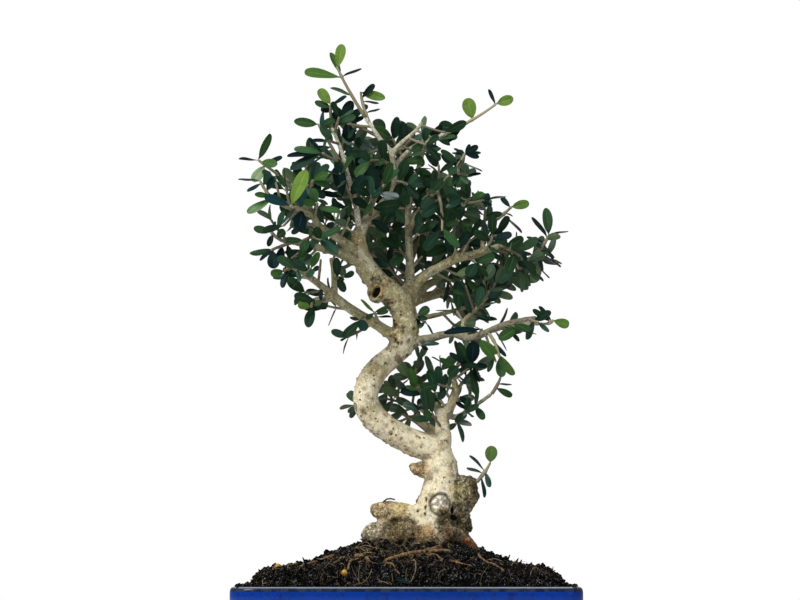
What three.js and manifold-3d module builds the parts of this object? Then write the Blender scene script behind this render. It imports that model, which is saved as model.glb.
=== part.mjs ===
// Olive bonsai: one grown tree with its leafy sprays, standing in soil in a glazed pot.
// Millimetres, +Z up, front towards -Y. The origin is the middle of the pot's footprint,
// on the surface that the pot stands on.
import * as THREE from 'three';
import { mergeVertices } from 'three/addons/utils/BufferGeometryUtils.js';
import Module from 'manifold-3d';

const wasm = await Module();
wasm.setup();

// ---------------------------------------------------------------- driving dimensions

const GAP = 0.3; // clearance between two pieces that touch in the real thing

const POT = {
  width: 210, // over the rim, along X
  depth: 160, // over the rim, along Y
  height: 65.3,
  corner: 15, // the rim's corner radius, seen from above
  cornerFall: 0.6, // how much of the way in from the rim a corner's radius loses
  leastCorner: 4,
  wall: 6,
  taper: 10, // how far the body's foot stands in from its shoulder
  overhang: 4, // how far the lip stands out of the body
  lipHeight: 12,
  // how the lip is rounded: its chamfers in from the side and down from the rim
  lipEdge: { inset: 0.8, inner: 2.4, flat: 2.8, side: 3, under: 0.6, below: 2.5 },
  floor: 6,
  floorEdge: 4, // the fillet between the wall and the floor inside
  foot: { height: 7, length: 30, breadth: 15, inset: 2 },
  footEdge: 2, // the chamfer round the body's foot
  drain: { radius: 9, offset: 45, sides: 12 },
};

const SCREEN = { size: 30, thickness: 0.9, holes: 3, hole: 5, pitch: 8 };

const SOIL = {
  edge: 8.7, // the bed's height over the rim, a little way in from the wall
  crown: 5.5, // how much it rises from there to the middle
  mound: 14, // the heap round the trunk, on top of that
  moundX: 54,
  moundY: 46,
  middle: 2, // where the heap's middle lies along X
  shoulder: 9, // how far in from the wall the bed reaches its height
  sunk: 1.5, // how far under the rim it meets the wall
  round: 2.2, // how full the edge of the bed is
  fall: 0.6, // how much of the rise is lost towards the front and the back
};

const BEADS = [[-36.7, -66.6, 2], [-78.2, -36, 2.4]]; // slow-release fertiliser: x, y and radius

// Every limb is a run of hand-set stations [x, y, z, radius], from its root to its tip.
const LIMBS = {
  trunk: [[20, 0, 79, 18.8], [19.5, 0, 90, 17], [19, 0, 104.5, 15.1], [21, 0, 118, 13.4],
    [22.8, 1, 131.5, 10.9], [21.3, 1.5, 143.5, 9.5], [15, 1.5, 150.5, 9.2], [4.5, 0, 154.5, 8.3],
    [-9.5, -2.5, 161.5, 8], [-21, -5, 171, 8.3], [-25.5, -6.5, 181, 7.9],
    [-23.5, -6, 191.5, 7.7], [-17.5, -3.5, 201, 7.6], [-9, 0, 209, 7.2], [-3, 2.5, 216.5, 8],
    [-0.5, 3.5, 226, 8.7], [-0.5, 3.5, 234, 8.1], [-3, 2.5, 242.5, 8.4], [-10, 0, 249, 8.4],
    [-18.5, -3.5, 257, 7.3], [-25, -6, 265, 6.5], [-28.5, -7.5, 274, 5.3],
    [-30, -8.5, 281.5, 4.8], [-30, -9, 288.5, 4.7]],
  left_mid: [[-27.5, -6.5, 267.5, 3.8], [-38.5, -12.5, 272, 3.2], [-47.5, -16, 275, 2.8],
    [-58, -20, 276.5, 2.4], [-68.5, -23.5, 278.5, 2], [-78, -27, 279.5, 1.5]],
  left_upper: [[-28.5, -7.5, 274.5, 3.8], [-39, -15, 280, 3], [-47, -22.5, 284.5, 2.6],
    [-54.5, -30, 288, 2.5], [-58.5, -35.5, 295, 2.1]],
  left_upper_out: [[-58, -34.5, 294, 1.9], [-65.5, -39.5, 295.5, 1.6], [-72, -43.5, 297, 1.4],
    [-80, -48.5, 299.5, 1]],
  left_upper_rise: [[-58, -34.5, 294, 1.7], [-61.5, -33.5, 301.5, 1.4],
    [-66.5, -33.5, 308.5, 1.3], [-73, -35.5, 315, 1]],
  left_low: [[-4.5, 2.5, 222, 5.1], [-11, 0, 224.5, 3.7], [-18.5, -4, 229, 3.4],
    [-27, -8.5, 233.5, 3.2], [-36.5, -12.5, 239, 3], [-45.5, -17, 245, 3.3]],
  left_low_rise: [[-45.5, -17, 244.5, 2.5], [-45, -18.5, 252.5, 2.2], [-45.5, -19.5, 262, 2],
    [-47, -20, 269.5, 1.6]],
  left_low_out: [[-44.5, -17, 244.5, 2.8], [-54, -22, 252, 2.3], [-62, -27, 257.5, 2.1],
    [-70.5, -32, 262, 1.7]],
  left_low_drop: [[-44.5, -17, 244.5, 2.5], [-51.5, -17.5, 243.5, 2], [-57.5, -18.5, 243.5, 1.5]],
  pale_shoot: [[-30, -9, 286, 2.5], [-30.5, -12, 295, 2], [-32.5, -14.5, 307.5, 1.8],
    [-36, -17, 320, 1.6], [-40.5, -20, 336.5, 1.4], [-47, -23.5, 353, 1.1]],
  leader_right: [[-30.5, -8.5, 284.5, 4.5], [-27.5, -7.5, 292, 3.8], [-23.5, -6.5, 298, 3.1],
    [-18.5, -6, 303, 2.5], [-14, -6, 309, 1.9]],
  crown_post: [[-15.5, -5, 307, 2.2], [-9.5, -6.5, 313, 2], [-7.5, -7.5, 320.5, 2],
    [-8, -9, 331, 2], [-9, -10, 340, 2.3]],
  top_shoot: [[-8.5, -10, 338.5, 1.9], [-15.5, -12.5, 346, 1.6], [-21, -15, 353.5, 1.4],
    [-26, -17, 360.5, 1.3]],
  crown_fork: [[-9, -10, 338, 1.9], [-4, -11, 344, 1.6], [6, -12.5, 352.5, 1.3],
    [10.5, -13.5, 358, 1.3]],
  upper_right: [[-25.5, -5, 295, 2.9], [-22.5, 1.5, 306.5, 2.4], [-18, 5, 317.5, 2.2],
    [-10.5, 6.5, 328.5, 2.1], [-2, 4, 338.5, 1.9], [6, 0, 345, 1.9], [14, -2.5, 347, 1.7],
    [26.5, -4, 353, 1.5]],
  right_leader: [[-1, 5, 243.5, 5.8], [0.5, 6.5, 250, 4.6], [2, 6.5, 256, 3.9], [2.5, 6, 264, 3.1],
    [2.5, 5, 275, 2.7], [1.5, 2.5, 295, 2.4], [2, 4, 307.5, 2.1], [4.5, 7.5, 321, 1.9],
    [12, 13.5, 345.5, 1.2]],
  right_upper: [[1.5, 6.5, 250, 5.1], [7, 5, 256.5, 3.6], [14, 1.5, 262.5, 3.2],
    [21.5, -3.5, 266, 3], [32.5, -8.5, 271, 3.1], [40.5, -12, 272, 2.7],
    [49.5, -15, 274.5, 2.4], [59, -18.5, 277.5, 1.8]],
  right_upper_stub: [[49, -15, 274.5, 1.8], [48.5, -15, 280, 1.6], [49, -15, 285, 1.6]],
  right_upper_twig: [[32.5, -8.5, 272, 1.7], [31, -8.5, 280, 1.3], [30.5, -10, 288.5, 1.2],
    [33.5, -15, 297.5, 1], [38, -20, 304.5, 0.9]],
  right_mid: [[2.5, 8.5, 247.5, 5.1], [10.5, 15, 254.5, 2.8], [17.5, 20, 259.5, 2.5],
    [27.5, 23.5, 262, 2.3], [48.5, 27, 266, 1.8], [63, 27.5, 268.5, 1.5], [76, 27, 272.5, 1.2]],
  right_back: [[1.5, 10, 244.5, 5.1], [8, 15, 247.5, 3.4], [17.5, 23.5, 251.5, 3.1],
    [33, 32, 256.5, 2.8], [49, 38.5, 260, 2.2], [63.5, 43.5, 263.5, 1.7]],
  right_thin: [[1.5, 5, 231.5, 3.8], [9, 10, 234.5, 1.8], [24.5, 15, 238.5, 1.5],
    [34.5, 17, 241.5, 1.4], [44.5, 17, 244, 1.2]],
  right_low: [[0, 4, 216, 5.1], [7.5, 1.5, 219, 3.2], [15.5, -2.5, 220.5, 2.7],
    [24.5, -6.5, 222.5, 2.5], [31, -9, 222.5, 2.4], [38.5, -12, 219.5, 2.5],
    [46.5, -14.5, 221, 2.3], [54.5, -17.5, 224.5, 2.1], [62.5, -21, 227.5, 1.9],
    [71.5, -23.5, 229.5, 1.6], [81.5, -26, 231, 1.3]],
  right_low_tip: [[69, -22.5, 229, 1.4], [76, -24.5, 227, 1.2], [88.5, -27, 227, 1]],
  right_low_rise: [[38, -12, 220, 1.9], [36.5, -9, 229.5, 1.7], [41, -6.5, 235, 1.6],
    [47.5, -4, 242, 1.5], [53.5, -2.5, 249.5, 1.2]],
  low_side: [[19.5, 1.5, 147, 7.6], [23.5, 2.5, 155.5, 5.5], [23, 4, 164, 4.7], [23, 5, 172, 4.5]],
  low_side_right: [[23, 5, 169.5, 3.8], [27.5, 4, 176, 3.2], [31, 3.5, 183.5, 2.8],
    [31.5, 2.5, 189, 2.4], [30.5, 1.5, 194.5, 1.9]],
  low_side_left: [[23, 5, 170.5, 3.4], [19, 8.5, 178, 2.7], [15.5, 11, 182.5, 2.3],
    [9.5, 14.5, 190, 1.5], [2.5, 18.5, 196.5, 1.2]],
  low_side_out: [[26.5, 3.5, 172.5, 2.5], [31, 0, 170.5, 1.9], [37, -3.5, 173, 1.6],
    [47, -7.5, 179.5, 1.4], [54, -11, 184.5, 1.3]],
  low_back: [[21, 7.5, 161, 2.5], [13.5, 14.5, 167, 1.7], [5, 19.5, 176.5, 1.4],
    [-4, 23.5, 184, 1.2], [-11, 27, 188.5, 1]],
  low_back_two: [[19, 6.5, 156.5, 2.5], [13.5, 12.5, 162.5, 1.5], [4.5, 20, 170, 1.3],
    [-5, 26, 175.5, 1.2], [-18, 30, 178.5, 1], [-28.5, 33.5, 181.5, 0.8]],
  back_rise: [[-6.5, 8.5, 252, 4.5], [-9, 17, 263, 3], [-13, 23.5, 277, 2.6],
    [-17.5, 30, 290, 2.2], [-22.5, 37, 306, 1.8], [-25, 42, 323, 1.5], [-28, 47, 339, 1.1]],
  back_left: [[-8.5, 8.5, 251.5, 3.9], [-14, 20, 266, 2.3], [-21.5, 28.5, 277.5, 2],
    [-31.5, 37, 290, 1.7], [-42.5, 43.5, 301.5, 1.5], [-54.5, 50.5, 311, 1.1]],
  back_right: [[2, 6.5, 271, 2.6], [9, 20, 286.5, 2], [19, 32, 301, 1.7], [29.5, 42, 315, 1.5],
    [40.5, 50.5, 327, 1.1]],
  back_top: [[-16, 27, 288.5, 2], [-9, 33.5, 306, 1.7], [-4, 37, 323.5, 1.5], [-1, 38.5, 340.5, 1.2]],
  front_right: [[1.5, 1.5, 289.5, 2.3], [7.5, -8.5, 299.5, 1.8], [16, -17, 309, 1.5],
    [25, -25, 318.5, 1.3], [32.5, -32, 326, 1]],
  far_right: [[47, 25, 265, 1.8], [59, 18.5, 268.5, 1.6], [71, 10, 271, 1.4], [81.5, 3.5, 273.5, 1.2]],
  out_right: [[29.5, -6.5, 270, 2.2], [41, 0, 282, 1.7], [50.5, 5, 291.5, 1.5], [59, 8.5, 299, 1.2]],
  sprout_base: [[35, -3.5, 124, 3.1], [40, -4, 126.5, 2], [44.5, -4, 129.5, 1.3]],
  root_stub: [[14, -1, 105, 8], [-3, -3.5, 109.5, 7.2], [-13, -4.5, 111, 7], [-20.5, -5, 111.5, 5]],
  pruned_stub: [[23, 0, 137, 6.5], [9.5, -5, 137.2, 5.4], [4, -5.5, 138.3, 3.6]],
  root_left: [[4, -5, 97, 8], [-14, -12, 88, 5], [-32, -21, 72, 3.2], [-46, -27, 58, 2]],
  root_front: [[14, -8, 93, 8], [4, -21, 85, 4.2], [-8, -30, 78, 3], [-20, -37, 66, 2]],
  root_right: [[30, -3, 96, 8], [42.5, -8, 86, 4.2], [62, -17, 68, 2.6]],
  root_back: [[16, 9, 92, 9], [4, 30, 76, 4.6], [-14, 44, 54, 2.4]],
  root_back_right: [[28, 9, 92, 9], [44, 26, 74, 4.2], [58, 38, 56, 2.4]],
  root_deep: [[20, 0, 82, 16], [15, 2, 44, 5]],
};

// Knobs of the bark: centre [x, y, z], then the half sizes along X, Y and Z.
const KNOBS = {
  left_shoulder: [-18.5, -4.5, 95.5, 9.5, 8.5, 9],
  left_foot: [-3, -3.5, 95, 12.5, 11.5, 10.5],
  right_burl: [38, -1, 122.5, 8.3, 8, 12],
  right_burl_low: [35.3, 0, 104, 6.2, 7.5, 9],
  front_lump: [27.5, -13.5, 97, 6, 5.5, 5.5],
  leader_knot: [-18.5, -5, 250, 6.5, 5.5, 7.5],
  back_burl: [16, 12.5, 115.5, 9.5, 8.5, 10],
  back_foot: [28, 13.5, 96.5, 11.5, 9, 9],
};

// Every spray grows out of a limb at a fraction of its run and ends at a hand-set tip.
// Name, limb, fraction, tip [x, y, z], leaf pairs, side twigs, leaf length, leaf age and which of
// its possible growths it takes. One without pairs has its leaves from SET_LEAVES.
const SPRAYS = [
  ['apex', 'top_shoot', 1, [-44, -23, 392], 0, 0, 16.5, 'young', 0],
  ['pale_tip', 'pale_shoot', 1, [-47.5, -30, 366], 0, 0, 12.5, 'mature', 89],
  ['pale_left', 'pale_shoot', 0.62, [-55.5, -29, 353.5], 0, 0, 12.5, 'mature', 53],
  ['top_inner', 'top_shoot', 0.45, [-42, -4, 362], 0, 0, 11.5, 'mature', 77],
  ['top_right', 'top_shoot', 0.82, [-29, -10, 378.5], 0, 0, 13, 'young', 0],
  ['long_right', 'upper_right', 1, [58.5, -9, 371.5], 0, 0, 13, 'young', 315],
  ['upper_right', 'upper_right', 0.8, [11.5, -12, 345.5], 2, 0, 11.5, 'mature', 262],
  ['crown_back', 'back_top', 1, [-14, 36, 363], 3, 1, 13.5, 'mature', 96],
  ['crown_back_left', 'back_rise', 1, [-36, 47, 363], 3, 0, 13.5, 'mature', 35],
  ['rise_tip', 'left_upper_rise', 1, [-92, -44, 327.5], 0, 0, 16, 'young', 261],
  ['out_tip', 'left_upper_out', 1, [-90, -54, 312.5], 0, 0, 16, 'young', 365],
  ['big_front', 'left_upper', 1, [-71.5, -50, 297.5], 0, 0, 21, 'young', 335],
  ['left_dark', 'pale_shoot', 0.3, [-41.5, -33.5, 321], 3, 0, 14, 'mature', 249],
  ['left_high', 'left_upper_rise', 0.6, [-59.5, -21, 334.5], 3, 0, 14, 'mature', 240],
  ['left_mid_tip', 'left_mid', 1, [-84.5, -30, 284.5], 0, 0, 14, 'mature', 211],
  ['left_mid_drop', 'left_mid', 0.85, [-84, -36, 272], 0, 0, 12.5, 'mature', 341],
  ['low_out_tip', 'left_low_out', 1, [-75.5, -38, 258.5], 0, 0, 12.5, 'mature', 381],
  ['low_drop', 'left_low_drop', 1, [-59.5, -21, 238], 0, 0, 15, 'mature', 156],
  ['low_rise', 'left_low_rise', 0.45, [-39, -30.5, 255.5], 2, 0, 11.5, 'mature', 276],
  ['upper_under', 'left_upper', 0.55, [-64, -46, 276.5], 3, 1, 13.5, 'mature', 25],
  ['leader_front', 'leader_right', 0.5, [-22, -35.5, 306.5], 3, 1, 15, 'mature', 319],
  ['back_left_tip', 'back_left', 1, [-73, 55.5, 327.5], 3, 1, 15, 'mature', 146],
  ['back_left_mid', 'back_left', 0.6, [-48.5, 53.5, 308.5], 3, 0, 14.5, 'mature', 163],
  ['back_rise_mid', 'back_rise', 0.7, [-43, 47, 333], 3, 0, 14.5, 'mature', 182],
  ['post_left', 'crown_post', 0.75, [-23, -24, 331], 3, 0, 12.5, 'mature', 349],
  ['post_right', 'crown_post', 0.5, [1, -19.5, 316.5], 3, 0, 14, 'mature', 162],
  ['leader_tip', 'right_leader', 1, [10, 15.5, 358], 3, 1, 13, 'mature', 255],
  ['leader_side', 'right_leader', 0.65, [21.5, -11, 308.5], 3, 0, 14, 'mature', 385],
  ['front_right_tip', 'front_right', 1, [32, -40, 324.5], 3, 1, 10, 'mature', 18],
  ['front_right_mid', 'front_right', 0.6, [22.5, -31.5, 285], 3, 0, 14, 'mature', 171],
  ['back_right_tip', 'back_right', 1, [36.5, 57, 340], 3, 1, 12, 'mature', 267],
  ['back_right_mid', 'back_right', 0.6, [40.5, 44, 310], 3, 0, 14.5, 'mature', 325],
  ['out_right_tip', 'out_right', 1, [68, 5, 306.5], 0, 0, 13, 'young', 98],
  ['out_right_mid', 'out_right', 0.6, [50, -12, 303], 3, 0, 11.5, 'mature', 97],
  ['twig_up', 'right_upper_twig', 1, [40, -28, 306.5], 3, 1, 12.5, 'mature', 192],
  ['stub_side', 'right_upper', 0.85, [54, -31, 282.5], 3, 0, 14, 'mature', 165],
  ['upper_tip', 'right_upper', 1, [71.5, -29.5, 269], 3, 1, 14, 'mature', 171],
  ['far_tip', 'far_right', 1, [91.5, -3, 287], 0, 0, 14, 'young', 223],
  ['mid_tip', 'right_mid', 1, [92.5, 29.5, 277.5], 3, 1, 14.5, 'mature', 78],
  ['back_tip', 'right_back', 1, [74, 51.5, 266.5], 3, 1, 14.5, 'mature', 297],
  ['thin_tip', 'right_thin', 1, [54, 8.5, 250.5], 2, 1, 15.5, 'mature', 209],
  ['rise_right', 'right_low_rise', 1, [57, -3.5, 256], 2, 0, 14, 'mature', 357],
  ['low_right_tip', 'right_low_tip', 1, [91, -33, 228.5], 0, 0, 12.5, 'young', 199],
  ['low_hang', 'right_low', 0.66, [58, -26, 206], 0, 0, 15, 'young', 200],
  ['low_top', 'right_low', 0.5, [32.5, -2.5, 238], 2, 0, 16.5, 'mature', 221],
  ['side_tip', 'low_side_right', 1, [33.5, -1, 206.5], 3, 1, 14, 'mature', 50],
  ['side_left', 'low_side_left', 1, [3, 28, 199], 3, 0, 14, 'mature', 389],
  ['side_out', 'low_side_out', 1, [59.5, -12, 195], 0, 0, 9, 'mature', 371],
  ['side_drop', 'low_side_out', 0.25, [33, 11, 167], 2, 0, 12.5, 'mature', 47],
  ['back_low', 'low_back', 1, [-12.5, 31, 189.5], 2, 0, 13, 'mature', 98],
  ['back_low_two', 'low_back_two', 1, [-34, 37, 181], 2, 0, 11.5, 'mature', 43],
  ['side_right', 'low_side_right', 0.6, [42, 6, 200.5], 3, 1, 14, 'mature', 93],
  ['sprout', 'sprout_base', 1, [53, -5, 141.5], 0, 0, 12.5, 'young', 376],
];

// Leaves of some sprays that are set by hand: place on the stem, tip, roll in degrees and width.
const SET_LEAVES = {
  apex: [[0.96, [-40.7, -24.8, 406.3], 40, 6.7], [0.81, [-47.9, -19.2, 402.5], 60, 6.2],
    [0.76, [-64.1, -26, 389.1], 0, 8.6], [0.77, [-28.6, -21, 392.3], -10, 5.1],
    [0.39, [-47.6, -22.9, 379.4], 20, 5.3]],
  pale_tip: [[0.99, [-54.9, -31.9, 375.4], -20, 6.6], [0.81, [-57.5, -28.9, 368.3], 0, 5.7],
    [0.92, [-37.9, -30.5, 371.8], -5, 4.2], [0.61, [-53.9, -24.7, 365.4], -25, 5.1],
    [0.26, [-42.3, -28.3, 361.4], 60, 5.6]],
  pale_left: [[0.99, [-70.5, -31.9, 354.8], -45, 6], [0.93, [-45.3, -32.3, 356], 55, 5],
    [0.77, [-54.1, -20.6, 363.7], -35, 6.4], [0.62, [-61.3, -25, 344.7], 10, 4.5],
    [0.52, [-61.9, -25.9, 338.1], -5, 5.4]],
  top_inner: [[0.97, [-34.6, -8.3, 373.1], 70, 7.1], [0.85, [-28.8, -10.7, 366.6], 65, 5.1],
    [0.69, [-26.9, -10.4, 362.1], 90, 3.5], [0.79, [-35.7, -14.3, 345.6], -65, 9],
    [0.89, [-48, -10.2, 362.2], 65, 5.1]],
  top_right: [[0.99, [-13.4, -14.1, 373.7], 40, 6.1], [0.77, [-20.4, -13.6, 383], 40, 4.4],
    [0.67, [-17.3, -11.3, 371.1], -45, 3.9], [0.58, [-24.9, -14.9, 366.3], 10, 3.8],
    [0.29, [-16.6, -13.5, 367.3], -5, 3.6]],
  long_right: [[0.44, [39.2, -8.5, 375], -60, 9], [0.97, [68.5, -13.9, 373.7], 75, 6.7],
    [0.95, [53.4, -7.8, 381.1], -10, 4.1], [0.15, [20.7, 1.1, 358.7], -75, 8.4],
    [0.27, [24.6, 1.4, 348.3], 45, 6.2]],
  rise_tip: [[0.98, [-104.1, -43.9, 329], 35, 4.5], [0.99, [-84, -45.9, 343.5], 90, 6.5],
    [0.89, [-80, -48.2, 324.1], 25, 5.6], [0.73, [-94.9, -46, 313.8], -30, 7.5],
    [0.76, [-77.4, -40.2, 330.7], 10, 4.5]],
  out_tip: [[0.99, [-103.5, -54, 314.2], 25, 4.9], [0.88, [-97.8, -55.6, 305.7], -10, 3.7],
    [0.74, [-84.4, -56, 318.1], 20, 4.9], [0.52, [-80.8, -54, 315.4], 35, 4.9],
    [0.2, [-97.9, -53, 293.1], -10, 6.5], [0.32, [-92.6, -55.8, 303.8], -55, 3.7]],
  big_front: [[0.98, [-61.6, -55.8, 318.8], 30, 8.7], [0.47, [-64.5, -45.1, 309.5], 30, 6.8],
    [0.41, [-66, -49.2, 283.1], -55, 9.3], [0.96, [-86.6, -54.5, 302.8], 0, 6.2],
    [0.69, [-77.8, -49.2, 286.9], 25, 5.2]],
  left_mid_tip: [[0.99, [-95, -33, 286.4], -45, 4.9], [0.85, [-82.1, -29.7, 291.4], 0, 2.9],
    [0.76, [-86.2, -31.4, 275.3], -40, 3.8], [0.44, [-75.6, -32.5, 284.6], 35, 5.6]],
  left_mid_drop: [[0.92, [-81.9, -39.2, 260.3], -30, 7.8], [0.84, [-97.1, -35.4, 269], -75, 5.4],
    [0.65, [-92.3, -29.3, 267.4], 20, 5], [0.41, [-79.2, -32.6, 264.4], -40, 5.6],
    [0.22, [-70.6, -30.2, 265.4], -30, 5]],
  low_out_tip: [[0.99, [-83.6, -41, 256.3], -50, 5.3], [0.54, [-76.8, -40.5, 248.2], -5, 5],
    [0.45, [-70.2, -38, 266.7], -5, 2.7]],
  low_drop: [[0.96, [-67.7, -22.9, 239.9], 0, 5.6], [0.99, [-60, -38, 224.3], -10, 8.2],
    [0.46, [-66, -20.7, 243.9], -20, 2.8], [0.32, [-50.3, -35.4, 236.4], -55, 6.8]],
  out_right_tip: [[0.97, [79.2, 2.1, 308.5], 90, 6.1], [0.93, [61.3, 4.3, 312.8], -80, 3.5],
    [0.37, [75.3, 3.4, 290.4], 20, 6.3], [0.48, [69.2, 9.1, 301.2], 10, 2.1]],
  far_tip: [[0.99, [103.9, -3, 289.7], -15, 4.6], [0.99, [89.3, -9, 303.3], -55, 7.4],
    [0.86, [81.5, -1.4, 299.4], -20, 6.1], [0.19, [99.7, -1.1, 267.7], 15, 6.5],
    [0.79, [98, -9.1, 285.8], 0, 6.4], [0.64, [77.4, -3.3, 286.1], -10, 4.5],
    [0.48, [83.4, -3.3, 280.3], -5, 3.8], [0.59, [94.3, -6, 268.9], 10, 5.3],
    [0.34, [95.5, 0.7, 273.1], 30, 4.5], [0.14, [88.9, 5.3, 264.7], 30, 4.4]],
  low_right_tip: [[0.96, [100.8, -35.8, 225.1], 35, 6.1], [0.45, [79, -30.8, 235.7], 0, 5],
    [0.65, [82.8, -30, 237.7], 0, 4.5]],
  low_hang: [[0.9, [46.8, -29.2, 214], -10, 6.9], [0.99, [59.3, -31.9, 193.8], 30, 6.5],
    [0.87, [66.7, -22.9, 194.6], 60, 5.9], [0.36, [61.7, -23.2, 206.5], 90, 4.6],
    [0.63, [50.5, -24.8, 212.6], -5, 3.1]],
  side_out: [[0.34, [66.5, -13.6, 182.8], 60, 4.4], [0.55, [66.7, -10.9, 190.6], -15, 3.3]],
  sprout: [[0.98, [54, -8, 151.8], -60, 7.9], [0.53, [40.2, -6.5, 146.2], 5, 5.1],
    [0.41, [38.3, -7.4, 138.7], 10, 4.2], [0.52, [52.6, -8.5, 126.1], 75, 4],
    [0.26, [50.1, -7.3, 119.9], -5, 4.9]],
};

const STEM = {
  footRadius: 1.2,
  tipRadius: 0.7,
  rise: 0.14, // how far its middle keeps the limb's heading, as a part of its reach
  sag: 0.05,
  sides: 3,
  steps: 2,
  pieces: 4, // straight pieces that it is tested in
  // a side twig: its radius, its reach as a part of the stem's, and the limits of that reach
  side: { radius: 0.9, reach: 0.62, shortest: 7, longest: 15 },
  // where side twigs leave, how far they lean and how their reach varies: [least, spread]
  sideDraws: { at: [0.42, 0.16], lean: [0.85, 0.25], reach: [0.8, 0.4] },
};

const LEAF = {
  // [fraction of the length, half width, thickness], tip first; the root lies in the stem
  rows: [[1, 0, 0], [0.72, 0.97, 0.9], [0.25, 0.8, 1.3], [0, 0, 0]],
  arch: 0.06, // how far the tip bends down, as a part of the length
  middleArch: 0.3, // how much of that bend the blade's middle has
  middle: 0.54, // where the blade's middle lies, as a part of the length
  halfLength: 0.48, // how far the blade reaches from there
  margin: 1.25, // clear space to another blade
  fromStem: 0.7,
  fromLimb: 0.8,
  clearOfBare: 0.2, // from a limb whose front stays bare, as a part of the length
  along: 0.45, // how much a blade's face leans along its stem
  lean: 1, // how far a leaf leans from its stem, and the same for the pair at the tip
  tipLean: 0.65,
  tries: 4, // how often a leaf looks for room
  draws: { length: [0.88, 0.4], width: [0.37, 0.1], spread: [0.4, 0.6], lean: 0.3, roll: 1.1 },
  shrink: 0.08, // how much smaller each new try is
  firstPair: 0.36, // where a spray's stem has its first pair
  lastPair: 0.95, // where the pair at a stem's tip stands
  sideTwig: { pairs: 2, first: 0.5 },
};

// Where the light comes from: out of the canopy's middle, more to the front and back, and above.
const LIGHT = { across: 0.5, through: 1.6, forward: 14, above: 0.4 };

const CANOPY = { halfWidth: 105, halfDepth: 79 }; // no leaf reaches past the pot's rim

// ---------------------------------------------------------------- materials

const FINISH = {
  bark: { color: 0xb7a689, roughness: 0.85, metalness: 0 },
  mature: { color: 0x27443a, roughness: 0.4, metalness: 0 },
  young: { color: 0x6a9a34, roughness: 0.4, metalness: 0 },
  soil: { color: 0x33261c, roughness: 1, metalness: 0 },
  glaze: { color: 0x123a96, roughness: 0.12, metalness: 0 },
  screen: { color: 0x20242a, roughness: 0.6, metalness: 0 },
  bead: { color: 0xb08a4a, roughness: 0.6, metalness: 0 },
};

// ---------------------------------------------------------------- solids

// The solid of a closed geometry, turned right side out.
function solidOf(geometry) {
  const bare = geometry.clone();
  bare.deleteAttribute('normal');
  bare.deleteAttribute('uv');
  const merged = mergeVertices(bare, 1e-4);
  const vertProperties = Float32Array.from(merged.attributes.position.array);
  const triVerts = Uint32Array.from(merged.index.array);
  const solid = new wasm.Manifold(new wasm.Mesh({ numProp: 3, vertProperties, triVerts }));
  if (solid.volume() > 0) return solid;
  for (let i = 0; i < triVerts.length; i += 3) {
    [triVerts[i], triVerts[i + 1]] = [triVerts[i + 1], triVerts[i]];
  }
  return new wasm.Manifold(new wasm.Mesh({ numProp: 3, vertProperties, triVerts }));
}

function join(solids) {
  return wasm.Manifold.union(solids);
}

// The largest body of a solid, without the scraps that a cut leaves.
function mainBody(solid) {
  return solid.decompose().reduce((a, b) => (a.volume() > b.volume() ? a : b));
}

function meshOf(name, solid, finish) {
  const { vertProperties, triVerts } = solid.getMesh();
  const geometry = new THREE.BufferGeometry();
  geometry.setAttribute('position', new THREE.BufferAttribute(vertProperties, 3));
  geometry.setIndex(new THREE.BufferAttribute(triVerts, 1));
  geometry.computeVertexNormals();
  const material = new THREE.MeshStandardMaterial({ ...FINISH[finish], flatShading: true });
  const mesh = new THREE.Mesh(geometry, material);
  mesh.name = name;
  return mesh;
}

// A box of the given size whose middle stands at a point.
function block(size, middle) {
  return solidOf(new THREE.BoxGeometry(...size).translate(...middle));
}

// ---------------------------------------------------------------- rounded rectangles

// A rounded rectangle round the origin, anticlockwise: each corner is an arc, and `along`
// gives how many points lie on each side between two corners, [top and bottom, left and right].
function roundedRectangle(halfX, halfY, radius, arcSteps, along) {
  const points = [];
  for (let corner = 0; corner < 4; corner++) {
    const signX = corner === 0 || corner === 3 ? 1 : -1;
    const signY = corner < 2 ? 1 : -1;
    for (let k = 0; k <= arcSteps; k++) {
      const angle = (corner + k / arcSteps) * Math.PI / 2;
      points.push(new THREE.Vector2(
        signX * (halfX - radius) + radius * Math.cos(angle),
        signY * (halfY - radius) + radius * Math.sin(angle),
      ));
    }
    const level = corner % 2 === 0;
    const from = points[points.length - 1];
    const to = new THREE.Vector2(
      level ? -(from.x) : from.x,
      level ? from.y : -(from.y),
    );
    const count = along[level ? 0 : 1];
    for (let k = 1; k <= count; k++) points.push(from.clone().lerp(to, k / (count + 1)));
  }
  return points;
}

// A closed turned body whose rings are rounded rectangles: each ring is an outline and a
// height, or null at a point on the axis. heightAt, where a ring gives it, sets each height.
function turned(rings, count) {
  const profile = rings.map(({ z }, j) => new THREE.Vector2(rings.length - j, z ?? 0));
  const body = new THREE.LatheGeometry(profile, count);
  const position = body.attributes.position;
  for (let i = 0; i < position.count; i++) {
    const ring = rings[i % rings.length];
    const k = Math.floor(i / rings.length) % count;
    const { x, y } = ring.outline ? ring.outline[k] : { x: 0, y: 0 };
    position.setXYZ(i, x, y, ring.heightAt ? ring.heightAt(x, y) : ring.z);
  }
  return body;
}

// ---------------------------------------------------------------- pot, screens, soil

const rimZ = POT.height;
const potFloorZ = POT.foot.height + POT.floor;
const shoulderZ = rimZ - POT.lipHeight;
const filletZ = potFloorZ + POT.floorEdge;
const innerDrop = 2; // how far under the rim the lip's inner side turns into the wall

// The outline of the pot at a distance in from the rim's outermost edge.
function potOutline(inset, arcSteps, along) {
  const radius = Math.max(POT.corner - POT.cornerFall * inset, POT.leastCorner);
  return roundedRectangle(POT.width / 2 - inset, POT.depth / 2 - inset, radius, arcSteps, along);
}

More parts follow.
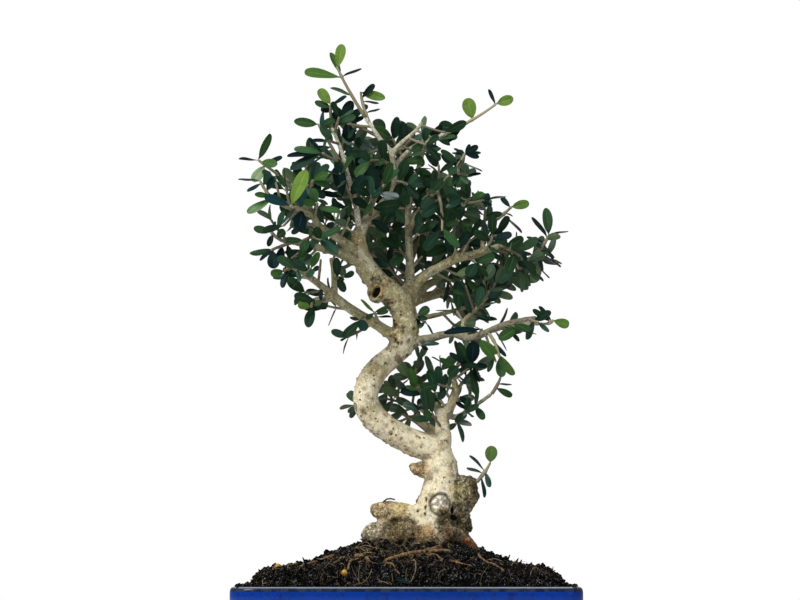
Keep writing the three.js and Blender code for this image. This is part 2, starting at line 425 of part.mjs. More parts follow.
// How far in from the rim's edge the pot's outer wall stands at a height under the lip.
function wallInset(z) {
  const rise = (shoulderZ - z) / (shoulderZ - POT.foot.height);
  return POT.overhang + POT.taper * rise;
}

function pot() {
  const arcSteps = 3;
  const inner = POT.overhang + POT.wall;
  const lip = POT.lipEdge;
  const footZ = POT.foot.height;
  const sections = [
    [wallInset(footZ) + POT.footEdge, footZ],
    [wallInset(footZ + POT.footEdge), footZ + POT.footEdge],
    [POT.overhang, shoulderZ],
    [lip.under, shoulderZ + lip.inset],
    [0, shoulderZ + lip.below],
    [0, rimZ - lip.side],
    [lip.inset, rimZ - lip.inset],
    [lip.flat, rimZ],
    [inner - lip.inner, rimZ],
    [inner, rimZ - innerDrop],
    [wallInset(filletZ) + POT.wall, filletZ],
    [wallInset(potFloorZ) + POT.wall + POT.floorEdge, potFloorZ],
  ];
  const rings = [
    { z: footZ },
    ...sections.map(([inset, z]) => ({ outline: potOutline(inset, arcSteps, [0, 0]), z })),
    { z: potFloorZ },
  ];
  let body = solidOf(turned(rings, 4 * (arcSteps + 1)));
  const { height, length, breadth, inset } = POT.foot;
  const footX = POT.width / 2 - wallInset(height) - inset - length / 2;
  const footY = POT.depth / 2 - wallInset(height) - inset - breadth / 2;
  for (const x of [-footX, footX]) {
    for (const y of [-footY, footY]) {
      body = body.add(block([length, breadth, height + 1], [x, y, (height + 1) / 2]));
    }
  }
  for (const x of [-POT.drain.offset, POT.drain.offset]) {
    const { radius, sides } = POT.drain;
    const hole = new THREE.CylinderGeometry(radius, radius, 4 * POT.floor, sides);
    body = body.subtract(solidOf(hole.rotateX(Math.PI / 2).translate(x, 0, potFloorZ)));
  }
  return body;
}

// A square of netting that keeps the soil in over a drain hole.
function drainScreen(x) {
  const middleZ = potFloorZ + GAP + SCREEN.thickness / 2;
  const middle = (SCREEN.holes - 1) / 2;
  const holes = [];
  for (let i = 0; i < SCREEN.holes; i++) {
    for (let j = 0; j < SCREEN.holes; j++) {
      const place = [x + (i - middle) * SCREEN.pitch, (j - middle) * SCREEN.pitch, middleZ];
      holes.push(block([SCREEN.hole, SCREEN.hole, 2 * SCREEN.thickness], place));
    }
  }
  return block([SCREEN.size, SCREEN.size, SCREEN.thickness], [x, 0, middleZ]).subtract(join(holes));
}

// The soil's height at a place: a bed that domes gently, heaped round the trunk.
function soilHeight(x, y) {
  const wallX = POT.width / 2 - POT.overhang - POT.wall - Math.abs(x);
  const wallY = POT.depth / 2 - POT.overhang - POT.wall - Math.abs(y);
  const fromWall = Math.max(0, Math.min(wallX, wallY, SOIL.shoulder)) / SOIL.shoulder;
  const offX = x - SOIL.middle;
  const dome = 1 - (offX / (POT.width / 2)) ** 2 - SOIL.fall * (y / (POT.depth / 2)) ** 2;
  const heap = Math.exp(-((offX / SOIL.moundX) ** 4) - (y / SOIL.moundY) ** 2);
  const bed = SOIL.edge + SOIL.crown * dome + SOIL.mound * heap + SOIL.sunk;
  return rimZ - SOIL.sunk + bed * (1 - (1 - fromWall) ** SOIL.round);
}

function soil(trees, beads) {
  const arcSteps = 2;
  const along = [5, 3];
  const insets = [0, 6, 16, 34];
  const rimInset = POT.overhang + POT.wall + GAP;
  const lowZ = potFloorZ + GAP;
  const ring = (inset, z) => ({ outline: potOutline(inset, arcSteps, along), z });
  const rings = [
    { z: lowZ },
    ring(wallInset(lowZ) + POT.wall + POT.floorEdge + GAP, lowZ),
    ring(wallInset(lowZ + POT.floorEdge) + POT.wall + GAP, lowZ + POT.floorEdge),
    ring(rimInset, rimZ - innerDrop),
    ...insets.map((inset) => ({
      outline: potOutline(rimInset + inset, arcSteps, along),
      heightAt: soilHeight,
    })),
    { heightAt: soilHeight },
  ];
  const count = 4 * (arcSteps + 1) + 2 * along[0] + 2 * along[1];
  let body = solidOf(turned(rings, count)).subtract(trees);
  const pocket = SCREEN.size + 4 * GAP;
  for (const x of [-POT.drain.offset, POT.drain.offset]) {
    const depth = SCREEN.thickness + 4 * GAP;
    body = body.subtract(block([pocket, pocket, depth], [x, 0, potFloorZ + depth / 2]));
  }
  for (const [x, y, radius] of beads) body = body.subtract(bead(x, y, radius + GAP, radius));
  return mainBody(body);
}

// A bead of fertiliser, sunk to a third of its height in the soil.
function bead(x, y, radius, sunkBy) {
  const ball = new THREE.IcosahedronGeometry(radius, 0);
  return solidOf(ball.translate(x, y, soilHeight(x, y) + sunkBy / 3));
}

// ---------------------------------------------------------------- wood

function curveOf(stations) {
  const points = stations.map(([x, y, z]) => new THREE.Vector3(x, y, z));
  return new THREE.CatmullRomCurve3(points, false, 'catmullrom', 0.5);
}

function radiusOf(stations, t) {
  const place = t * (stations.length - 1);
  const k = Math.min(Math.floor(place), stations.length - 2);
  return THREE.MathUtils.lerp(stations[k][3], stations[k + 1][3], place - k);
}

// A closed round bar bent along a curve, and `longer` at both ends. radiusAt gives its radius
// from the root to the tip.
function bentBar(curve, radiusAt, sides, steps, longer = 0) {
  const bar = new THREE.CylinderGeometry(1, 1, 1, sides, steps);
  const across = new THREE.Vector3(0, 1, 0.01);
  const frames = [];
  for (let k = 0; k <= steps; k++) {
    const t = k / steps;
    const tangent = curve.getTangent(t);
    across.addScaledVector(tangent, -across.dot(tangent)).normalize();
    const over = new THREE.Vector3().crossVectors(across, tangent);
    const point = curve.getPoint(t);
    if (k === 0) point.addScaledVector(tangent, -longer);
    if (k === steps) point.addScaledVector(tangent, longer);
    frames.push({ point, across: across.clone(), over, radius: radiusAt(t) });
  }
  const position = bar.attributes.position;
  for (let i = 0; i < position.count; i++) {
    const frame = frames[Math.round((position.getY(i) + 0.5) * steps)];
    const place = frame.point.clone()
      .addScaledVector(frame.across, position.getX(i) * frame.radius)
      .addScaledVector(frame.over, position.getZ(i) * frame.radius);
    position.setXYZ(i, place.x, place.y, place.z);
  }
  return solidOf(bar);
}

function sidesOf(radius) {
  if (radius > 10) return 9;
  if (radius > 4.6) return 6;
  return radius > 3 ? 5 : 4;
}

// The whole tree as one solid, thickened everywhere by `extra`.
function wood(extra) {
  const parts = [];
  for (const stations of Object.values(LIMBS)) {
    const radiusAt = (t) => radiusOf(stations, t) + extra;
    const sides = sidesOf(stations[0][3]);
    parts.push(bentBar(curveOf(stations), radiusAt, sides, stations.length - 1, extra));
  }
  for (const [x, y, z, halfX, halfY, halfZ] of Object.values(KNOBS)) {
    const knob = new THREE.IcosahedronGeometry(1, 0);
    knob.scale(halfX + extra, halfY + extra, halfZ + extra).translate(x, y, z);
    parts.push(solidOf(knob));
  }
  return join(parts);
}

// ---------------------------------------------------------------- growing the sprays

const UP = new THREE.Vector3(0, 0, 1);
const LIMB_STEPS = 2; // straight pieces a limb's stretch is tested in
const SEED_STEP = { spray: 7919, growth: 104729 };

const LIMB_PIECES = Object.values(LIMBS).flatMap(limbPieces);
const BARE_FRONT = ['trunk', 'left_low', 'right_low'].flatMap((name) => limbPieces(LIMBS[name]));

// Repeatable draws between 0 and 1.
function drawsFrom(seed) {
  let state = seed;
  return () => {
    state = (state * 16807) % 2147483647;
    return state / 2147483647;
  };
}

// A draw from the least upwards, over a spread.
function within([least, spread], draw) {
  return least + spread * draw();
}

// The straight pieces of a bar, for testing what crosses it.
function piecesOf(curve, radiusAt, steps) {
  const pieces = [];
  for (let k = 0; k < steps; k++) {
    const radius = Math.max(radiusAt(k / steps), radiusAt((k + 1) / steps));
    pieces.push({ from: curve.getPoint(k / steps), to: curve.getPoint((k + 1) / steps), radius });
  }
  return pieces;
}

function limbPieces(stations) {
  const steps = LIMB_STEPS * (stations.length - 1);
  return piecesOf(curveOf(stations), (t) => radiusOf(stations, t), steps);
}

// A stem from a root to a tip, thinning to its tip.
function stemOf(root, heading, tip, footRadius) {
  const reach = root.distanceTo(tip);
  const bend = root.clone().lerp(tip, 0.5)
    .addScaledVector(heading, STEM.rise * reach).addScaledVector(UP, -STEM.sag * reach);
  const curve = new THREE.QuadraticBezierCurve3(root, bend, tip);
  const radiusAt = (t) => THREE.MathUtils.lerp(footRadius, STEM.tipRadius, t);
  return { curve, radiusAt, reach, pieces: piecesOf(curve, radiusAt, STEM.pieces) };
}

// Two directions square to a stem's own.
function crossAxes(tangent) {
  const first = new THREE.Vector3().crossVectors(tangent, UP);
  if (first.length() < 0.2) first.crossVectors(tangent, new THREE.Vector3(1, 0, 0));
  first.normalize();
  return [first, new THREE.Vector3().crossVectors(first, tangent)];
}

// The direction that leaves a stem at `lean` from its tangent, at `turn` round it.
function leaving(tangent, lean, turn) {
  const [first, second] = crossAxes(tangent);
  const sideways = first.multiplyScalar(Math.cos(turn)).addScaledVector(second, Math.sin(turn));
  return sideways.multiplyScalar(Math.sin(lean)).addScaledVector(tangent, Math.cos(lean));
}

function growStems([, limb, fraction, tip, , sideTwigs], draw) {
  const limbCurve = curveOf(LIMBS[limb]);
  const root = limbCurve.getPoint(fraction);
  const heading = limbCurve.getTangent(fraction);
  const main = stemOf(root, heading, new THREE.Vector3(...tip), STEM.footRadius);
  const stems = [main];
  const { side, sideDraws } = STEM;
  for (let k = 0; k < sideTwigs; k++) {
    const at = within(sideDraws.at, draw);
    const tangent = main.curve.getTangent(at);
    const lean = within(sideDraws.lean, draw);
    const way = leaving(tangent, lean, draw() * 2 * Math.PI);
    const from = main.curve.getPoint(at);
    const reach = Math.max(side.shortest, side.reach * main.reach * within(sideDraws.reach, draw));
    const to = from.clone().addScaledVector(way, Math.min(reach, side.longest));
    stems.push(stemOf(from, way, to, side.radius));
  }
  return stems;
}

// The way a leaf turns its upper face for light: out of the canopy, and a little up.
function lightAt({ x, y }) {
  const out = new THREE.Vector3(LIGHT.across * x, LIGHT.through * y - LIGHT.forward, 0).normalize();
  return out.addScaledVector(UP, LIGHT.above);
}

// A leaf at a stem's station: where it starts, its way, its upper face's normal and its size.
function leafAt(stem, t, { way, roll, length, width }) {
  const base = stem.curve.getPoint(t);
  const face = lightAt(base).addScaledVector(stem.curve.getTangent(t), LEAF.along);
  face.addScaledVector(way, -face.dot(way)).normalize().applyAxisAngle(way, roll);
  const side = new THREE.Vector3().crossVectors(face, way);
  const middle = base.clone().addScaledVector(way, LEAF.middle * length)
    .addScaledVector(face, -LEAF.middleArch * LEAF.arch * length);
  const leaf = { stem, base, way, face, side, middle, length, width, rim: [] };
  for (let k = 0; k < 8; k++) {
    leaf.rim.push(middle.clone()
      .addScaledVector(way, LEAF.halfLength * length * Math.cos(k * Math.PI / 4))
      .addScaledVector(side, 0.5 * width * Math.sin(k * Math.PI / 4)));
  }
  return leaf;
}

// True where the piece from-to comes within `margin` of a leaf's blade.
function nearBlade(leaf, from, to, margin) {
  const a = from.clone().sub(leaf.middle);
  const b = to.clone().sub(leaf.middle);
  const heightA = a.dot(leaf.face);
  const heightB = b.dot(leaf.face);
  if (Math.min(heightA, heightB) > margin || Math.max(heightA, heightB) < -margin) return false;
  const slope = heightB - heightA;
  let start = 0;
  let end = 1;
  if (Math.abs(slope) > 1e-6) {
    const enter = (-margin - heightA) / slope;
    const leave = (margin - heightA) / slope;
    start = Math.max(0, Math.min(enter, leave));
    end = Math.min(1, Math.max(enter, leave));
  }
  const longHalf = LEAF.halfLength * leaf.length + margin;
  const wideHalf = 0.5 * leaf.width + margin;
  for (const t of [start, (start + end) / 2, end]) {
    const point = a.clone().lerp(b, t);
    if (Math.hypot(point.dot(leaf.way) / longHalf, point.dot(leaf.side) / wideHalf) < 1) return true;
  }
  return false;
}

function bladesMeet(one, other) {
  const reach = (one.length + other.length) / 2 + LEAF.margin;
  if (one.middle.distanceTo(other.middle) > reach) return false;
  for (const [leaf, blade] of [[one, other], [other, one]]) {
    if (nearBlade(blade, leaf.rim[0], leaf.rim[4], LEAF.margin)) return true;
    for (let k = 0; k < 8; k++) {
      if (nearBlade(blade, leaf.rim[k], leaf.rim[(k + 1) % 8], LEAF.margin)) return true;
    }
  }
  return false;
}

// True where a leaf hides the trunk's bare front.
function hidesTrunk(leaf) {
  return BARE_FRONT.some(({ from, to, radius }) => {
    const middle = from.clone().lerp(to, 0.5);
    if (leaf.middle.y > middle.y) return false;
    return [leaf.middle, leaf.rim[0]].some((point) => {
      const off = Math.hypot(point.x - middle.x, point.z - middle.z);
      return off < radius + LEAF.clearOfBare * leaf.length;
    });
  });
}

function hasRoom(leaf, leaves, stems) {
  const { halfWidth, halfDepth } = CANOPY;
  const inside = leaf.rim.every(({ x, y }) => Math.abs(x) < halfWidth && Math.abs(y) < halfDepth);
  if (!inside || hidesTrunk(leaf)) return false;
  const meets = (margin) => ({ from, to, radius }) => nearBlade(leaf, from, to, radius + margin);
  const others = stems.filter((stem) => stem !== leaf.stem);
  if (others.some((stem) => stem.pieces.some(meets(LEAF.fromStem)))) return false;
  if (LIMB_PIECES.some(meets(LEAF.fromLimb))) return false;
  return !leaves.some((other) => bladesMeet(leaf, other));
}

// Opposite pairs, each turned a quarter from the last, up to the pair at the stem's tip.
function growLeaves({ stem, pairs, first, leafLength, firstTurn }, draw, leaves, stems) {
  const grown = [];
  const { draws } = LEAF;
  for (let pair = 0; pair < pairs; pair++) {
    const t = THREE.MathUtils.lerp(first, LEAF.lastPair, pair / (pairs - 1));
    const meanLean = pair === pairs - 1 ? LEAF.tipLean : LEAF.lean;
    const station = [];
    for (const half of [0, 1]) {
      const length = leafLength * within(draws.length, draw);
      const width = length * within(draws.width, draw);
      for (let attempt = 0; attempt < LEAF.tries; attempt++) {
        const spread = draws.spread[0] + draws.spread[1] * attempt;
        const shorter = 1 - LEAF.shrink * attempt;
        const lean = meanLean + draws.lean * (draw() - 0.5);
        const turn = firstTurn + (pair / 2 + half) * Math.PI + (draw() - 0.5) * spread;
        const leaf = leafAt(stem, t, {
          way: leaving(stem.curve.getTangent(t), lean, turn),
          roll: (draw() - 0.5) * draws.roll,
          length: length * shorter,
          width: width * shorter,
        });
        if (hasRoom(leaf, [...leaves, ...grown], stems)) {
          station.push(leaf);
          break;
        }
      }
    }
    grown.push(...station);
  }
  return grown;
}

// A stem's leaves that are set by hand.
function setLeaves(stem, places) {
  return places.map(([t, tip, roll, width]) => {
    const way = new THREE.Vector3(...tip).sub(stem.curve.getPoint(t));
    const length = way.length();
    return leafAt(stem, t, {
      way: way.normalize(), roll: THREE.MathUtils.degToRad(roll), length, width,
    });
  });
}

// Every spray's stems and leaves. All stems and the leaves set by hand stand first, so that the
// others keep clear of them.
function growSprays() {
  const draws = SPRAYS.map(([, , , , , , , , growth], index) => (
    drawsFrom(SEED_STEP.spray * (index + 1) + SEED_STEP.growth * growth)
  ));
  const plants = SPRAYS.map((spray, index) => ({ stems: growStems(spray, draws[index]), leaves: [] }));
  const stems = plants.flatMap((plant) => plant.stems);
  SPRAYS.forEach(([name], index) => {
    plants[index].leaves.push(...setLeaves(plants[index].stems[0], SET_LEAVES[name] ?? []));
  });
  const leaves = plants.flatMap((plant) => plant.leaves);
  SPRAYS.forEach(([, , , , pairs, , leafLength], index) => {
    if (!pairs) return;
    const draw = draws[index];
    plants[index].stems.forEach((stem, k) => {
      const firstTurn = draw() * Math.PI;
      const plan = k === 0 ? { pairs, first: LEAF.firstPair } : LEAF.sideTwig;
      const grown = growLeaves({ stem, leafLength, firstTurn, ...plan }, draw, leaves, stems);
      plants[index].leaves.push(...grown);
      leaves.push(...grown);
    });
  });
  return plants;
}

// A blade with a flat upper face and a keel below, its root sunk in its stem.
function leafSolid(leaf) {
  const blade = new THREE.SphereGeometry(1, 3, LEAF.rows.length - 1);
  const position = blade.attributes.position;
  for (let i = 0; i < position.count; i++) {
    const row = Math.floor(i / 4); // three corners and a repeat of the first
    const [along, halfWidth, thickness] = LEAF.rows[row];
    const corner = (i % 4) * 2 * Math.PI / 3;
    const over = Math.sin(corner) * halfWidth * leaf.width / Math.sqrt(3);
    const under = Math.cos(corner) * thickness * 2 / 3;
    const place = leaf.base.clone()
      .addScaledVector(leaf.way, along * leaf.length)
      .addScaledVector(leaf.side, -over)
      .addScaledVector(leaf.face, -under - LEAF.arch * leaf.length * along ** 2);
    position.setXYZ(i, place.x, place.y, place.z);
  }
  return solidOf(blade);
}

function spraySolid({ stems, leaves }, tree) {
  const bars = stems.map(({ curve, radiusAt }) => bentBar(curve, radiusAt, STEM.sides, STEM.steps));
  return mainBody(join([...bars, ...leaves.map(leafSolid)]).subtract(tree));
}

// ---------------------------------------------------------------- the bonsai

const bonsai = new THREE.Group();
bonsai.name = 'olive_bonsai';
const tree = wood(0);
const treeSpace = wood(GAP);

bonsai.add(meshOf('pot', pot(), 'glaze'));
bonsai.add(meshOf('drain_screen_left', drainScreen(-POT.drain.offset), 'screen'));
bonsai.add(meshOf('drain_screen_right', drainScreen(POT.drain.offset), 'screen'));
bonsai.add(meshOf('soil', soil(treeSpace, BEADS), 'soil'));
bonsai.add(meshOf('tree', tree, 'bark'));
BEADS.forEach(([x, y, radius], index) => {
  bonsai.add(meshOf(`fertiliser_bead_${index + 1}`, bead(x, y, radius, radius), 'bead'));
});
growSprays().forEach((plant, index) => {
  const [name, , , , , , , age] = SPRAYS[index];
  bonsai.add(meshOf(`spray_${name}`, spraySolid(plant, treeSpace), age));
});

export default bonsai;
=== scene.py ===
"""Olive bonsai: its bark, leaves, soil and glazed pot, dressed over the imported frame.

Blender works in metres. Shapes here are worked out in millimetres and scaled when a mesh is made.
"""

import functools
import math
from types import SimpleNamespace

import bmesh
import bpy
import numpy as np
from bpy.props import FloatProperty, FloatVectorProperty, IntProperty, PointerProperty
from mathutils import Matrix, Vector, noise


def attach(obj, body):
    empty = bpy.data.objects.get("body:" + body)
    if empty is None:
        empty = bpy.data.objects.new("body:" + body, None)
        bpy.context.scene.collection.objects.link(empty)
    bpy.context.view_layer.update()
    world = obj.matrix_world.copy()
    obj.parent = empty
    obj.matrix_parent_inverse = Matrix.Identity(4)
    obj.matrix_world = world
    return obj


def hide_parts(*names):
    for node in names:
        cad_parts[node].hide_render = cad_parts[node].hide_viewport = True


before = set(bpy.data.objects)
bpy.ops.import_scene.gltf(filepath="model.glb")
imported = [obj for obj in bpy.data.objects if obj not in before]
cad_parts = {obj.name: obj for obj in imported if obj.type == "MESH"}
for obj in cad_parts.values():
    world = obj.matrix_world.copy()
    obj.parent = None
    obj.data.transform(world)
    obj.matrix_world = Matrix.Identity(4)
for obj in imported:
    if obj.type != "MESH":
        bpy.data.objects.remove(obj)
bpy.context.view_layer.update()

bl_info = {
    "name": "Olive bonsai",
    "version": (1, 0, 0),
    "blender": (4, 5, 0),
    "location": "3D View > Sidebar > Bonsai",
    "description": "Bark, leaves, soil and pot of an olive bonsai",
    "category": "Object",
}

MM = 0.001

# ---------------------------------------------------------------- the part's own dimensions

# The rim's height, and the pot's sizes.
RIM = 65.3
POT = {
    "width": 210.0, "depth": 160.0, "corner": 15.0, "wall": 6.0, "taper": 10.0, "overhang": 4.0,
    "lip": 12.0, "floor": 6.0, "foot": 7.0, "foot_length": 30.0, "foot_breadth": 15.0,
    "foot_inset": 2.0, "drain": 9.0, "drain_offset": 45.0,
}
# The bed's profile: how high it stands at its edge, its crown and its mound, where its middle lies,
# and how it rounds down to the wall over its shoulder.
SOIL = {
    "edge": 8.7, "crown": 5.5, "mound": 14.0, "mound_x": 54.0, "mound_y": 46.0, "middle": 2.0,
    "shoulder": 9.0, "sunk": 1.5, "round": 2.2, "fall": 0.6,
}
# Granules of fertiliser: x, y and radius.
GRANULES = [(-36.7, -66.6, 2.0), (-78.2, -36.0, 2.4)]
# Radii of a green stem, and how long a side twig is against its main stem.
STEM = {"foot": 1.2, "tip": 0.7, "side": 0.9, "side_reach": 0.62}
LEAF_ARCH = 0.06
LEAF_MARGIN = 1.25
MOST_LEAVES = 4000
# How far leaves, and the tips of extra twigs, may reach from the pot's middle.
CANOPY_HALF = (105.0, 79.0)
TWIG_HALF = (95, 68)
# How a leaf turns to the light: the weights of its place and the front, and the pull upwards.
LIGHT = {"x": 0.5, "y": 1.6, "front": 14, "up": 0.4}

# Seeds of all that is drawn at random, and how many leaves each spray and twig keeps seeds for.
SPRAY_SEED, GROWTH_SEED = 7919, 104729
SKIN_SEED, CRUMB_SEED, FIBRE_SEED = 11, 23, 41
INNER_SEED, FRONT_SEED, FALLEN_SEED = 100000, 200000, 300000
SPRAY_LEAVES, TWIG_LEAVES = 1000, 100

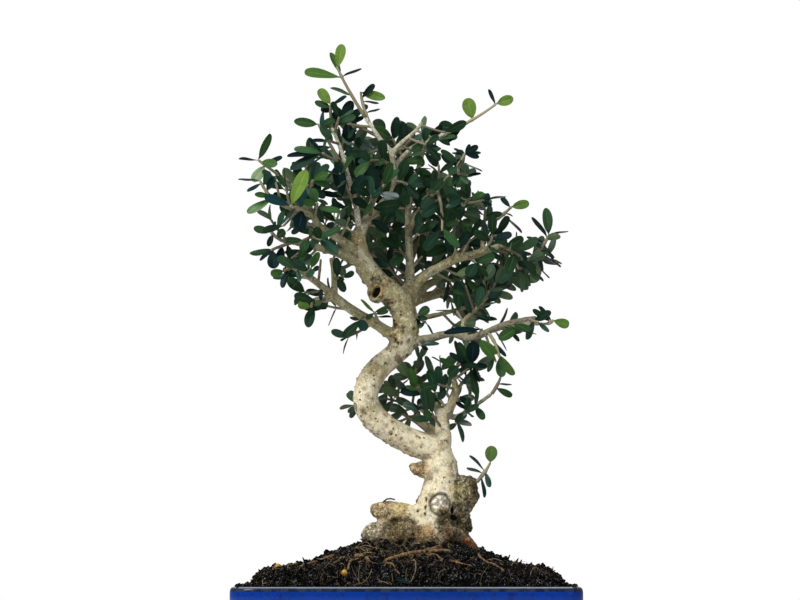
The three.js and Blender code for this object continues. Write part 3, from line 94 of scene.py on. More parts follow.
# Stations of every limb, root to tip: x, y, z and radius.
LIMBS = {
    "trunk": [(20, 0, 79, 18.8), (19.5, 0, 90, 17), (19, 0, 104.5, 15.1), (21, 0, 118, 13.4),
        (22.8, 1, 131.5, 10.9), (21.3, 1.5, 143.5, 9.5), (15, 1.5, 150.5, 9.2), (4.5, 0, 154.5, 8.3),
        (-9.5, -2.5, 161.5, 8), (-21, -5, 171, 8.3), (-25.5, -6.5, 181, 7.9), (-23.5, -6, 191.5, 7.7),
        (-17.5, -3.5, 201, 7.6), (-9, 0, 209, 7.2), (-3, 2.5, 216.5, 8), (-0.5, 3.5, 226, 8.7),
        (-0.5, 3.5, 234, 8.1), (-3, 2.5, 242.5, 8.4), (-10, 0, 249, 8.4), (-18.5, -3.5, 257, 7.3),
        (-25, -6, 265, 6.5), (-28.5, -7.5, 274, 5.3), (-30, -8.5, 281.5, 4.8), (-30, -9, 288.5, 4.7)],
    "left_mid": [(-27.5, -6.5, 267.5, 3.8), (-38.5, -12.5, 272, 3.2), (-47.5, -16, 275, 2.8),
        (-58, -20, 276.5, 2.4), (-68.5, -23.5, 278.5, 2), (-78, -27, 279.5, 1.5)],
    "left_upper": [(-28.5, -7.5, 274.5, 3.8), (-39, -15, 280, 3), (-47, -22.5, 284.5, 2.6),
        (-54.5, -30, 288, 2.5), (-58.5, -35.5, 295, 2.1)],
    "left_upper_out": [(-58, -34.5, 294, 1.9), (-65.5, -39.5, 295.5, 1.6), (-72, -43.5, 297, 1.4),
        (-80, -48.5, 299.5, 1)],
    "left_upper_rise": [(-58, -34.5, 294, 1.7), (-61.5, -33.5, 301.5, 1.4), (-66.5, -33.5, 308.5, 1.3),
        (-73, -35.5, 315, 1)],
    "left_low": [(-4.5, 2.5, 222, 5.1), (-11, 0, 224.5, 3.7), (-18.5, -4, 229, 3.4),
        (-27, -8.5, 233.5, 3.2), (-36.5, -12.5, 239, 3), (-45.5, -17, 245, 3.3)],
    "left_low_rise": [(-45.5, -17, 244.5, 2.5), (-45, -18.5, 252.5, 2.2), (-45.5, -19.5, 262, 2),
        (-47, -20, 269.5, 1.6)],
    "left_low_out": [(-44.5, -17, 244.5, 2.8), (-54, -22, 252, 2.3), (-62, -27, 257.5, 2.1),
        (-70.5, -32, 262, 1.7)],
    "left_low_drop": [(-44.5, -17, 244.5, 2.5), (-51.5, -17.5, 243.5, 2), (-57.5, -18.5, 243.5, 1.5)],
    "pale_shoot": [(-30, -9, 286, 2.5), (-30.5, -12, 295, 2), (-32.5, -14.5, 307.5, 1.8),
        (-36, -17, 320, 1.6), (-40.5, -20, 336.5, 1.4), (-47, -23.5, 353, 1.1)],
    "leader_right": [(-30.5, -8.5, 284.5, 4.5), (-27.5, -7.5, 292, 3.8), (-23.5, -6.5, 298, 3.1),
        (-18.5, -6, 303, 2.5), (-14, -6, 309, 1.9)],
    "crown_post": [(-15.5, -5, 307, 2.2), (-9.5, -6.5, 313, 2), (-7.5, -7.5, 320.5, 2),
        (-8, -9, 331, 2), (-9, -10, 340, 2.3)],
    "top_shoot": [(-8.5, -10, 338.5, 1.9), (-15.5, -12.5, 346, 1.6), (-21, -15, 353.5, 1.4),
        (-26, -17, 360.5, 1.3)],
    "crown_fork": [(-9, -10, 338, 1.9), (-4, -11, 344, 1.6), (6, -12.5, 352.5, 1.3),
        (10.5, -13.5, 358, 1.3)],
    "upper_right": [(-25.5, -5, 295, 2.9), (-22.5, 1.5, 306.5, 2.4), (-18, 5, 317.5, 2.2),
        (-10.5, 6.5, 328.5, 2.1), (-2, 4, 338.5, 1.9), (6, 0, 345, 1.9), (14, -2.5, 347, 1.7),
        (26.5, -4, 353, 1.5)],
    "right_leader": [(-1, 5, 243.5, 5.8), (0.5, 6.5, 250, 4.6), (2, 6.5, 256, 3.9), (2.5, 6, 264, 3.1),
        (2.5, 5, 275, 2.7), (1.5, 2.5, 295, 2.4), (2, 4, 307.5, 2.1), (4.5, 7.5, 321, 1.9),
        (12, 13.5, 345.5, 1.2)],
    "right_upper": [(1.5, 6.5, 250, 5.1), (7, 5, 256.5, 3.6), (14, 1.5, 262.5, 3.2),
        (21.5, -3.5, 266, 3), (32.5, -8.5, 271, 3.1), (40.5, -12, 272, 2.7), (49.5, -15, 274.5, 2.4),
        (59, -18.5, 277.5, 1.8)],
    "right_upper_stub": [(49, -15, 274.5, 1.8), (48.5, -15, 280, 1.6), (49, -15, 285, 1.6)],
    "right_upper_twig": [(32.5, -8.5, 272, 1.7), (31, -8.5, 280, 1.3), (30.5, -10, 288.5, 1.2),
        (33.5, -15, 297.5, 1), (38, -20, 304.5, 0.9)],
    "right_mid": [(2.5, 8.5, 247.5, 5.1), (10.5, 15, 254.5, 2.8), (17.5, 20, 259.5, 2.5),
        (27.5, 23.5, 262, 2.3), (48.5, 27, 266, 1.8), (63, 27.5, 268.5, 1.5), (76, 27, 272.5, 1.2)],
    "right_back": [(1.5, 10, 244.5, 5.1), (8, 15, 247.5, 3.4), (17.5, 23.5, 251.5, 3.1),
        (33, 32, 256.5, 2.8), (49, 38.5, 260, 2.2), (63.5, 43.5, 263.5, 1.7)],
    "right_thin": [(1.5, 5, 231.5, 3.8), (9, 10, 234.5, 1.8), (24.5, 15, 238.5, 1.5),
        (34.5, 17, 241.5, 1.4), (44.5, 17, 244, 1.2)],
    "right_low": [(0, 4, 216, 5.1), (7.5, 1.5, 219, 3.2), (15.5, -2.5, 220.5, 2.7),
        (24.5, -6.5, 222.5, 2.5), (31, -9, 222.5, 2.4), (38.5, -12, 219.5, 2.5),
        (46.5, -14.5, 221, 2.3), (54.5, -17.5, 224.5, 2.1), (62.5, -21, 227.5, 1.9),
        (71.5, -23.5, 229.5, 1.6), (81.5, -26, 231, 1.3)],
    "right_low_tip": [(69, -22.5, 229, 1.4), (76, -24.5, 227, 1.2), (88.5, -27, 227, 1)],
    "right_low_rise": [(38, -12, 220, 1.9), (36.5, -9, 229.5, 1.7), (41, -6.5, 235, 1.6),
        (47.5, -4, 242, 1.5), (53.5, -2.5, 249.5, 1.2)],
    "low_side": [(19.5, 1.5, 147, 7.6), (23.5, 2.5, 155.5, 5.5), (23, 4, 164, 4.7), (23, 5, 172, 4.5)],
    "low_side_right": [(23, 5, 169.5, 3.8), (27.5, 4, 176, 3.2), (31, 3.5, 183.5, 2.8),
        (31.5, 2.5, 189, 2.4), (30.5, 1.5, 194.5, 1.9)],
    "low_side_left": [(23, 5, 170.5, 3.4), (19, 8.5, 178, 2.7), (15.5, 11, 182.5, 2.3),
        (9.5, 14.5, 190, 1.5), (2.5, 18.5, 196.5, 1.2)],
    "low_side_out": [(26.5, 3.5, 172.5, 2.5), (31, 0, 170.5, 1.9), (37, -3.5, 173, 1.6),
        (47, -7.5, 179.5, 1.4), (54, -11, 184.5, 1.3)],
    "low_back": [(21, 7.5, 161, 2.5), (13.5, 14.5, 167, 1.7), (5, 19.5, 176.5, 1.4),
        (-4, 23.5, 184, 1.2), (-11, 27, 188.5, 1)],
    "low_back_two": [(19, 6.5, 156.5, 2.5), (13.5, 12.5, 162.5, 1.5), (4.5, 20, 170, 1.3),
        (-5, 26, 175.5, 1.2), (-18, 30, 178.5, 1), (-28.5, 33.5, 181.5, 0.8)],
    "back_rise": [(-6.5, 8.5, 252, 4.5), (-9, 17, 263, 3), (-13, 23.5, 277, 2.6), (-17.5, 30, 290, 2.2),
        (-22.5, 37, 306, 1.8), (-25, 42, 323, 1.5), (-28, 47, 339, 1.1)],
    "back_left": [(-8.5, 8.5, 251.5, 3.9), (-14, 20, 266, 2.3), (-21.5, 28.5, 277.5, 2),
        (-31.5, 37, 290, 1.7), (-42.5, 43.5, 301.5, 1.5), (-54.5, 50.5, 311, 1.1)],
    "back_right": [(2, 6.5, 271, 2.6), (9, 20, 286.5, 2), (19, 32, 301, 1.7), (29.5, 42, 315, 1.5),
        (40.5, 50.5, 327, 1.1)],
    "back_top": [(-16, 27, 288.5, 2), (-9, 33.5, 306, 1.7), (-4, 37, 323.5, 1.5),
        (-1, 38.5, 340.5, 1.2)],
    "front_right": [(1.5, 1.5, 289.5, 2.3), (7.5, -8.5, 299.5, 1.8), (16, -17, 309, 1.5),
        (25, -25, 318.5, 1.3), (32.5, -32, 326, 1)],
    "far_right": [(47, 25, 265, 1.8), (59, 18.5, 268.5, 1.6), (71, 10, 271, 1.4),
        (81.5, 3.5, 273.5, 1.2)],
    "out_right": [(29.5, -6.5, 270, 2.2), (41, 0, 282, 1.7), (50.5, 5, 291.5, 1.5),
        (59, 8.5, 299, 1.2)],
    "sprout_base": [(35, -3.5, 124, 2.6), (40, -4, 126.5, 1.5), (44.5, -4, 129.5, 0.9)],
    "root_stub": [(14, -1, 105, 8), (-3, -3.5, 109.5, 7.2), (-13, -4.5, 111, 7), (-20.5, -5, 111.5, 5)],
    "pruned_stub": [(23, 0, 137, 6.5), (9.5, -5, 137.2, 5.4), (4, -5.5, 138.3, 3.6)],
    "root_left": [(4, -5, 97, 8), (-14, -12, 88, 5), (-32, -21, 72, 3.2), (-46, -27, 58, 2)],
    "root_front": [(14, -8, 93, 8), (4, -21, 85, 4.2), (-8, -30, 78, 3), (-20, -37, 66, 2)],
    "root_right": [(30, -3, 96, 8), (42.5, -8, 86, 4.2), (62, -17, 68, 2.6)],
    "root_back": [(16, 9, 92, 9), (4, 30, 76, 4.6), (-14, 44, 54, 2.4)],
    "root_back_right": [(28, 9, 92, 9), (44, 26, 74, 4.2), (58, 38, 56, 2.4)],
    "root_deep": [(20, 0, 82, 16), (15, 2, 44, 5)],
}

# Knobs on the trunk and the crown's wood: centre and half sizes.
KNOBS = {
    "left_shoulder": (-18.5, -4.5, 95.5, 9.5, 8.5, 9),
    "left_foot": (-3, -3.5, 95, 12.5, 11.5, 10.5),
    "right_burl": (38, -1, 122.5, 8.3, 8, 12),
    "right_burl_low": (35.3, 0, 104, 6.2, 7.5, 9),
    "front_lump": (27.5, -13.5, 97, 6, 5.5, 5.5),
    "leader_knot": (-18.5, -5, 250, 6.5, 5.5, 7.5),
    "back_burl": (16, 12.5, 115.5, 9.5, 8.5, 10),
    "back_foot": (28, 13.5, 96.5, 11.5, 9, 9),
}

# Leafy sprays: name, limb, place on it, tip of the main stem, pairs of leaves (0 where all are given
# one by one), side twigs, mean leaf length, age, and which of its possible growths it takes.
SPRAYS = [
    ("apex", "top_shoot", 1, (-44, -23, 392), 0, 0, 16.5, "young", 0),
    ("pale_tip", "pale_shoot", 1, (-47.5, -30, 366), 0, 0, 12.5, "mature", 89),
    ("pale_left", "pale_shoot", 0.62, (-55.5, -29, 353.5), 0, 0, 12.5, "mature", 53),
    ("top_inner", "top_shoot", 0.45, (-42, -4, 362), 0, 0, 11.5, "mature", 77),
    ("top_right", "top_shoot", 0.82, (-29, -10, 378.5), 0, 0, 13, "young", 0),
    ("long_right", "upper_right", 1, (58.5, -9, 371.5), 0, 0, 13, "young", 315),
    ("upper_right", "upper_right", 0.8, (11.5, -12, 345.5), 2, 0, 11.5, "mature", 262),
    ("crown_back", "back_top", 1, (-14, 36, 363), 3, 1, 13.5, "mature", 96),
    ("crown_back_left", "back_rise", 1, (-36, 47, 363), 3, 0, 13.5, "mature", 35),
    ("rise_tip", "left_upper_rise", 1, (-92, -44, 327.5), 0, 0, 16, "young", 261),
    ("out_tip", "left_upper_out", 1, (-90, -54, 312.5), 0, 0, 16, "young", 365),
    ("big_front", "left_upper", 1, (-71.5, -50, 297.5), 0, 0, 21, "young", 335),
    ("left_dark", "pale_shoot", 0.3, (-41.5, -33.5, 321), 3, 0, 14, "mature", 249),
    ("left_high", "left_upper_rise", 0.6, (-59.5, -21, 334.5), 3, 0, 14, "mature", 240),
    ("left_mid_tip", "left_mid", 1, (-84.5, -30, 284.5), 0, 0, 14, "mature", 211),
    ("left_mid_drop", "left_mid", 0.85, (-84, -36, 272), 0, 0, 12.5, "mature", 341),
    ("low_out_tip", "left_low_out", 1, (-75.5, -38, 258.5), 0, 0, 12.5, "mature", 381),
    ("low_drop", "left_low_drop", 1, (-59.5, -21, 238), 0, 0, 15, "mature", 156),
    ("low_rise", "left_low_rise", 0.45, (-39, -30.5, 255.5), 2, 0, 11.5, "mature", 276),
    ("upper_under", "left_upper", 0.55, (-64, -46, 276.5), 3, 1, 13.5, "mature", 25),
    ("leader_front", "leader_right", 0.5, (-22, -35.5, 306.5), 3, 1, 15, "mature", 319),
    ("back_left_tip", "back_left", 1, (-73, 55.5, 327.5), 3, 1, 15, "mature", 146),
    ("back_left_mid", "back_left", 0.6, (-48.5, 53.5, 308.5), 3, 0, 14.5, "mature", 163),
    ("back_rise_mid", "back_rise", 0.7, (-43, 47, 333), 3, 0, 14.5, "mature", 182),
    ("post_left", "crown_post", 0.75, (-23, -24, 331), 3, 0, 12.5, "mature", 349),
    ("post_right", "crown_post", 0.5, (1, -19.5, 316.5), 3, 0, 14, "mature", 162),
    ("leader_tip", "right_leader", 1, (10, 15.5, 358), 3, 1, 13, "mature", 255),
    ("leader_side", "right_leader", 0.65, (21.5, -11, 308.5), 3, 0, 14, "mature", 385),
    ("front_right_tip", "front_right", 1, (32, -40, 324.5), 3, 1, 10, "mature", 18),
    ("front_right_mid", "front_right", 0.6, (22.5, -31.5, 285), 3, 0, 14, "mature", 171),
    ("back_right_tip", "back_right", 1, (36.5, 57, 340), 3, 1, 12, "mature", 267),
    ("back_right_mid", "back_right", 0.6, (40.5, 44, 310), 3, 0, 14.5, "mature", 325),
    ("out_right_tip", "out_right", 1, (68, 5, 306.5), 0, 0, 13, "young", 98),
    ("out_right_mid", "out_right", 0.6, (50, -12, 303), 3, 0, 11.5, "mature", 97),
    ("twig_up", "right_upper_twig", 1, (40, -28, 306.5), 3, 1, 12.5, "mature", 192),
    ("stub_side", "right_upper", 0.85, (54, -31, 282.5), 3, 0, 14, "mature", 165),
    ("upper_tip", "right_upper", 1, (71.5, -29.5, 269), 3, 1, 14, "mature", 171),
    ("far_tip", "far_right", 1, (91.5, -3, 287), 0, 0, 14, "young", 223),
    ("mid_tip", "right_mid", 1, (92.5, 29.5, 277.5), 3, 1, 14.5, "mature", 78),
    ("back_tip", "right_back", 1, (74, 51.5, 266.5), 3, 1, 14.5, "mature", 297),
    ("thin_tip", "right_thin", 1, (54, 8.5, 250.5), 2, 1, 15.5, "mature", 209),
    ("rise_right", "right_low_rise", 1, (57, -3.5, 256), 2, 0, 14, "mature", 357),
    ("low_right_tip", "right_low_tip", 1, (91, -33, 228.5), 0, 0, 12.5, "young", 199),
    ("low_hang", "right_low", 0.66, (58, -26, 206), 0, 0, 15, "young", 200),
    ("low_top", "right_low", 0.5, (32.5, -2.5, 238), 2, 0, 16.5, "mature", 221),
    ("side_tip", "low_side_right", 1, (33.5, -1, 206.5), 3, 1, 14, "mature", 50),
    ("side_left", "low_side_left", 1, (3, 28, 199), 3, 0, 14, "mature", 389),
    ("side_out", "low_side_out", 1, (59.5, -12, 195), 0, 0, 9, "mature", 371),
    ("side_drop", "low_side_out", 0.25, (33, 11, 167), 2, 0, 12.5, "mature", 47),
    ("back_low", "low_back", 1, (-12.5, 31, 189.5), 2, 0, 13, "mature", 98),
    ("back_low_two", "low_back_two", 1, (-34, 37, 181), 2, 0, 11.5, "mature", 43),
    ("side_right", "low_side_right", 0.6, (42, 6, 200.5), 3, 1, 14, "mature", 93),
    ("sprout", "sprout_base", 1, (53, -5, 141.5), 0, 0, 12.5, "young", 376),
]

# Leaves of some sprays that are given one by one: place on the stem, tip, roll in degrees, width and
# youth.
SET_LEAVES = {
    "apex": [(0.96, (-40.7, -24.8, 406.3), 40, 6.7, 1), (0.81, (-47.9, -19.2, 402.5), 60, 6.2, 0.75),
        (0.76, (-64.1, -26, 389.1), 0, 8.6, 0.7), (0.77, (-28.6, -21, 392.3), -10, 5.1, 0),
        (0.39, (-47.6, -22.9, 379.4), 20, 5.3, 0.3)],
    "pale_tip": [(0.99, (-54.9, -31.9, 375.4), -20, 6.6, 0.95),
        (0.81, (-57.5, -28.9, 368.3), 0, 5.7, 0.4), (0.92, (-37.9, -30.5, 371.8), -5, 4.2, 0.1),
        (0.61, (-53.9, -24.7, 365.4), -25, 5.1, 0), (0.26, (-42.3, -28.3, 361.4), 60, 5.6, 0)],
    "pale_left": [(0.99, (-70.5, -31.9, 354.8), -45, 6, 0.5), (0.93, (-45.3, -32.3, 356), 55, 5, 0.35),
        (0.77, (-54.1, -20.6, 363.7), -35, 6.4, 0), (0.62, (-61.3, -25, 344.7), 10, 4.5, 0),
        (0.52, (-61.9, -25.9, 338.1), -5, 5.4, 0.15)],
    "top_inner": [(0.97, (-34.6, -8.3, 373.1), 70, 7.1, 0.05),
        (0.85, (-28.8, -10.7, 366.6), 65, 5.1, 0), (0.69, (-26.9, -10.4, 362.1), 90, 3.5, 0),
        (0.79, (-35.7, -14.3, 345.6), -65, 9, 0), (0.89, (-48, -10.2, 362.2), 65, 5.1, 0)],
    "top_right": [(0.99, (-13.4, -14.1, 373.7), 40, 6.1, 0.85), (0.77, (-20.4, -13.6, 383), 40, 4.4, 0),
        (0.67, (-17.3, -11.3, 371.1), -45, 3.9, 0), (0.58, (-24.9, -14.9, 366.3), 10, 3.8, 0),
        (0.29, (-16.6, -13.5, 367.3), -5, 3.6, 0)],
    "long_right": [(0.44, (39.2, -8.5, 375), -60, 9, 1), (0.97, (68.5, -13.9, 373.7), 75, 6.7, 1),
        (0.95, (53.4, -7.8, 381.1), -10, 4.1, 0.05), (0.15, (20.7, 1.1, 358.7), -75, 8.4, 0.15),
        (0.27, (24.6, 1.4, 348.3), 45, 6.2, 0.15)],
    "rise_tip": [(0.98, (-104.1, -43.9, 329), 35, 4.5, 0), (0.99, (-84, -45.9, 343.5), 90, 6.5, 0.6),
        (0.89, (-80, -48.2, 324.1), 25, 5.6, 0.65), (0.73, (-94.9, -46, 313.8), -30, 7.5, 0.75),
        (0.76, (-77.4, -40.2, 330.7), 10, 4.5, 0)],
    "out_tip": [(0.99, (-103.5, -54, 314.2), 25, 4.9, 0.05), (0.88, (-97.8, -55.6, 305.7), -10, 3.7, 0),
        (0.74, (-84.4, -56, 318.1), 20, 4.9, 0.1), (0.52, (-80.8, -54, 315.4), 35, 4.9, 0),
        (0.2, (-97.9, -53, 293.1), -10, 6.5, 0.75), (0.32, (-92.6, -55.8, 303.8), -55, 3.7, 0.5)],
    "big_front": [(0.98, (-61.6, -55.8, 318.8), 30, 8.7, 1), (0.47, (-64.5, -45.1, 309.5), 30, 6.8, 0),
        (0.41, (-66, -49.2, 283.1), -55, 9.3, 0), (0.96, (-86.6, -54.5, 302.8), 0, 6.2, 0.1),
        (0.69, (-77.8, -49.2, 286.9), 25, 5.2, 0)],
    "left_mid_tip": [(0.99, (-95, -33, 286.4), -45, 4.9, 0.3), (0.85, (-82.1, -29.7, 291.4), 0, 2.9, 0),
        (0.76, (-86.2, -31.4, 275.3), -40, 3.8, 0), (0.44, (-75.6, -32.5, 284.6), 35, 5.6, 0.15)],
    "left_mid_drop": [(0.92, (-81.9, -39.2, 260.3), -30, 7.8, 0),
        (0.84, (-97.1, -35.4, 269), -75, 5.4, 0.35), (0.65, (-92.3, -29.3, 267.4), 20, 5, 0),
        (0.41, (-79.2, -32.6, 264.4), -40, 5.6, 0.05), (0.22, (-70.6, -30.2, 265.4), -30, 5, 0.1)],
    "low_out_tip": [(0.99, (-83.6, -41, 256.3), -50, 5.3, 0.6),
        (0.54, (-76.8, -40.5, 248.2), -5, 5, 0.1), (0.45, (-70.2, -38, 266.7), -5, 2.7, 0)],
    "low_drop": [(0.96, (-67.7, -22.9, 239.9), 0, 5.6, 0.95), (0.99, (-60, -38, 224.3), -10, 8.2, 0.15),
        (0.46, (-66, -20.7, 243.9), -20, 2.8, 0), (0.32, (-50.3, -35.4, 236.4), -55, 6.8, 0)],
    "out_right_tip": [(0.97, (79.2, 2.1, 308.5), 90, 6.1, 0.8), (0.93, (61.3, 4.3, 312.8), -80, 3.5, 0),
        (0.37, (75.3, 3.4, 290.4), 20, 6.3, 0), (0.48, (69.2, 9.1, 301.2), 10, 2.1, 0.2)],
    "far_tip": [(0.99, (103.9, -3, 289.7), -15, 4.6, 0.05), (0.99, (89.3, -9, 303.3), -55, 7.4, 0.45),
        (0.86, (81.5, -1.4, 299.4), -20, 6.1, 0), (0.19, (99.7, -1.1, 267.7), 15, 6.5, 0),
        (0.79, (98, -9.1, 285.8), 0, 6.4, 0.55), (0.64, (77.4, -3.3, 286.1), -10, 4.5, 0),
        (0.48, (83.4, -3.3, 280.3), -5, 3.8, 0.1), (0.59, (94.3, -6, 268.9), 10, 5.3, 0),
        (0.34, (95.5, 0.7, 273.1), 30, 4.5, 0.35), (0.14, (88.9, 5.3, 264.7), 30, 4.4, 0)],
    "low_right_tip": [(0.96, (100.8, -35.8, 225.1), 35, 6.1, 0.8),
        (0.45, (79, -30.8, 235.7), 0, 5, 0.15), (0.65, (82.8, -30, 237.7), 0, 4.5, 0.1)],
    "low_hang": [(0.9, (46.8, -29.2, 214), -10, 6.9, 0.75), (0.99, (59.3, -31.9, 193.8), 30, 6.5, 0.5),
        (0.87, (66.7, -22.9, 194.6), 60, 5.9, 0.8), (0.36, (61.7, -23.2, 206.5), 90, 4.6, 0),
        (0.63, (50.5, -24.8, 212.6), -5, 3.1, 0.3)],
    "side_out": [(0.34, (66.5, -13.6, 182.8), 60, 4.4, 0.3),
        (0.55, (66.7, -10.9, 190.6), -15, 3.3, 0.2)],
    "sprout": [(0.98, (54, -8, 151.8), -60, 7.9, 0.9), (0.53, (40.2, -6.5, 146.2), 5, 5.1, 0),
        (0.41, (38.3, -7.4, 138.7), 10, 4.2, 0), (0.52, (52.6, -8.5, 126.1), 75, 4, 0.1),
        (0.26, (50.1, -7.3, 119.9), -5, 4.9, 0)],
}

# Small twigs at the front of the crown: limb, place on it, tip, and their leaves as above.
FRONT_TWIGS = {
    "left_top_long": ("pale_shoot", 0.72, (-52.5, -34, 334), [
        (0.94, (-74.4, -37.3, 332.6), 20, 6.9, 0.05), (0.99, (-70.2, -34.9, 336.9), 10, 5.4, 0.5),
        (0.99, (-72.4, -38.9, 323.4), -10, 6.9, 0.12), (0.99, (-60.3, -33.9, 343.5), 60, 3.7, 0),
        (0.89, (-50.9, -32.7, 345), -25, 3.5, 0), (0.99, (-58.3, -36.9, 340.3), -55, 2.8, 0)]),
    "left_top_mid": ("left_upper_rise", 0.35, (-58, -43, 315), [
        (0.99, (-48.4, -45.9, 318.8), 40, 5, 0.7), (0.9, (-47.3, -42.3, 312), 30, 4.4, 0.25),
        (0.89, (-55, -38.2, 327.9), 20, 6.2, 0.1), (0.99, (-48.1, -37.9, 326.1), 35, 5.3, 0),
        (0.7, (-50.5, -38.7, 304.4), 25, 5, 0.1)]),
    "left_upper_side": ("left_upper", 0.9, (-55, -46, 300), [
        (0.91, (-63.1, -48.2, 300.2), -30, 5, 0.6), (0.99, (-58.4, -44.9, 309.6), 5, 5.6, 0.4),
        (0.73, (-40.4, -43.3, 295.4), 5, 4.6, 0.55), (0.72, (-64.2, -40.2, 311.1), -5, 5.6, 0)]),
    "rise_side": ("left_upper_rise", 0.8, (-75.5, -42, 309), [
        (0.95, (-88.2, -43.7, 315.5), -5, 6.2, 0.28), (0.62, (-82.4, -39.5, 322), -20, 4.6, 0.2)]),
    "pale_side": ("pale_shoot", 0.45, (-39.5, -30, 306.5), [
        (0.99, (-43.2, -35.9, 325.2), 10, 8.2, 0), (0.99, (-53.2, -32.9, 309.3), 10, 4.3, 0)]),
    "right_top": ("front_right", 1, (37, -31, 334), [
        (0.99, (45.2, -33, 338.5), 40, 4.4, 0), (0.98, (45.8, -33, 331.5), 50, 3.5, 0),
        (0.99, (47.1, -31, 335.1), 15, 3.1, 0), (0.99, (40.3, -30, 340.4), 0, 2.5, 0),
        (0.99, (30.1, -31, 337.7), -15, 2.3, 0), (0.87, (28.9, -30.1, 335.3), -10, 2.4, 0),
        (0.28, (48.3, -31.7, 323.5), -20, 4.5, 0), (0.59, (30.2, -29.3, 326.5), -25, 3.8, 0),
        (0.15, (21.9, -34.8, 335.6), -50, 4.4, 0.1)]),
    "right_top_low": ("front_right", 0.9, (39, -27, 321), [
        (0.99, (47.2, -27, 322.5), -15, 2.5, 0), (0.84, (39.5, -30.3, 307.2), 10, 4.3, 0.05)]),
    "twig_thin": ("right_upper_twig", 1, (49.5, -16, 307), [
        (0.99, (45.7, -16, 313.6), -5, 2.3, 0), (0.99, (63.4, -16, 310.4), -40, 4.3, 0),
        (0.6, (41.8, -19.3, 311.7), -30, 2.2, 0), (0.72, (54.3, -19.9, 303.3), 45, 2.5, 0)]),
    "low_cluster": ("low_side_right", 1, (41.5, -8, 203), [
        (0.99, (42.7, -15.9, 217.3), -60, 8.8, 0), (0.93, (33.4, -10.5, 217.2), -35, 5, 0.3),
        (0.89, (27.8, -8.2, 211.1), -10, 4.7, 0.1), (0.99, (51.1, -9.9, 202.1), 35, 3.2, 0.05),
        (0.99, (46.7, -7.9, 192.1), 0, 3.6, 0), (0.86, (45.4, -7, 183.4), 10, 5.8, 0.25),
        (0.4, (21.5, -5.9, 207.5), -10, 5.2, 0.45)]),
    "hang_leaf": ("right_low", 0.64, (55.5, -34, 202.5), [
        (0.99, (46.2, -37.9, 215), -20, 6.2, 0.7), (0.8, (50.7, -31.2, 196.4), 15, 3.1, 0.2)]),
    "low_flag": ("right_low", 0.78, (70.5, -32, 224.5), [
        (0.95, (57.6, -33.6, 216.7), 0, 6.8, 0.42)]),
    "long_dark": ("right_low", 0.56, (47.5, -24, 224), [
        (0.99, (23.6, -29.9, 222.7), 30, 7.4, 0)]),
    "low_out_pair": ("low_side_out", 0.5, (43.5, -13, 176.5), [
        (0.98, (48.7, -15.9, 168.2), 40, 5, 0.3), (0.63, (34, -10.1, 183.1), -35, 3.8, 0),
        (0.34, (31.4, -9.3, 179.4), -20, 3, 0), (0.97, (45.2, -12.8, 186), -15, 2.9, 0.3)]),
    "trunk_right": ("right_thin", 0.12, (7.5, -8, 235.5), [
        (0.82, (14.6, -7.9, 239.2), 20, 5.7, 0.3), (0.71, (13.3, -8.4, 232.1), 25, 3.2, 0.2),
        (0.45, (9.6, -0.6, 228.5), 20, 2.5, 0)]),
    "right_low_side": ("right_low", 0.1, (9.5, -8, 215.5), [
        (0.74, (20.9, -8, 216.9), -20, 3.6, 0.15), (0.47, (14, -3.6, 212.9), 15, 2.5, 0.1)]),
    "thin_down": ("right_thin", 0.25, (12.5, -4, 230.5), [
        (0.99, (18.4, -3.9, 222.4), -35, 3, 0), (0.84, (7.6, -2.3, 227.1), 5, 2.9, 0)]),
    "trunk_left": ("left_low", 0.3, (-20, -16, 235.5), [
        (0.99, (-28.3, -17.9, 243.6), 35, 3.6, 1), (0.99, (-10.7, -15.9, 239.5), 10, 3, 0.25),
        (0.88, (-11.3, -17.7, 236.1), 25, 3.2, 0.35), (0.7, (-8.8, -12.6, 233.5), -25, 3, 0),
        (0.96, (-25.2, -15.6, 231.3), -35, 3.1, 0.3)]),
}

# Wood that closes the gap between the root stub and the foot under it.
FOOT_FILL = (-12, -4.5, 103, 7, 6, 6)

# How rough the bark is on each knob and on the stubs' ends.
ROUGH_KNOBS = {
    "left_shoulder": 0.65, "left_foot": 0.9, "right_burl": 0.75, "right_burl_low": 0.95,
    "front_lump": 0.7, "back_burl": 0.8, "back_foot": 0.8,
}
ROUGH_LIMBS = {"root_stub": (20, 0.6), "pruned_stub": (12, 0.7)}

# Places where the bark is scarred: centre, the way it faces, half sizes across and up, lean in
# degrees, and how deep the middle lies.
SCARS = {
    "callus": ((21.2, -13, 115.0), (0, -1, 0), (6.3, 6.9), 0, -0.9),
    "knot_hole": ((-19.4, -11, 249.2), (-0.25, -1, 0), (2.6, 4.4), 28, 3.4),
    "small_knot": ((-12.4, -8, 243.2), (0, -1, 0), (2.0, 1.8), 0, -0.9),
    "inner_hollow": ((-12.2, -6, 188.5), (0.8, -1, 0), (1.5, 2.6), 20, 2.2),
    "pit_high": ((11.2, -14, 118.0), (-0.4, -1, 0), (1.0, 1.2), 0, 1.0),
    "pit_mid": ((11.1, -14, 113.0), (-0.4, -1, 0), (0.9, 1.6), 0, 1.2),
    "pit_low": ((11.1, -14, 109.0), (-0.4, -1, 0), (0.9, 1.3), 0, 1.2),
    "trunk_pit": ((5.5, -13, 111.2), (-0.4, -1, 0), (1.0, 1.2), 0, 1.2),
    "foot_hollow": ((30.5, -14, 107.0), (0.2, -1, 0), (3.4, 2.2), 15, 2.0),
    "burl_hollow": ((29.0, -12, 111.5), (0.2, -1, 0), (1.6, 3.0), 10, 1.6),
    "oval_knot": ((-30.4, -8, 176.3), (-0.9, -1, 0), (1.6, 2.6), 10, -0.4),
}

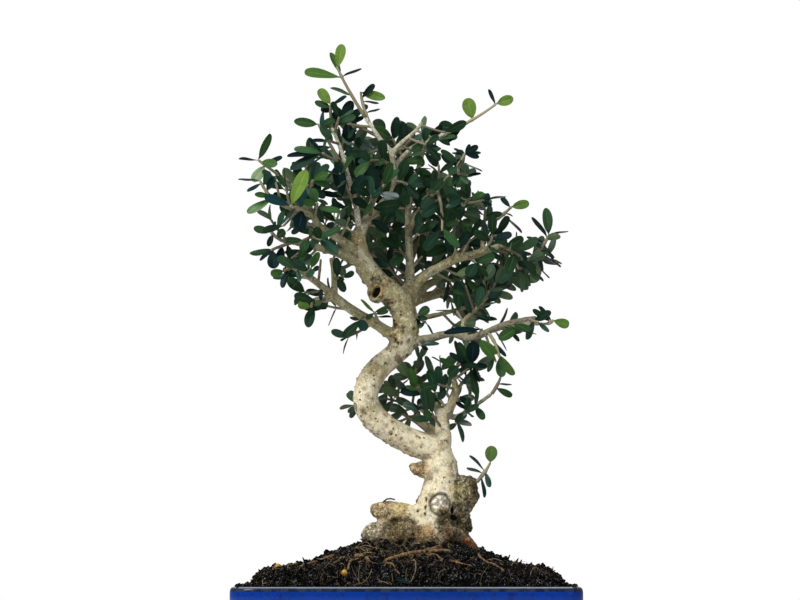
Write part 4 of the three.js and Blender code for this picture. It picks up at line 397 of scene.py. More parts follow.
# Dark pits and flakes on the front of the trunk: place across and up, reach and strength.
STAINS = [
    (-8.0, 232.0, 1.2, 1.0), (-7.1, 229.4, 1.3, 1.0), (-7.1, 222.7, 1.2, 0.9), (-6.9, 219.1, 1.1, 1.0),
    (-5.0, 217.3, 1.3, 1.0), (-2.9, 217.3, 1.2, 0.8), (-10.2, 222.4, 1.0, 0.9), (-6.5, 220.5, 1.0, 0.8),
    (-1.4, 227.2, 1.0, 0.8), (-1.8, 224.6, 0.9, 0.7), (1.9, 219.1, 1.0, 0.8), (5.2, 226.5, 1.3, 0.8),
    (-5.0, 207.4, 2.2, 0.6), (-4.4, 205.8, 1.9, 0.6), (-11.3, 208.5, 1.0, 0.4), (1.2, 209.6, 1.1, 0.7),
    (-8.7, 242.6, 0.9, 0.9), (-6.5, 243.3, 0.8, 0.7), (-10.5, 238.9, 1.1, 0.8), (-14.6, 237.6, 1.6, 0.5),
    (12.5, 145.3, 2.6, 0.4),
]

# Rough bark on the front of the trunk where limbs were taken off: place across and up, reach and
# how rough.
ROUGH_FRONTS = [
    (-6.5, 224, 8.5, 0.4), (-9.5, 217, 6.5, 0.4), (-13.5, 238.5, 6.5, 0.42), (-18, 256, 6, 0.42),
    (-26, 249, 5, 0.35), (25, 103.5, 8, 0.8), (31, 112, 4.5, 0.7),
]

# Where the bark has a colour of its own, and where a few spots paint light and shade: centre, reach and
# colour.
BARK_SPOTS = [
    ((-17, -7, 112), 8.5, 0xeccfa0), ((-6, -8, 113), 8.5, 0xc0ac7c), ((-9, -10, 100.5), 8, 0x8c7c52),
    ((-21, -8, 99.5), 8.5, 0xf0e6c4), ((-14, -12, 92), 6, 0xb49c80), ((-2, -13, 92), 8, 0x86704a),
    ((11, -15, 95), 9, 0xa68a62), ((1, -12, 103), 6, 0xb8a884), ((33.5, -9, 123), 7, 0xd8cc96),
    # The dark brown spot at (37, -8, 102) is brown bark, partly painted shade on the right of the foot.
    ((43, -3, 121), 8.5, 0xa8957a), ((37, -8, 102), 9, 0x544b34), ((27.5, -18, 96), 6.5, 0x927252),
    # The dark brown spot at (26, -15, 104) is brown bark, partly painted shade on the right of the foot.
    ((40, -14, 90), 7, 0xa8623a), ((26, -15, 104), 7.5, 0x665234), ((6, -10, 137), 9, 0xdabc8c),
    ((-18.5, -11, 249.5), 5.5, 0xc4a878), ((-7.5, -8, 222), 7.0, 0xf2dca6),
    ((-13, -9, 239), 4.5, 0xd0b484),
    ((-27, -8, 91.5), 6, 0x3c3a2e), ((-20, -12, 87), 6, 0x4a3c28),
    ((16, 20, 116), 10, 0x9c8458), ((28, 22, 97), 11, 0x7e6a4c),
    # The callus's pale wood, with a painted highlight at its upper left and painted shade at its lower
    # right.
    ((19.5, -15, 117.5), 5.4, 0xf8eedc), ((24.5, -15, 111.5), 3.6, 0x947448),
]

# Limbs whose bark is bleached to a pale grey along their length, and its colour.
PALE_LIMBS = {
    "pale_shoot": 0xcbc9b8, "top_shoot": 0xc4c2b0, "crown_post": 0xafab92, "crown_fork": 0xb0ad9a,
    "upper_right": 0xaeab9a, "right_low_tip": 0x8f8c7b, "right_low": 0x727060,
    "right_leader": 0xa6a288, "left_low_drop": 0x9c9a80, "low_side_out": 0x88867a,
    "right_upper_twig": 0x7e7a68,
}

# Limbs whose fronts stay bare, so that no extra leaf hides them.
BARE_FRONT = ["trunk", "left_low", "right_low"]
BARE_LIMBS = BARE_FRONT + [
    "pale_shoot", "crown_post", "top_shoot", "crown_fork", "upper_right", "leader_right",
    "left_upper", "left_mid", "right_leader", "right_upper", "low_side", "low_side_right",
    "sprout_base", "left_low_rise",
]

# Limbs that carry extra twigs: name, first fraction, mean leaf length and, for each twig along the
# limb, which of its possible growths it takes, where 0 leaves the place empty.
TWIG_LIMBS = [
    ("left_mid", 0.35, 13.5, [10, 5, 1, 0, 2]),
    ("left_upper", 0.25, 14.0, [27, 1, 19, 10, 8]),
    ("left_upper_out", 0.1, 14.5, [26, 10, 25, 2]),
    ("left_upper_rise", 0.1, 14.5, [7, 11, 0, 18]),
    ("left_low", 0.35, 13.0, [9, 13, 12, 30]),
    ("left_low_rise", 0.2, 13.0, [0, 2, 3]),
    ("left_low_out", 0.1, 13.0, [20, 28, 17, 28, 3]),
    ("left_low_drop", 0.2, 13.0, [4, 0]),
    ("pale_shoot", 0.1, 13.5, [23, 5, 0, 10, 11, 12, 0, 6, 9, 12, 12]),
    ("leader_right", 0.2, 13.5, [27, 0, 30, 4]),
    ("crown_post", 0.1, 13.5, [1, 16, 0, 23, 0, 29]),
    ("top_shoot", 0.1, 13.5, [17, 0, 0, 30, 0]),
    ("crown_fork", 0.2, 12.5, [2, 24, 27, 19]),
    ("upper_right", 0.15, 13.5, [3, 15, 4, 30, 29, 18, 2, 10, 5, 0, 0, 8, 0]),
    ("right_leader", 0.15, 14.0, [29, 5, 23, 12, 15, 15, 13, 25, 24, 0, 19, 24, 30, 6, 1, 8]),
    ("right_upper", 0.3, 14.0, [15, 16, 12, 7, 7, 6, 0, 29]),
    ("right_upper_twig", 0.1, 13.0, [26, 19, 18, 25, 8, 14]),
    ("right_mid", 0.3, 14.0, [5, 3, 3, 19, 3, 24, 10, 26, 17]),
    ("right_back", 0.3, 14.0, [11, 30, 22, 8, 19, 27, 29, 3, 8]),
    ("right_thin", 0.4, 14.0, [22, 27, 27, 25]),
    ("right_low", 0.45, 14.0, [0, 0, 4, 22, 19, 0, 28]),
    ("right_low_rise", 0.2, 13.5, [17, 16, 20, 10, 18]),
    ("low_side", 0.5, 13.5, [26, 19]),
    ("low_side_right", 0.1, 13.5, [11, 18, 0, 17, 0]),
    ("low_side_left", 0.1, 13.5, [3, 21, 29, 15, 18, 24]),
    ("low_side_out", 0.2, 12.5, [0, 30, 12, 0, 0]),
    ("low_back", 0.2, 13.0, [29, 18, 27, 23, 23, 0]),
    ("low_back_two", 0.4, 12.5, [27, 1, 30, 9, 3, 0]),
    ("back_rise", 0.15, 14.5, [11, 5, 27, 15, 3, 4, 25, 18, 28, 26, 0, 26, 27, 15, 24, 18]),
    ("back_left", 0.2, 14.5, [20, 28, 13, 22, 26, 14, 0, 0, 0, 21, 10, 15, 22]),
    ("back_right", 0.2, 14.5, [14, 2, 3, 30, 24, 0, 0, 12, 8, 0, 12, 0]),
    ("back_top", 0.1, 14.5, [16, 6, 13, 26, 5, 5, 6, 14, 20, 0]),
    ("front_right", 0.2, 13.5, [2, 5, 23, 0, 22, 0, 0, 0]),
    ("far_right", 0.2, 14.0, [10, 28, 10, 16, 7]),
    ("out_right", 0.2, 13.5, [15, 11, 0, 0, 8, 0]),
]

# Roots that show on the soil: x, y, height over the soil, radius.
SURFACE_ROOTS = [
    [(21, -27, 0, 2.6), (13.2, -38, 0.6, 2.0), (5.3, -45, 1.2, 1.9), (-2, -50, 1.3, 1.8),
     (-8, -56, 1.0, 1.6), (-11.6, -60.5, 0.4, 1.3), (-13.3, -64, -0.8, 0.9)],
    [(12, -39, 0.6, 1.6), (19.4, -37.5, 0.9, 1.4), (26, -35.5, 0.4, 1.2), (31, -33, -1, 0.8)],
    [(-31, -38, -1, 1.6), (-28, -47, 0.8, 1.6), (-24.5, -55, 1.3, 1.5), (-22.5, -60.5, 1.2, 1.5),
     (-22.6, -64.5, -0.6, 1.1)],
    [(-27, -50, 0, 0.8), (-31.5, -58, 1.4, 0.9), (-33.4, -62.5, 1.6, 0.8), (-34.8, -65.5, 0, 0.7)],
    [(44.2, -29, 0, 1.0), (45.2, -44, 1.0, 0.8), (48.8, -56, 0.9, 0.7), (54, -62, 0.5, 0.6),
     (58, -65, 0, 0.5)],
    [(12, -44, 0, 0.7), (18, -48, 1.2, 0.7), (21.5, -57, 0.8, 0.6), (28, -61, 0.2, 0.5)],
    [(20, -59, 0.3, 0.7), (27.2, -61.8, 1.1, 0.8), (33.7, -63.5, 0.9, 0.6), (39, -63.5, 0, 0.5)],
    [(2.2, -59.5, 0.2, 0.7), (5.2, -62.5, 1.3, 0.6), (5.6, -65.5, 0.9, 0.5), (4.3, -67.5, 0, 0.4)],
    [(-15, -62.5, 0, 0.6), (-8.6, -64.5, 1.1, 0.6), (-4.0, -67, 0.2, 0.5)],
    [(-44, -30, 0, 1.2), (-53, -38, 1.0, 1.0), (-61, -47, 0.8, 0.8), (-66, -55, 0, 0.6)],
    [(-14, 34, 0, 1.8), (-20, 45, 1.0, 1.5), (-29, 54, 0.6, 1.1), (-37, 59, -0.6, 0.8)],
    [(50, 26, 0, 1.8), (58, 36, 0.9, 1.4), (65, 46, 0.5, 1.0), (71, 52, -0.5, 0.7)],
]

# ---------------------------------------------------------------- small helpers


def unit(way):
    """A way at length 1."""
    return way / math.sqrt(way @ way)


def linear(code, alpha=1.0):
    """A colour of the web's kind as the linear colour that a shader takes."""
    channels = [(code >> shift & 255) / 255 for shift in (16, 8, 0)]
    return tuple(c / 12.92 if c <= 0.04045 else ((c + 0.055) / 1.055) ** 2.4 for c in channels) + (alpha,)


def smooth_step(low, high, value):
    """0 below low, 1 above high, and smooth between them."""
    part = np.clip((value - low) / (high - low), 0, 1)
    return part * part * (3 - 2 * part)


def wall_gap(x, y):
    """How far a place on the bed lies from the pot's wall."""
    wall_x = POT["width"] / 2 - POT["overhang"] - POT["wall"] - np.abs(x)
    wall_y = POT["depth"] / 2 - POT["overhang"] - POT["wall"] - np.abs(y)
    return np.minimum(wall_x, wall_y)


def soil_height(x, y):
    """The bed's height at a place, without its crumbs."""
    shoulder = SOIL["shoulder"]
    from_wall = np.clip(wall_gap(x, y), 0, shoulder) / shoulder
    off = x - SOIL["middle"]
    dome = 1 - (off / (POT["width"] / 2)) ** 2 - SOIL["fall"] * (y / (POT["depth"] / 2)) ** 2
    heap = np.exp(-((off / SOIL["mound_x"]) ** 4) - (y / SOIL["mound_y"]) ** 2)
    bed = SOIL["edge"] + SOIL["crown"] * dome + SOIL["mound"] * heap + SOIL["sunk"]
    return RIM - SOIL["sunk"] + bed * (1 - (1 - from_wall) ** SOIL["round"])


def soil_lumps(x, y):
    """How far the crumbs of the bed stand over or under its mean height."""
    coarse = noise.noise(Vector((x / 9, y / 9, 3.1)))
    clods = noise.fractal(Vector((x / 3.6, y / 3.6, 8.7)), 0.8, 2.1, 3)
    crumb = noise.voronoi(Vector((x / 1.9, y / 1.9, 1.3)))[0][0]
    return 2.0 * coarse + 1.6 * clods - 1.6 * crumb + 0.35


def soil_top(x, y):
    """The crumbed surface's height at a place."""
    fade = float(smooth_step(0, 5, wall_gap(x, y)))
    return float(soil_height(x, y)) + soil_lumps(x, y) * (0.25 + 0.75 * fade)


class Shell:
    """Gathers one piece's points and faces in millimetres, with the finish of each face, the
    marks of each point that its finish reads, and each point's place on its blade."""

    def __init__(self):
        self.points, self.faces, self.finishes = [], [], []
        self.marks, self.blade, self.grain = [], [], []
        self.count = 0

    def add(self, points, faces, finish=0, marks=(0, 0, 0, 1), blade=None, grain=None):
        """Adds points and the faces between them. marks is one for all points or one for each."""
        points = np.asarray(points, float)
        total = len(points)
        self.points.append(points)
        start = self.count
        self.faces.extend([tuple(start + int(i) for i in face) for face in faces])
        self.finishes.extend([finish] * len(faces))
        self.marks.append(np.broadcast_to(np.asarray(marks, float), (total, 4)))
        self.blade.append(np.zeros((total, 2)) if blade is None else blade)
        self.grain.append(points if grain is None else grain)
        self.count += total

    def mesh(self, name, smooth=True):
        """The gathered mesh, in metres."""
        mesh = bpy.data.meshes.new(name)
        mesh.from_pydata((np.concatenate(self.points) * MM).tolist(), [], self.faces)
        mesh.polygons.foreach_set("material_index", self.finishes)
        mesh.polygons.foreach_set("use_smooth", [smooth] * len(self.faces))
        put_marks(mesh, np.concatenate(self.marks), np.concatenate(self.grain))
        corners = np.empty(len(mesh.loops), int)
        mesh.loops.foreach_get("vertex_index", corners)
        layer = mesh.uv_layers.new(name="blade")
        layer.data.foreach_set("uv", np.concatenate(self.blade)[corners].ravel())
        mesh.update()
        return mesh


def put_marks(mesh, marks, grain):
    """Writes what the finishes read at each point: marks and the place along the grain."""
    layer = mesh.color_attributes.new("marks", "FLOAT_COLOR", "POINT")
    layer.data.foreach_set("color", np.ascontiguousarray(marks, dtype=float).ravel())
    layer = mesh.attributes.new("grain", "FLOAT_VECTOR", "POINT")
    layer.data.foreach_set("vector", np.ascontiguousarray(grain, dtype=float).ravel())


def show(name, mesh, finishes, slot, *nodes):
    """Puts a mesh in the scene as a piece of the plant, in the place of the nodes it stands for."""
    piece = bpy.data.objects.new(name, mesh)
    bpy.context.scene.collection.objects.link(piece)
    for finish in finishes:
        mesh.materials.append(finish)
    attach(piece, "root")
    if nodes:
        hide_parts(*nodes)
    return piece


def tube(points, radii, sides, pointed=False):
    """A closed tube through points: its points, its faces and their places along the grain."""
    points = np.asarray(points, float)
    radii = np.asarray(radii, float)
    tangents = np.gradient(points, axis=0)
    across = np.array([0.0, 1.0, 0.01])
    turns = np.arange(sides) * 2 * math.pi / sides
    run = 0.0
    rings, grain = [], []
    for k, (point, tangent, radius) in enumerate(zip(points, tangents, radii)):
        tangent = unit(tangent)
        across = unit(across - tangent * (across @ tangent))
        over = np.cross(across, tangent)
        spokes = np.outer(np.cos(turns), across) + np.outer(np.sin(turns), over)
        if k:
            run += float(np.linalg.norm(point - points[k - 1]))
        rings.append(point + radius * spokes)
        grain.append(np.stack([radius * np.cos(turns), radius * np.sin(turns),
                               np.full(sides, run)], axis=1))
    faces = []
    for k in range(len(rings) - 1):
        for i in range(sides):
            j = (i + 1) % sides
            faces.append((k * sides + i, k * sides + j, (k + 1) * sides + j, (k + 1) * sides + i))
    last = (len(rings) - 1) * sides
    rings, grain = np.concatenate(rings), np.concatenate(grain)
    if pointed:
        tip = points[-1] + unit(tangents[-1]) * radii[-1]
        rings = np.vstack([rings, tip])
        grain = np.vstack([grain, [0, 0, run + radii[-1]]])
        faces += [(last + i, last + (i + 1) % sides, last + sides) for i in range(sides)]
    else:
        faces.append(tuple(range(last, last + sides)))
    faces.append(tuple(range(sides - 1, -1, -1)))
    return rings, faces, grain


# ---------------------------------------------------------------- limbs


def limb_point(stations, t):
    """The point at t of the smooth run through a limb's stations."""
    last = len(stations) - 1
    place = t * last
    k = min(int(place), last - 1)
    w = place - k
    a, b = stations[k], stations[k + 1]
    before = stations[k - 1] if k > 0 else 2 * stations[0] - stations[1]
    after = stations[k + 2] if k + 2 <= last else 2 * stations[last] - stations[last - 1]
    leave, enter = 0.5 * (b - before), 0.5 * (after - a)
    square = -3 * a + 3 * b - 2 * leave - enter
    cube = 2 * a - 2 * b + leave + enter
    return a + w * (leave + w * (square + w * cube))


def run_tangent(point_at, t):
    """The way a run goes at t."""
    step = 0.0001
    return unit(point_at(min(t + step, 1.0)) - point_at(max(t - step, 0.0)))


def limb_radius(name, t):
    """A limb's radius at t."""
    radii = LIMB_RADII[name]
    return float(np.interp(t * (len(radii) - 1), np.arange(len(radii)), radii))


LIMB_POINTS = {name: np.array([s[:3] for s in stations], float) for name, stations in LIMBS.items()}
LIMB_RADII = {name: np.array([s[3] for s in stations], float) for name, stations in LIMBS.items()}
UP = np.array([0.0, 0.0, 1.0])


class Bars:
    """Straight pieces of round bars, kept together to test what crosses them."""

    def __init__(self):
        self.starts, self.ends, self.radii, self.owners = [], [], [], []

    def add(self, point_at, radius_at, steps, owner=None):
        """Adds a bar in so many straight pieces."""
        for k in range(steps):
            self.starts.append(point_at(k / steps))
            self.ends.append(point_at((k + 1) / steps))
            self.radii.append(max(radius_at(k / steps), radius_at((k + 1) / steps)))
            self.owners.append(owner)
        return self

    def packed(self):
        """The starts, ends, radii and owners as arrays."""
        return np.array(self.starts), np.array(self.ends), np.array(self.radii), np.array(self.owners)


def limb_bars(names):
    """The straight pieces of some limbs, two to a stretch."""
    bars = Bars()
    for name in names:
        points = LIMB_POINTS[name]
        bars.add(functools.partial(limb_point, points), functools.partial(limb_radius, name),
                 2 * (len(points) - 1))
    return bars.packed()


# ---------------------------------------------------------------- growing twigs and leaves


def draws_from(seed):
    """Repeatable draws between 0 and 1."""
    state = seed
    while True:
        state = state * 16807 % 2147483647
        yield state / 2147483647


class Stem:
    """A green twig that thins to its tip."""

    def __init__(self, number, root, heading, tip, foot):
        self.number = number
        self.foot = foot
        self.reach = float(np.linalg.norm(tip - root))
        bend = (root + tip) / 2 + heading * (0.14 * self.reach) - UP * (0.05 * self.reach)
        self.corners = (root, bend, tip)

    def point(self, t):
        """The stem's middle at t, from its root at 0 to its tip at 1."""
        root, bend, tip = self.corners
        return (1 - t) ** 2 * root + 2 * (1 - t) * t * bend + t * t * tip

    def tangent(self, t):
        """The way the stem goes at t."""
        return run_tangent(self.point, t)

    def radius(self, t):
        """The stem's radius at t."""
        return self.foot + (STEM["tip"] - self.foot) * t


class Leaf:
    """One leaf at a stem's station: its way, the face it turns to the light, and its size."""

    def __init__(self, stem, t, way, roll, length, width):
        self.stem, self.place = stem, t
        self.base = stem.point(t)
        self.way = way
        face = light_at(self.base) + 0.45 * stem.tangent(t)
        face = unit(face - self.way * (face @ self.way))
        face = face * math.cos(roll) + np.cross(self.way, face) * math.sin(roll)
        self.face = face
        self.side = np.cross(face, self.way)
        self.length, self.width, self.youth = length, width, None
        self.middle = self.base + self.way * (0.54 * length) - face * (0.3 * LEAF_ARCH * length)
        turns = np.arange(8) * math.pi / 4
        self.rim = (self.middle + 0.48 * length * np.outer(np.cos(turns), self.way)
                    + 0.5 * width * np.outer(np.sin(turns), self.side))


def light_at(point):
    """The way a leaf turns its upper face: out of the crown, and a little up."""
    out = np.array([LIGHT["x"] * point[0], LIGHT["y"] * point[1] - LIGHT["front"], 0.0])
    return unit(out) + LIGHT["up"] * UP


def leaving(tangent, lean, turn):
    """The way that leaves a stem at a lean from its tangent and a turn round it."""
    first = np.cross(tangent, UP)
    if math.sqrt(first @ first) < 0.2:
        first = np.cross(tangent, np.array([1.0, 0.0, 0.0]))
    first = unit(first)
    second = np.cross(first, tangent)
    sideways = first * math.cos(turn) + second * math.sin(turn)
    return sideways * math.sin(lean) + tangent * math.cos(lean)


def near_blade(leaf, starts, ends, margins):
    """True where any straight piece comes within its margin of a leaf's blade."""
    a = starts - leaf.middle
    b = ends - leaf.middle
    rise_a, rise_b = a @ leaf.face, b @ leaf.face
    slope = rise_b - rise_a
    level = np.abs(slope) <= 1e-6
    safe = np.where(level, 1.0, slope)
    enter, leave = (-margins - rise_a) / safe, (margins - rise_a) / safe
    start = np.where(level, 0.0, np.maximum(0, np.minimum(enter, leave)))
    end = np.where(level, 1.0, np.minimum(1, np.maximum(enter, leave)))
    crossing = (np.minimum(rise_a, rise_b) <= margins) & (np.maximum(rise_a, rise_b) >= -margins)
    if not crossing.any():
        return False
    long_half, wide_half = 0.48 * leaf.length + margins, 0.5 * leaf.width + margins
    for t in (start, (start + end) / 2, end):
        point = a + (b - a) * t[:, None]
        off = np.hypot(point @ leaf.way / long_half, point @ leaf.side / wide_half)
        if (crossing & (off < 1)).any():
            return True
    return False


class Crown:
    """All stems and leaves that stand, and the room left between them."""

    def __init__(self):
        self.stems, self.leaves = [], []
        self.middles = np.zeros((MOST_LEAVES, 3))
        self.lengths = np.zeros(MOST_LEAVES)
        self.limbs = limb_bars(LIMBS)
        self.bars = Bars()
        self.packed = None
        self.bare_from_front(BARE_FRONT)

    def bare_from_front(self, names):
        """Sets the limbs that no leaf may hide from the front."""
        starts, ends, radii, _ = limb_bars(names)
        self.bare = ((starts + ends) / 2, radii)

    def add_stem(self, root, heading, tip, foot):
        """Stands a stem and returns it."""
        stem = Stem(len(self.stems), root, heading, tip, foot)
        self.stems.append(stem)
        self.bars.add(stem.point, stem.radius, 4, stem.number)
        self.packed = None
        return stem

    def add_leaf(self, leaf):
        """Stands a leaf."""
        count = len(self.leaves)
        self.middles[count] = leaf.middle
        self.lengths[count] = leaf.length
        self.leaves.append(leaf)

    def hides_bare(self, points, reach):
        """True if a leaf at these points would stand before a limb that stays bare."""
        middles, radii = self.bare
        before = points[0][1] <= middles[:, 1]
        for point in points:
            off = np.hypot(point[0] - middles[:, 0], point[2] - middles[:, 2])
            if (before & (off < radii + reach)).any():
                return True
        return False

    def blades_meet(self, leaf):
        """True if a leaf comes too near another's blade."""
        count = len(self.leaves)
        gap = np.linalg.norm(self.middles[:count] - leaf.middle, axis=1)
        near = np.nonzero(gap <= (self.lengths[:count] + leaf.length) / 2 + LEAF_MARGIN)[0]
        for index in near:
            other = self.leaves[index]
            for rim, blade in ((leaf.rim, other), (other.rim, leaf)):
                starts = np.vstack([rim[:1], rim])
                ends = np.vstack([rim[4:5], np.roll(rim, -1, axis=0)])
                if near_blade(blade, starts, ends, np.full(9, LEAF_MARGIN)):
                    return True
        return False

    def has_room(self, leaf):
        """True if a leaf stays over the pot and clear of bare limbs, stems, limbs and leaves."""
        if (np.abs(leaf.rim[:, :2]) >= CANOPY_HALF).any():
            return False
        if self.hides_bare((leaf.middle, leaf.rim[0]), 0.2 * leaf.length):
            return False
        if self.packed is None:
            self.packed = self.bars.packed()
        starts, ends, radii, owners = self.packed
        others = owners != leaf.stem.number
        if near_blade(leaf, starts[others], ends[others], radii[others] + 0.7):
            return False
        starts, ends, radii, _ = self.limbs
        if near_blade(leaf, starts, ends, radii + 0.8):
            return False
        return not self.blades_meet(leaf)

    def crosses_leaf(self, root, tip):
        """True if a straight twig would cross a leaf."""
        count = len(self.leaves)
        gap = np.linalg.norm(self.middles[:count] - (root + tip) / 2, axis=1)
        reach = np.linalg.norm(tip - root) / 2
        return any(near_blade(self.leaves[i], root[None], tip[None], np.array([1.0]))
                   for i in np.nonzero(gap <= reach + self.lengths[:count] / 2 + 1)[0])


def grow_stems(crown, spray, draw):
    """A spray's main stem and its side twigs."""
    _, limb, fraction, tip, _, side_twigs = spray[:6]
    point_at = functools.partial(limb_point, LIMB_POINTS[limb])
    root, heading = point_at(fraction), run_tangent(point_at, fraction)
    main = crown.add_stem(root, heading, np.array(tip, float), STEM["foot"])
    stems = [main]
    for _ in range(side_twigs):
        at = 0.42 + 0.16 * next(draw)
        lean = 0.85 + 0.25 * next(draw)
        way = leaving(main.tangent(at), lean, next(draw) * 2 * math.pi)
        reach = max(7, STEM["side_reach"] * main.reach * (0.8 + 0.4 * next(draw)))
        start = main.point(at)
        stems.append(crown.add_stem(start, way, start + way * min(reach, 15), STEM["side"]))
    return stems


def grow_leaves(crown, stem, pairs, first, leaf_length, first_turn, draw):
    """Opposite pairs, each a quarter turn on from the last, up to the pair at the stem's tip."""
    grown = []
    for pair in range(pairs):
        t = first + (0.95 - first) * pair / (pairs - 1)
        mean_lean = 0.65 if pair == pairs - 1 else 1
        station = []
        for half in (0, 1):
            length = leaf_length * (0.88 + 0.4 * next(draw))
            width = length * (0.37 + 0.1 * next(draw))
            for attempt in range(4):
                lean = mean_lean + 0.3 * (next(draw) - 0.5)
                turn = (first_turn + (pair / 2 + half) * math.pi
                        + (next(draw) - 0.5) * (0.4 + 0.6 * attempt))
                roll = (next(draw) - 0.5) * 1.1
                shorter = 1 - 0.08 * attempt
                way = leaving(stem.tangent(t), lean, turn)
                leaf = Leaf(stem, t, way, roll, length * shorter, width * shorter)
                if crown.has_room(leaf):
                    station.append(leaf)
                    break
        for leaf in station:
            crown.add_leaf(leaf)
        grown += station
    return grown


def set_leaves(crown, stem, places):
    """The listed leaves of a stem."""
    grown = []
    for t, tip, roll, width, youth in places:
        way = np.array(tip, float) - stem.point(t)
        length = math.sqrt(way @ way)
        leaf = Leaf(stem, t, way / length, math.radians(roll), length, width)
        leaf.youth = youth
        crown.add_leaf(leaf)
        grown.append(leaf)
    return grown


def grow_front_twig(crown, limb, fraction, tip, places):
    """A listed twig and its leaves."""
    root, tip = limb_point(LIMB_POINTS[limb], fraction), np.array(tip, float)
    stem = crown.add_stem(root, unit(tip - root), tip, STEM["side"])
    return stem, set_leaves(crown, stem, places)


def grow_twig(crown, limb, fraction, leaf_length, draw):
    """A short leafy twig on a limb, or None where there is no room for it."""
    point_at = functools.partial(limb_point, LIMB_POINTS[limb])
    tangent = run_tangent(point_at, fraction)
    centre, radius = point_at(fraction), limb_radius(limb, fraction)
    for _ in range(5):
        way = leaving(tangent, 0.8 + 0.5 * next(draw), next(draw) * 2 * math.pi)
        reach = 9 + 8 * next(draw)
        root = centre + way * max(0.0, radius - 1)
        tip = centre + way * (radius + reach)
        outside = (np.abs(tip[:2]) > TWIG_HALF).any()
        if outside or crown.crosses_leaf(centre + way * (radius + 1), tip):
            continue
        if crown.hides_bare((tip,), 0.5):
            continue
        stem = crown.add_stem(root, way, tip, STEM["side"])
        first_turn = next(draw) * math.pi
        leaves = grow_leaves(crown, stem, 2, 0.5, leaf_length, first_turn, draw)
        return (stem, leaves) if leaves else None
    return None


@functools.cache
def grown_crown():
    """Every spray's stems and leaves, and the extra twigs of every limb."""
    crown = Crown()
    draws = [draws_from(SPRAY_SEED * (index + 1) + GROWTH_SEED * spray[8])
             for index, spray in enumerate(SPRAYS)]
    plants = [(grow_stems(crown, spray, draw), []) for spray, draw in zip(SPRAYS, draws)]
    for spray, (stems, leaves) in zip(SPRAYS, plants):
        leaves += set_leaves(crown, stems[0], SET_LEAVES.get(spray[0], []))
    for spray, draw, (stems, leaves) in zip(SPRAYS, draws, plants):
        pairs, leaf_length = spray[4], spray[6]
        if not pairs:
            continue
        for k, stem in enumerate(stems):
            turn = next(draw) * math.pi
            plan = (pairs, 0.36) if k == 0 else (2, 0.5)
            leaves += grow_leaves(crown, stem, *plan, leaf_length, turn, draw)
    front = [grow_front_twig(crown, *twig) for twig in FRONT_TWIGS.values()]
    crown.bare_from_front(BARE_LIMBS)
    twigs = {}
    for index, (limb, first, leaf_length, growths) in enumerate(TWIG_LIMBS):
        twigs[limb] = []
        for k, growth in enumerate(growths):
            if not growth:
                continue
            fraction = first + (1 - first) * (k + 0.6) / (len(growths) + 0.2)
            draw = draws_from(GROWTH_SEED * (index + 1) + SPRAY_SEED * (k + 1) + 31 * growth)
            twig = grow_twig(crown, limb, fraction, leaf_length, draw)
            if twig:
                twigs[limb].append(twig)
    return plants, twigs, front


# ---------------------------------------------------------------- finishes


class Shade:
    """A socket of a finish. Arithmetic on it adds Math nodes."""

    def __init__(self, finish, socket):
        self.finish = finish
        self.socket = socket

    def out(self, name):
        """Another output of the same node."""
        return Shade(self.finish, named(self.socket.node.outputs, name))

    def math(self, operation, *values):
        """A Math node on the values."""
        return self.finish.node("Math", {"operation": operation}, dict(enumerate(values)))

    def __add__(self, other):
        return self.math("ADD", self, other)

    def __radd__(self, other):
        return self.math("ADD", other, self)

    def __sub__(self, other):
        return self.math("SUBTRACT", self, other)

    def __rsub__(self, other):
        return self.math("SUBTRACT", other, self)

    def __mul__(self, other):
        return self.math("MULTIPLY", self, other)

    def __rmul__(self, other):
        return self.math("MULTIPLY", other, self)

    def __truediv__(self, other):
        return self.math("DIVIDE", self, other)

    def __abs__(self):
        return self.math("ABSOLUTE", self)

    def rise(self, low, high):
        """0 below low, 1 above high, and smooth between them; falling where low is above high."""
        ranges = {1: low, 2: high, 3: 0.0, 4: 1.0}
        if low > high:
            ranges = {1: high, 2: low, 3: 1.0, 4: 0.0}
        return self.finish.node("MapRange", {"interpolation_type": "SMOOTHSTEP"}, {0: self} | ranges)


def named(sockets, key):
    """A node's socket by its place, its identifier or its name."""
    if isinstance(key, int):
        return sockets[key]
    for socket in sockets:
        if socket.identifier == key:
            return socket
    return sockets[key]


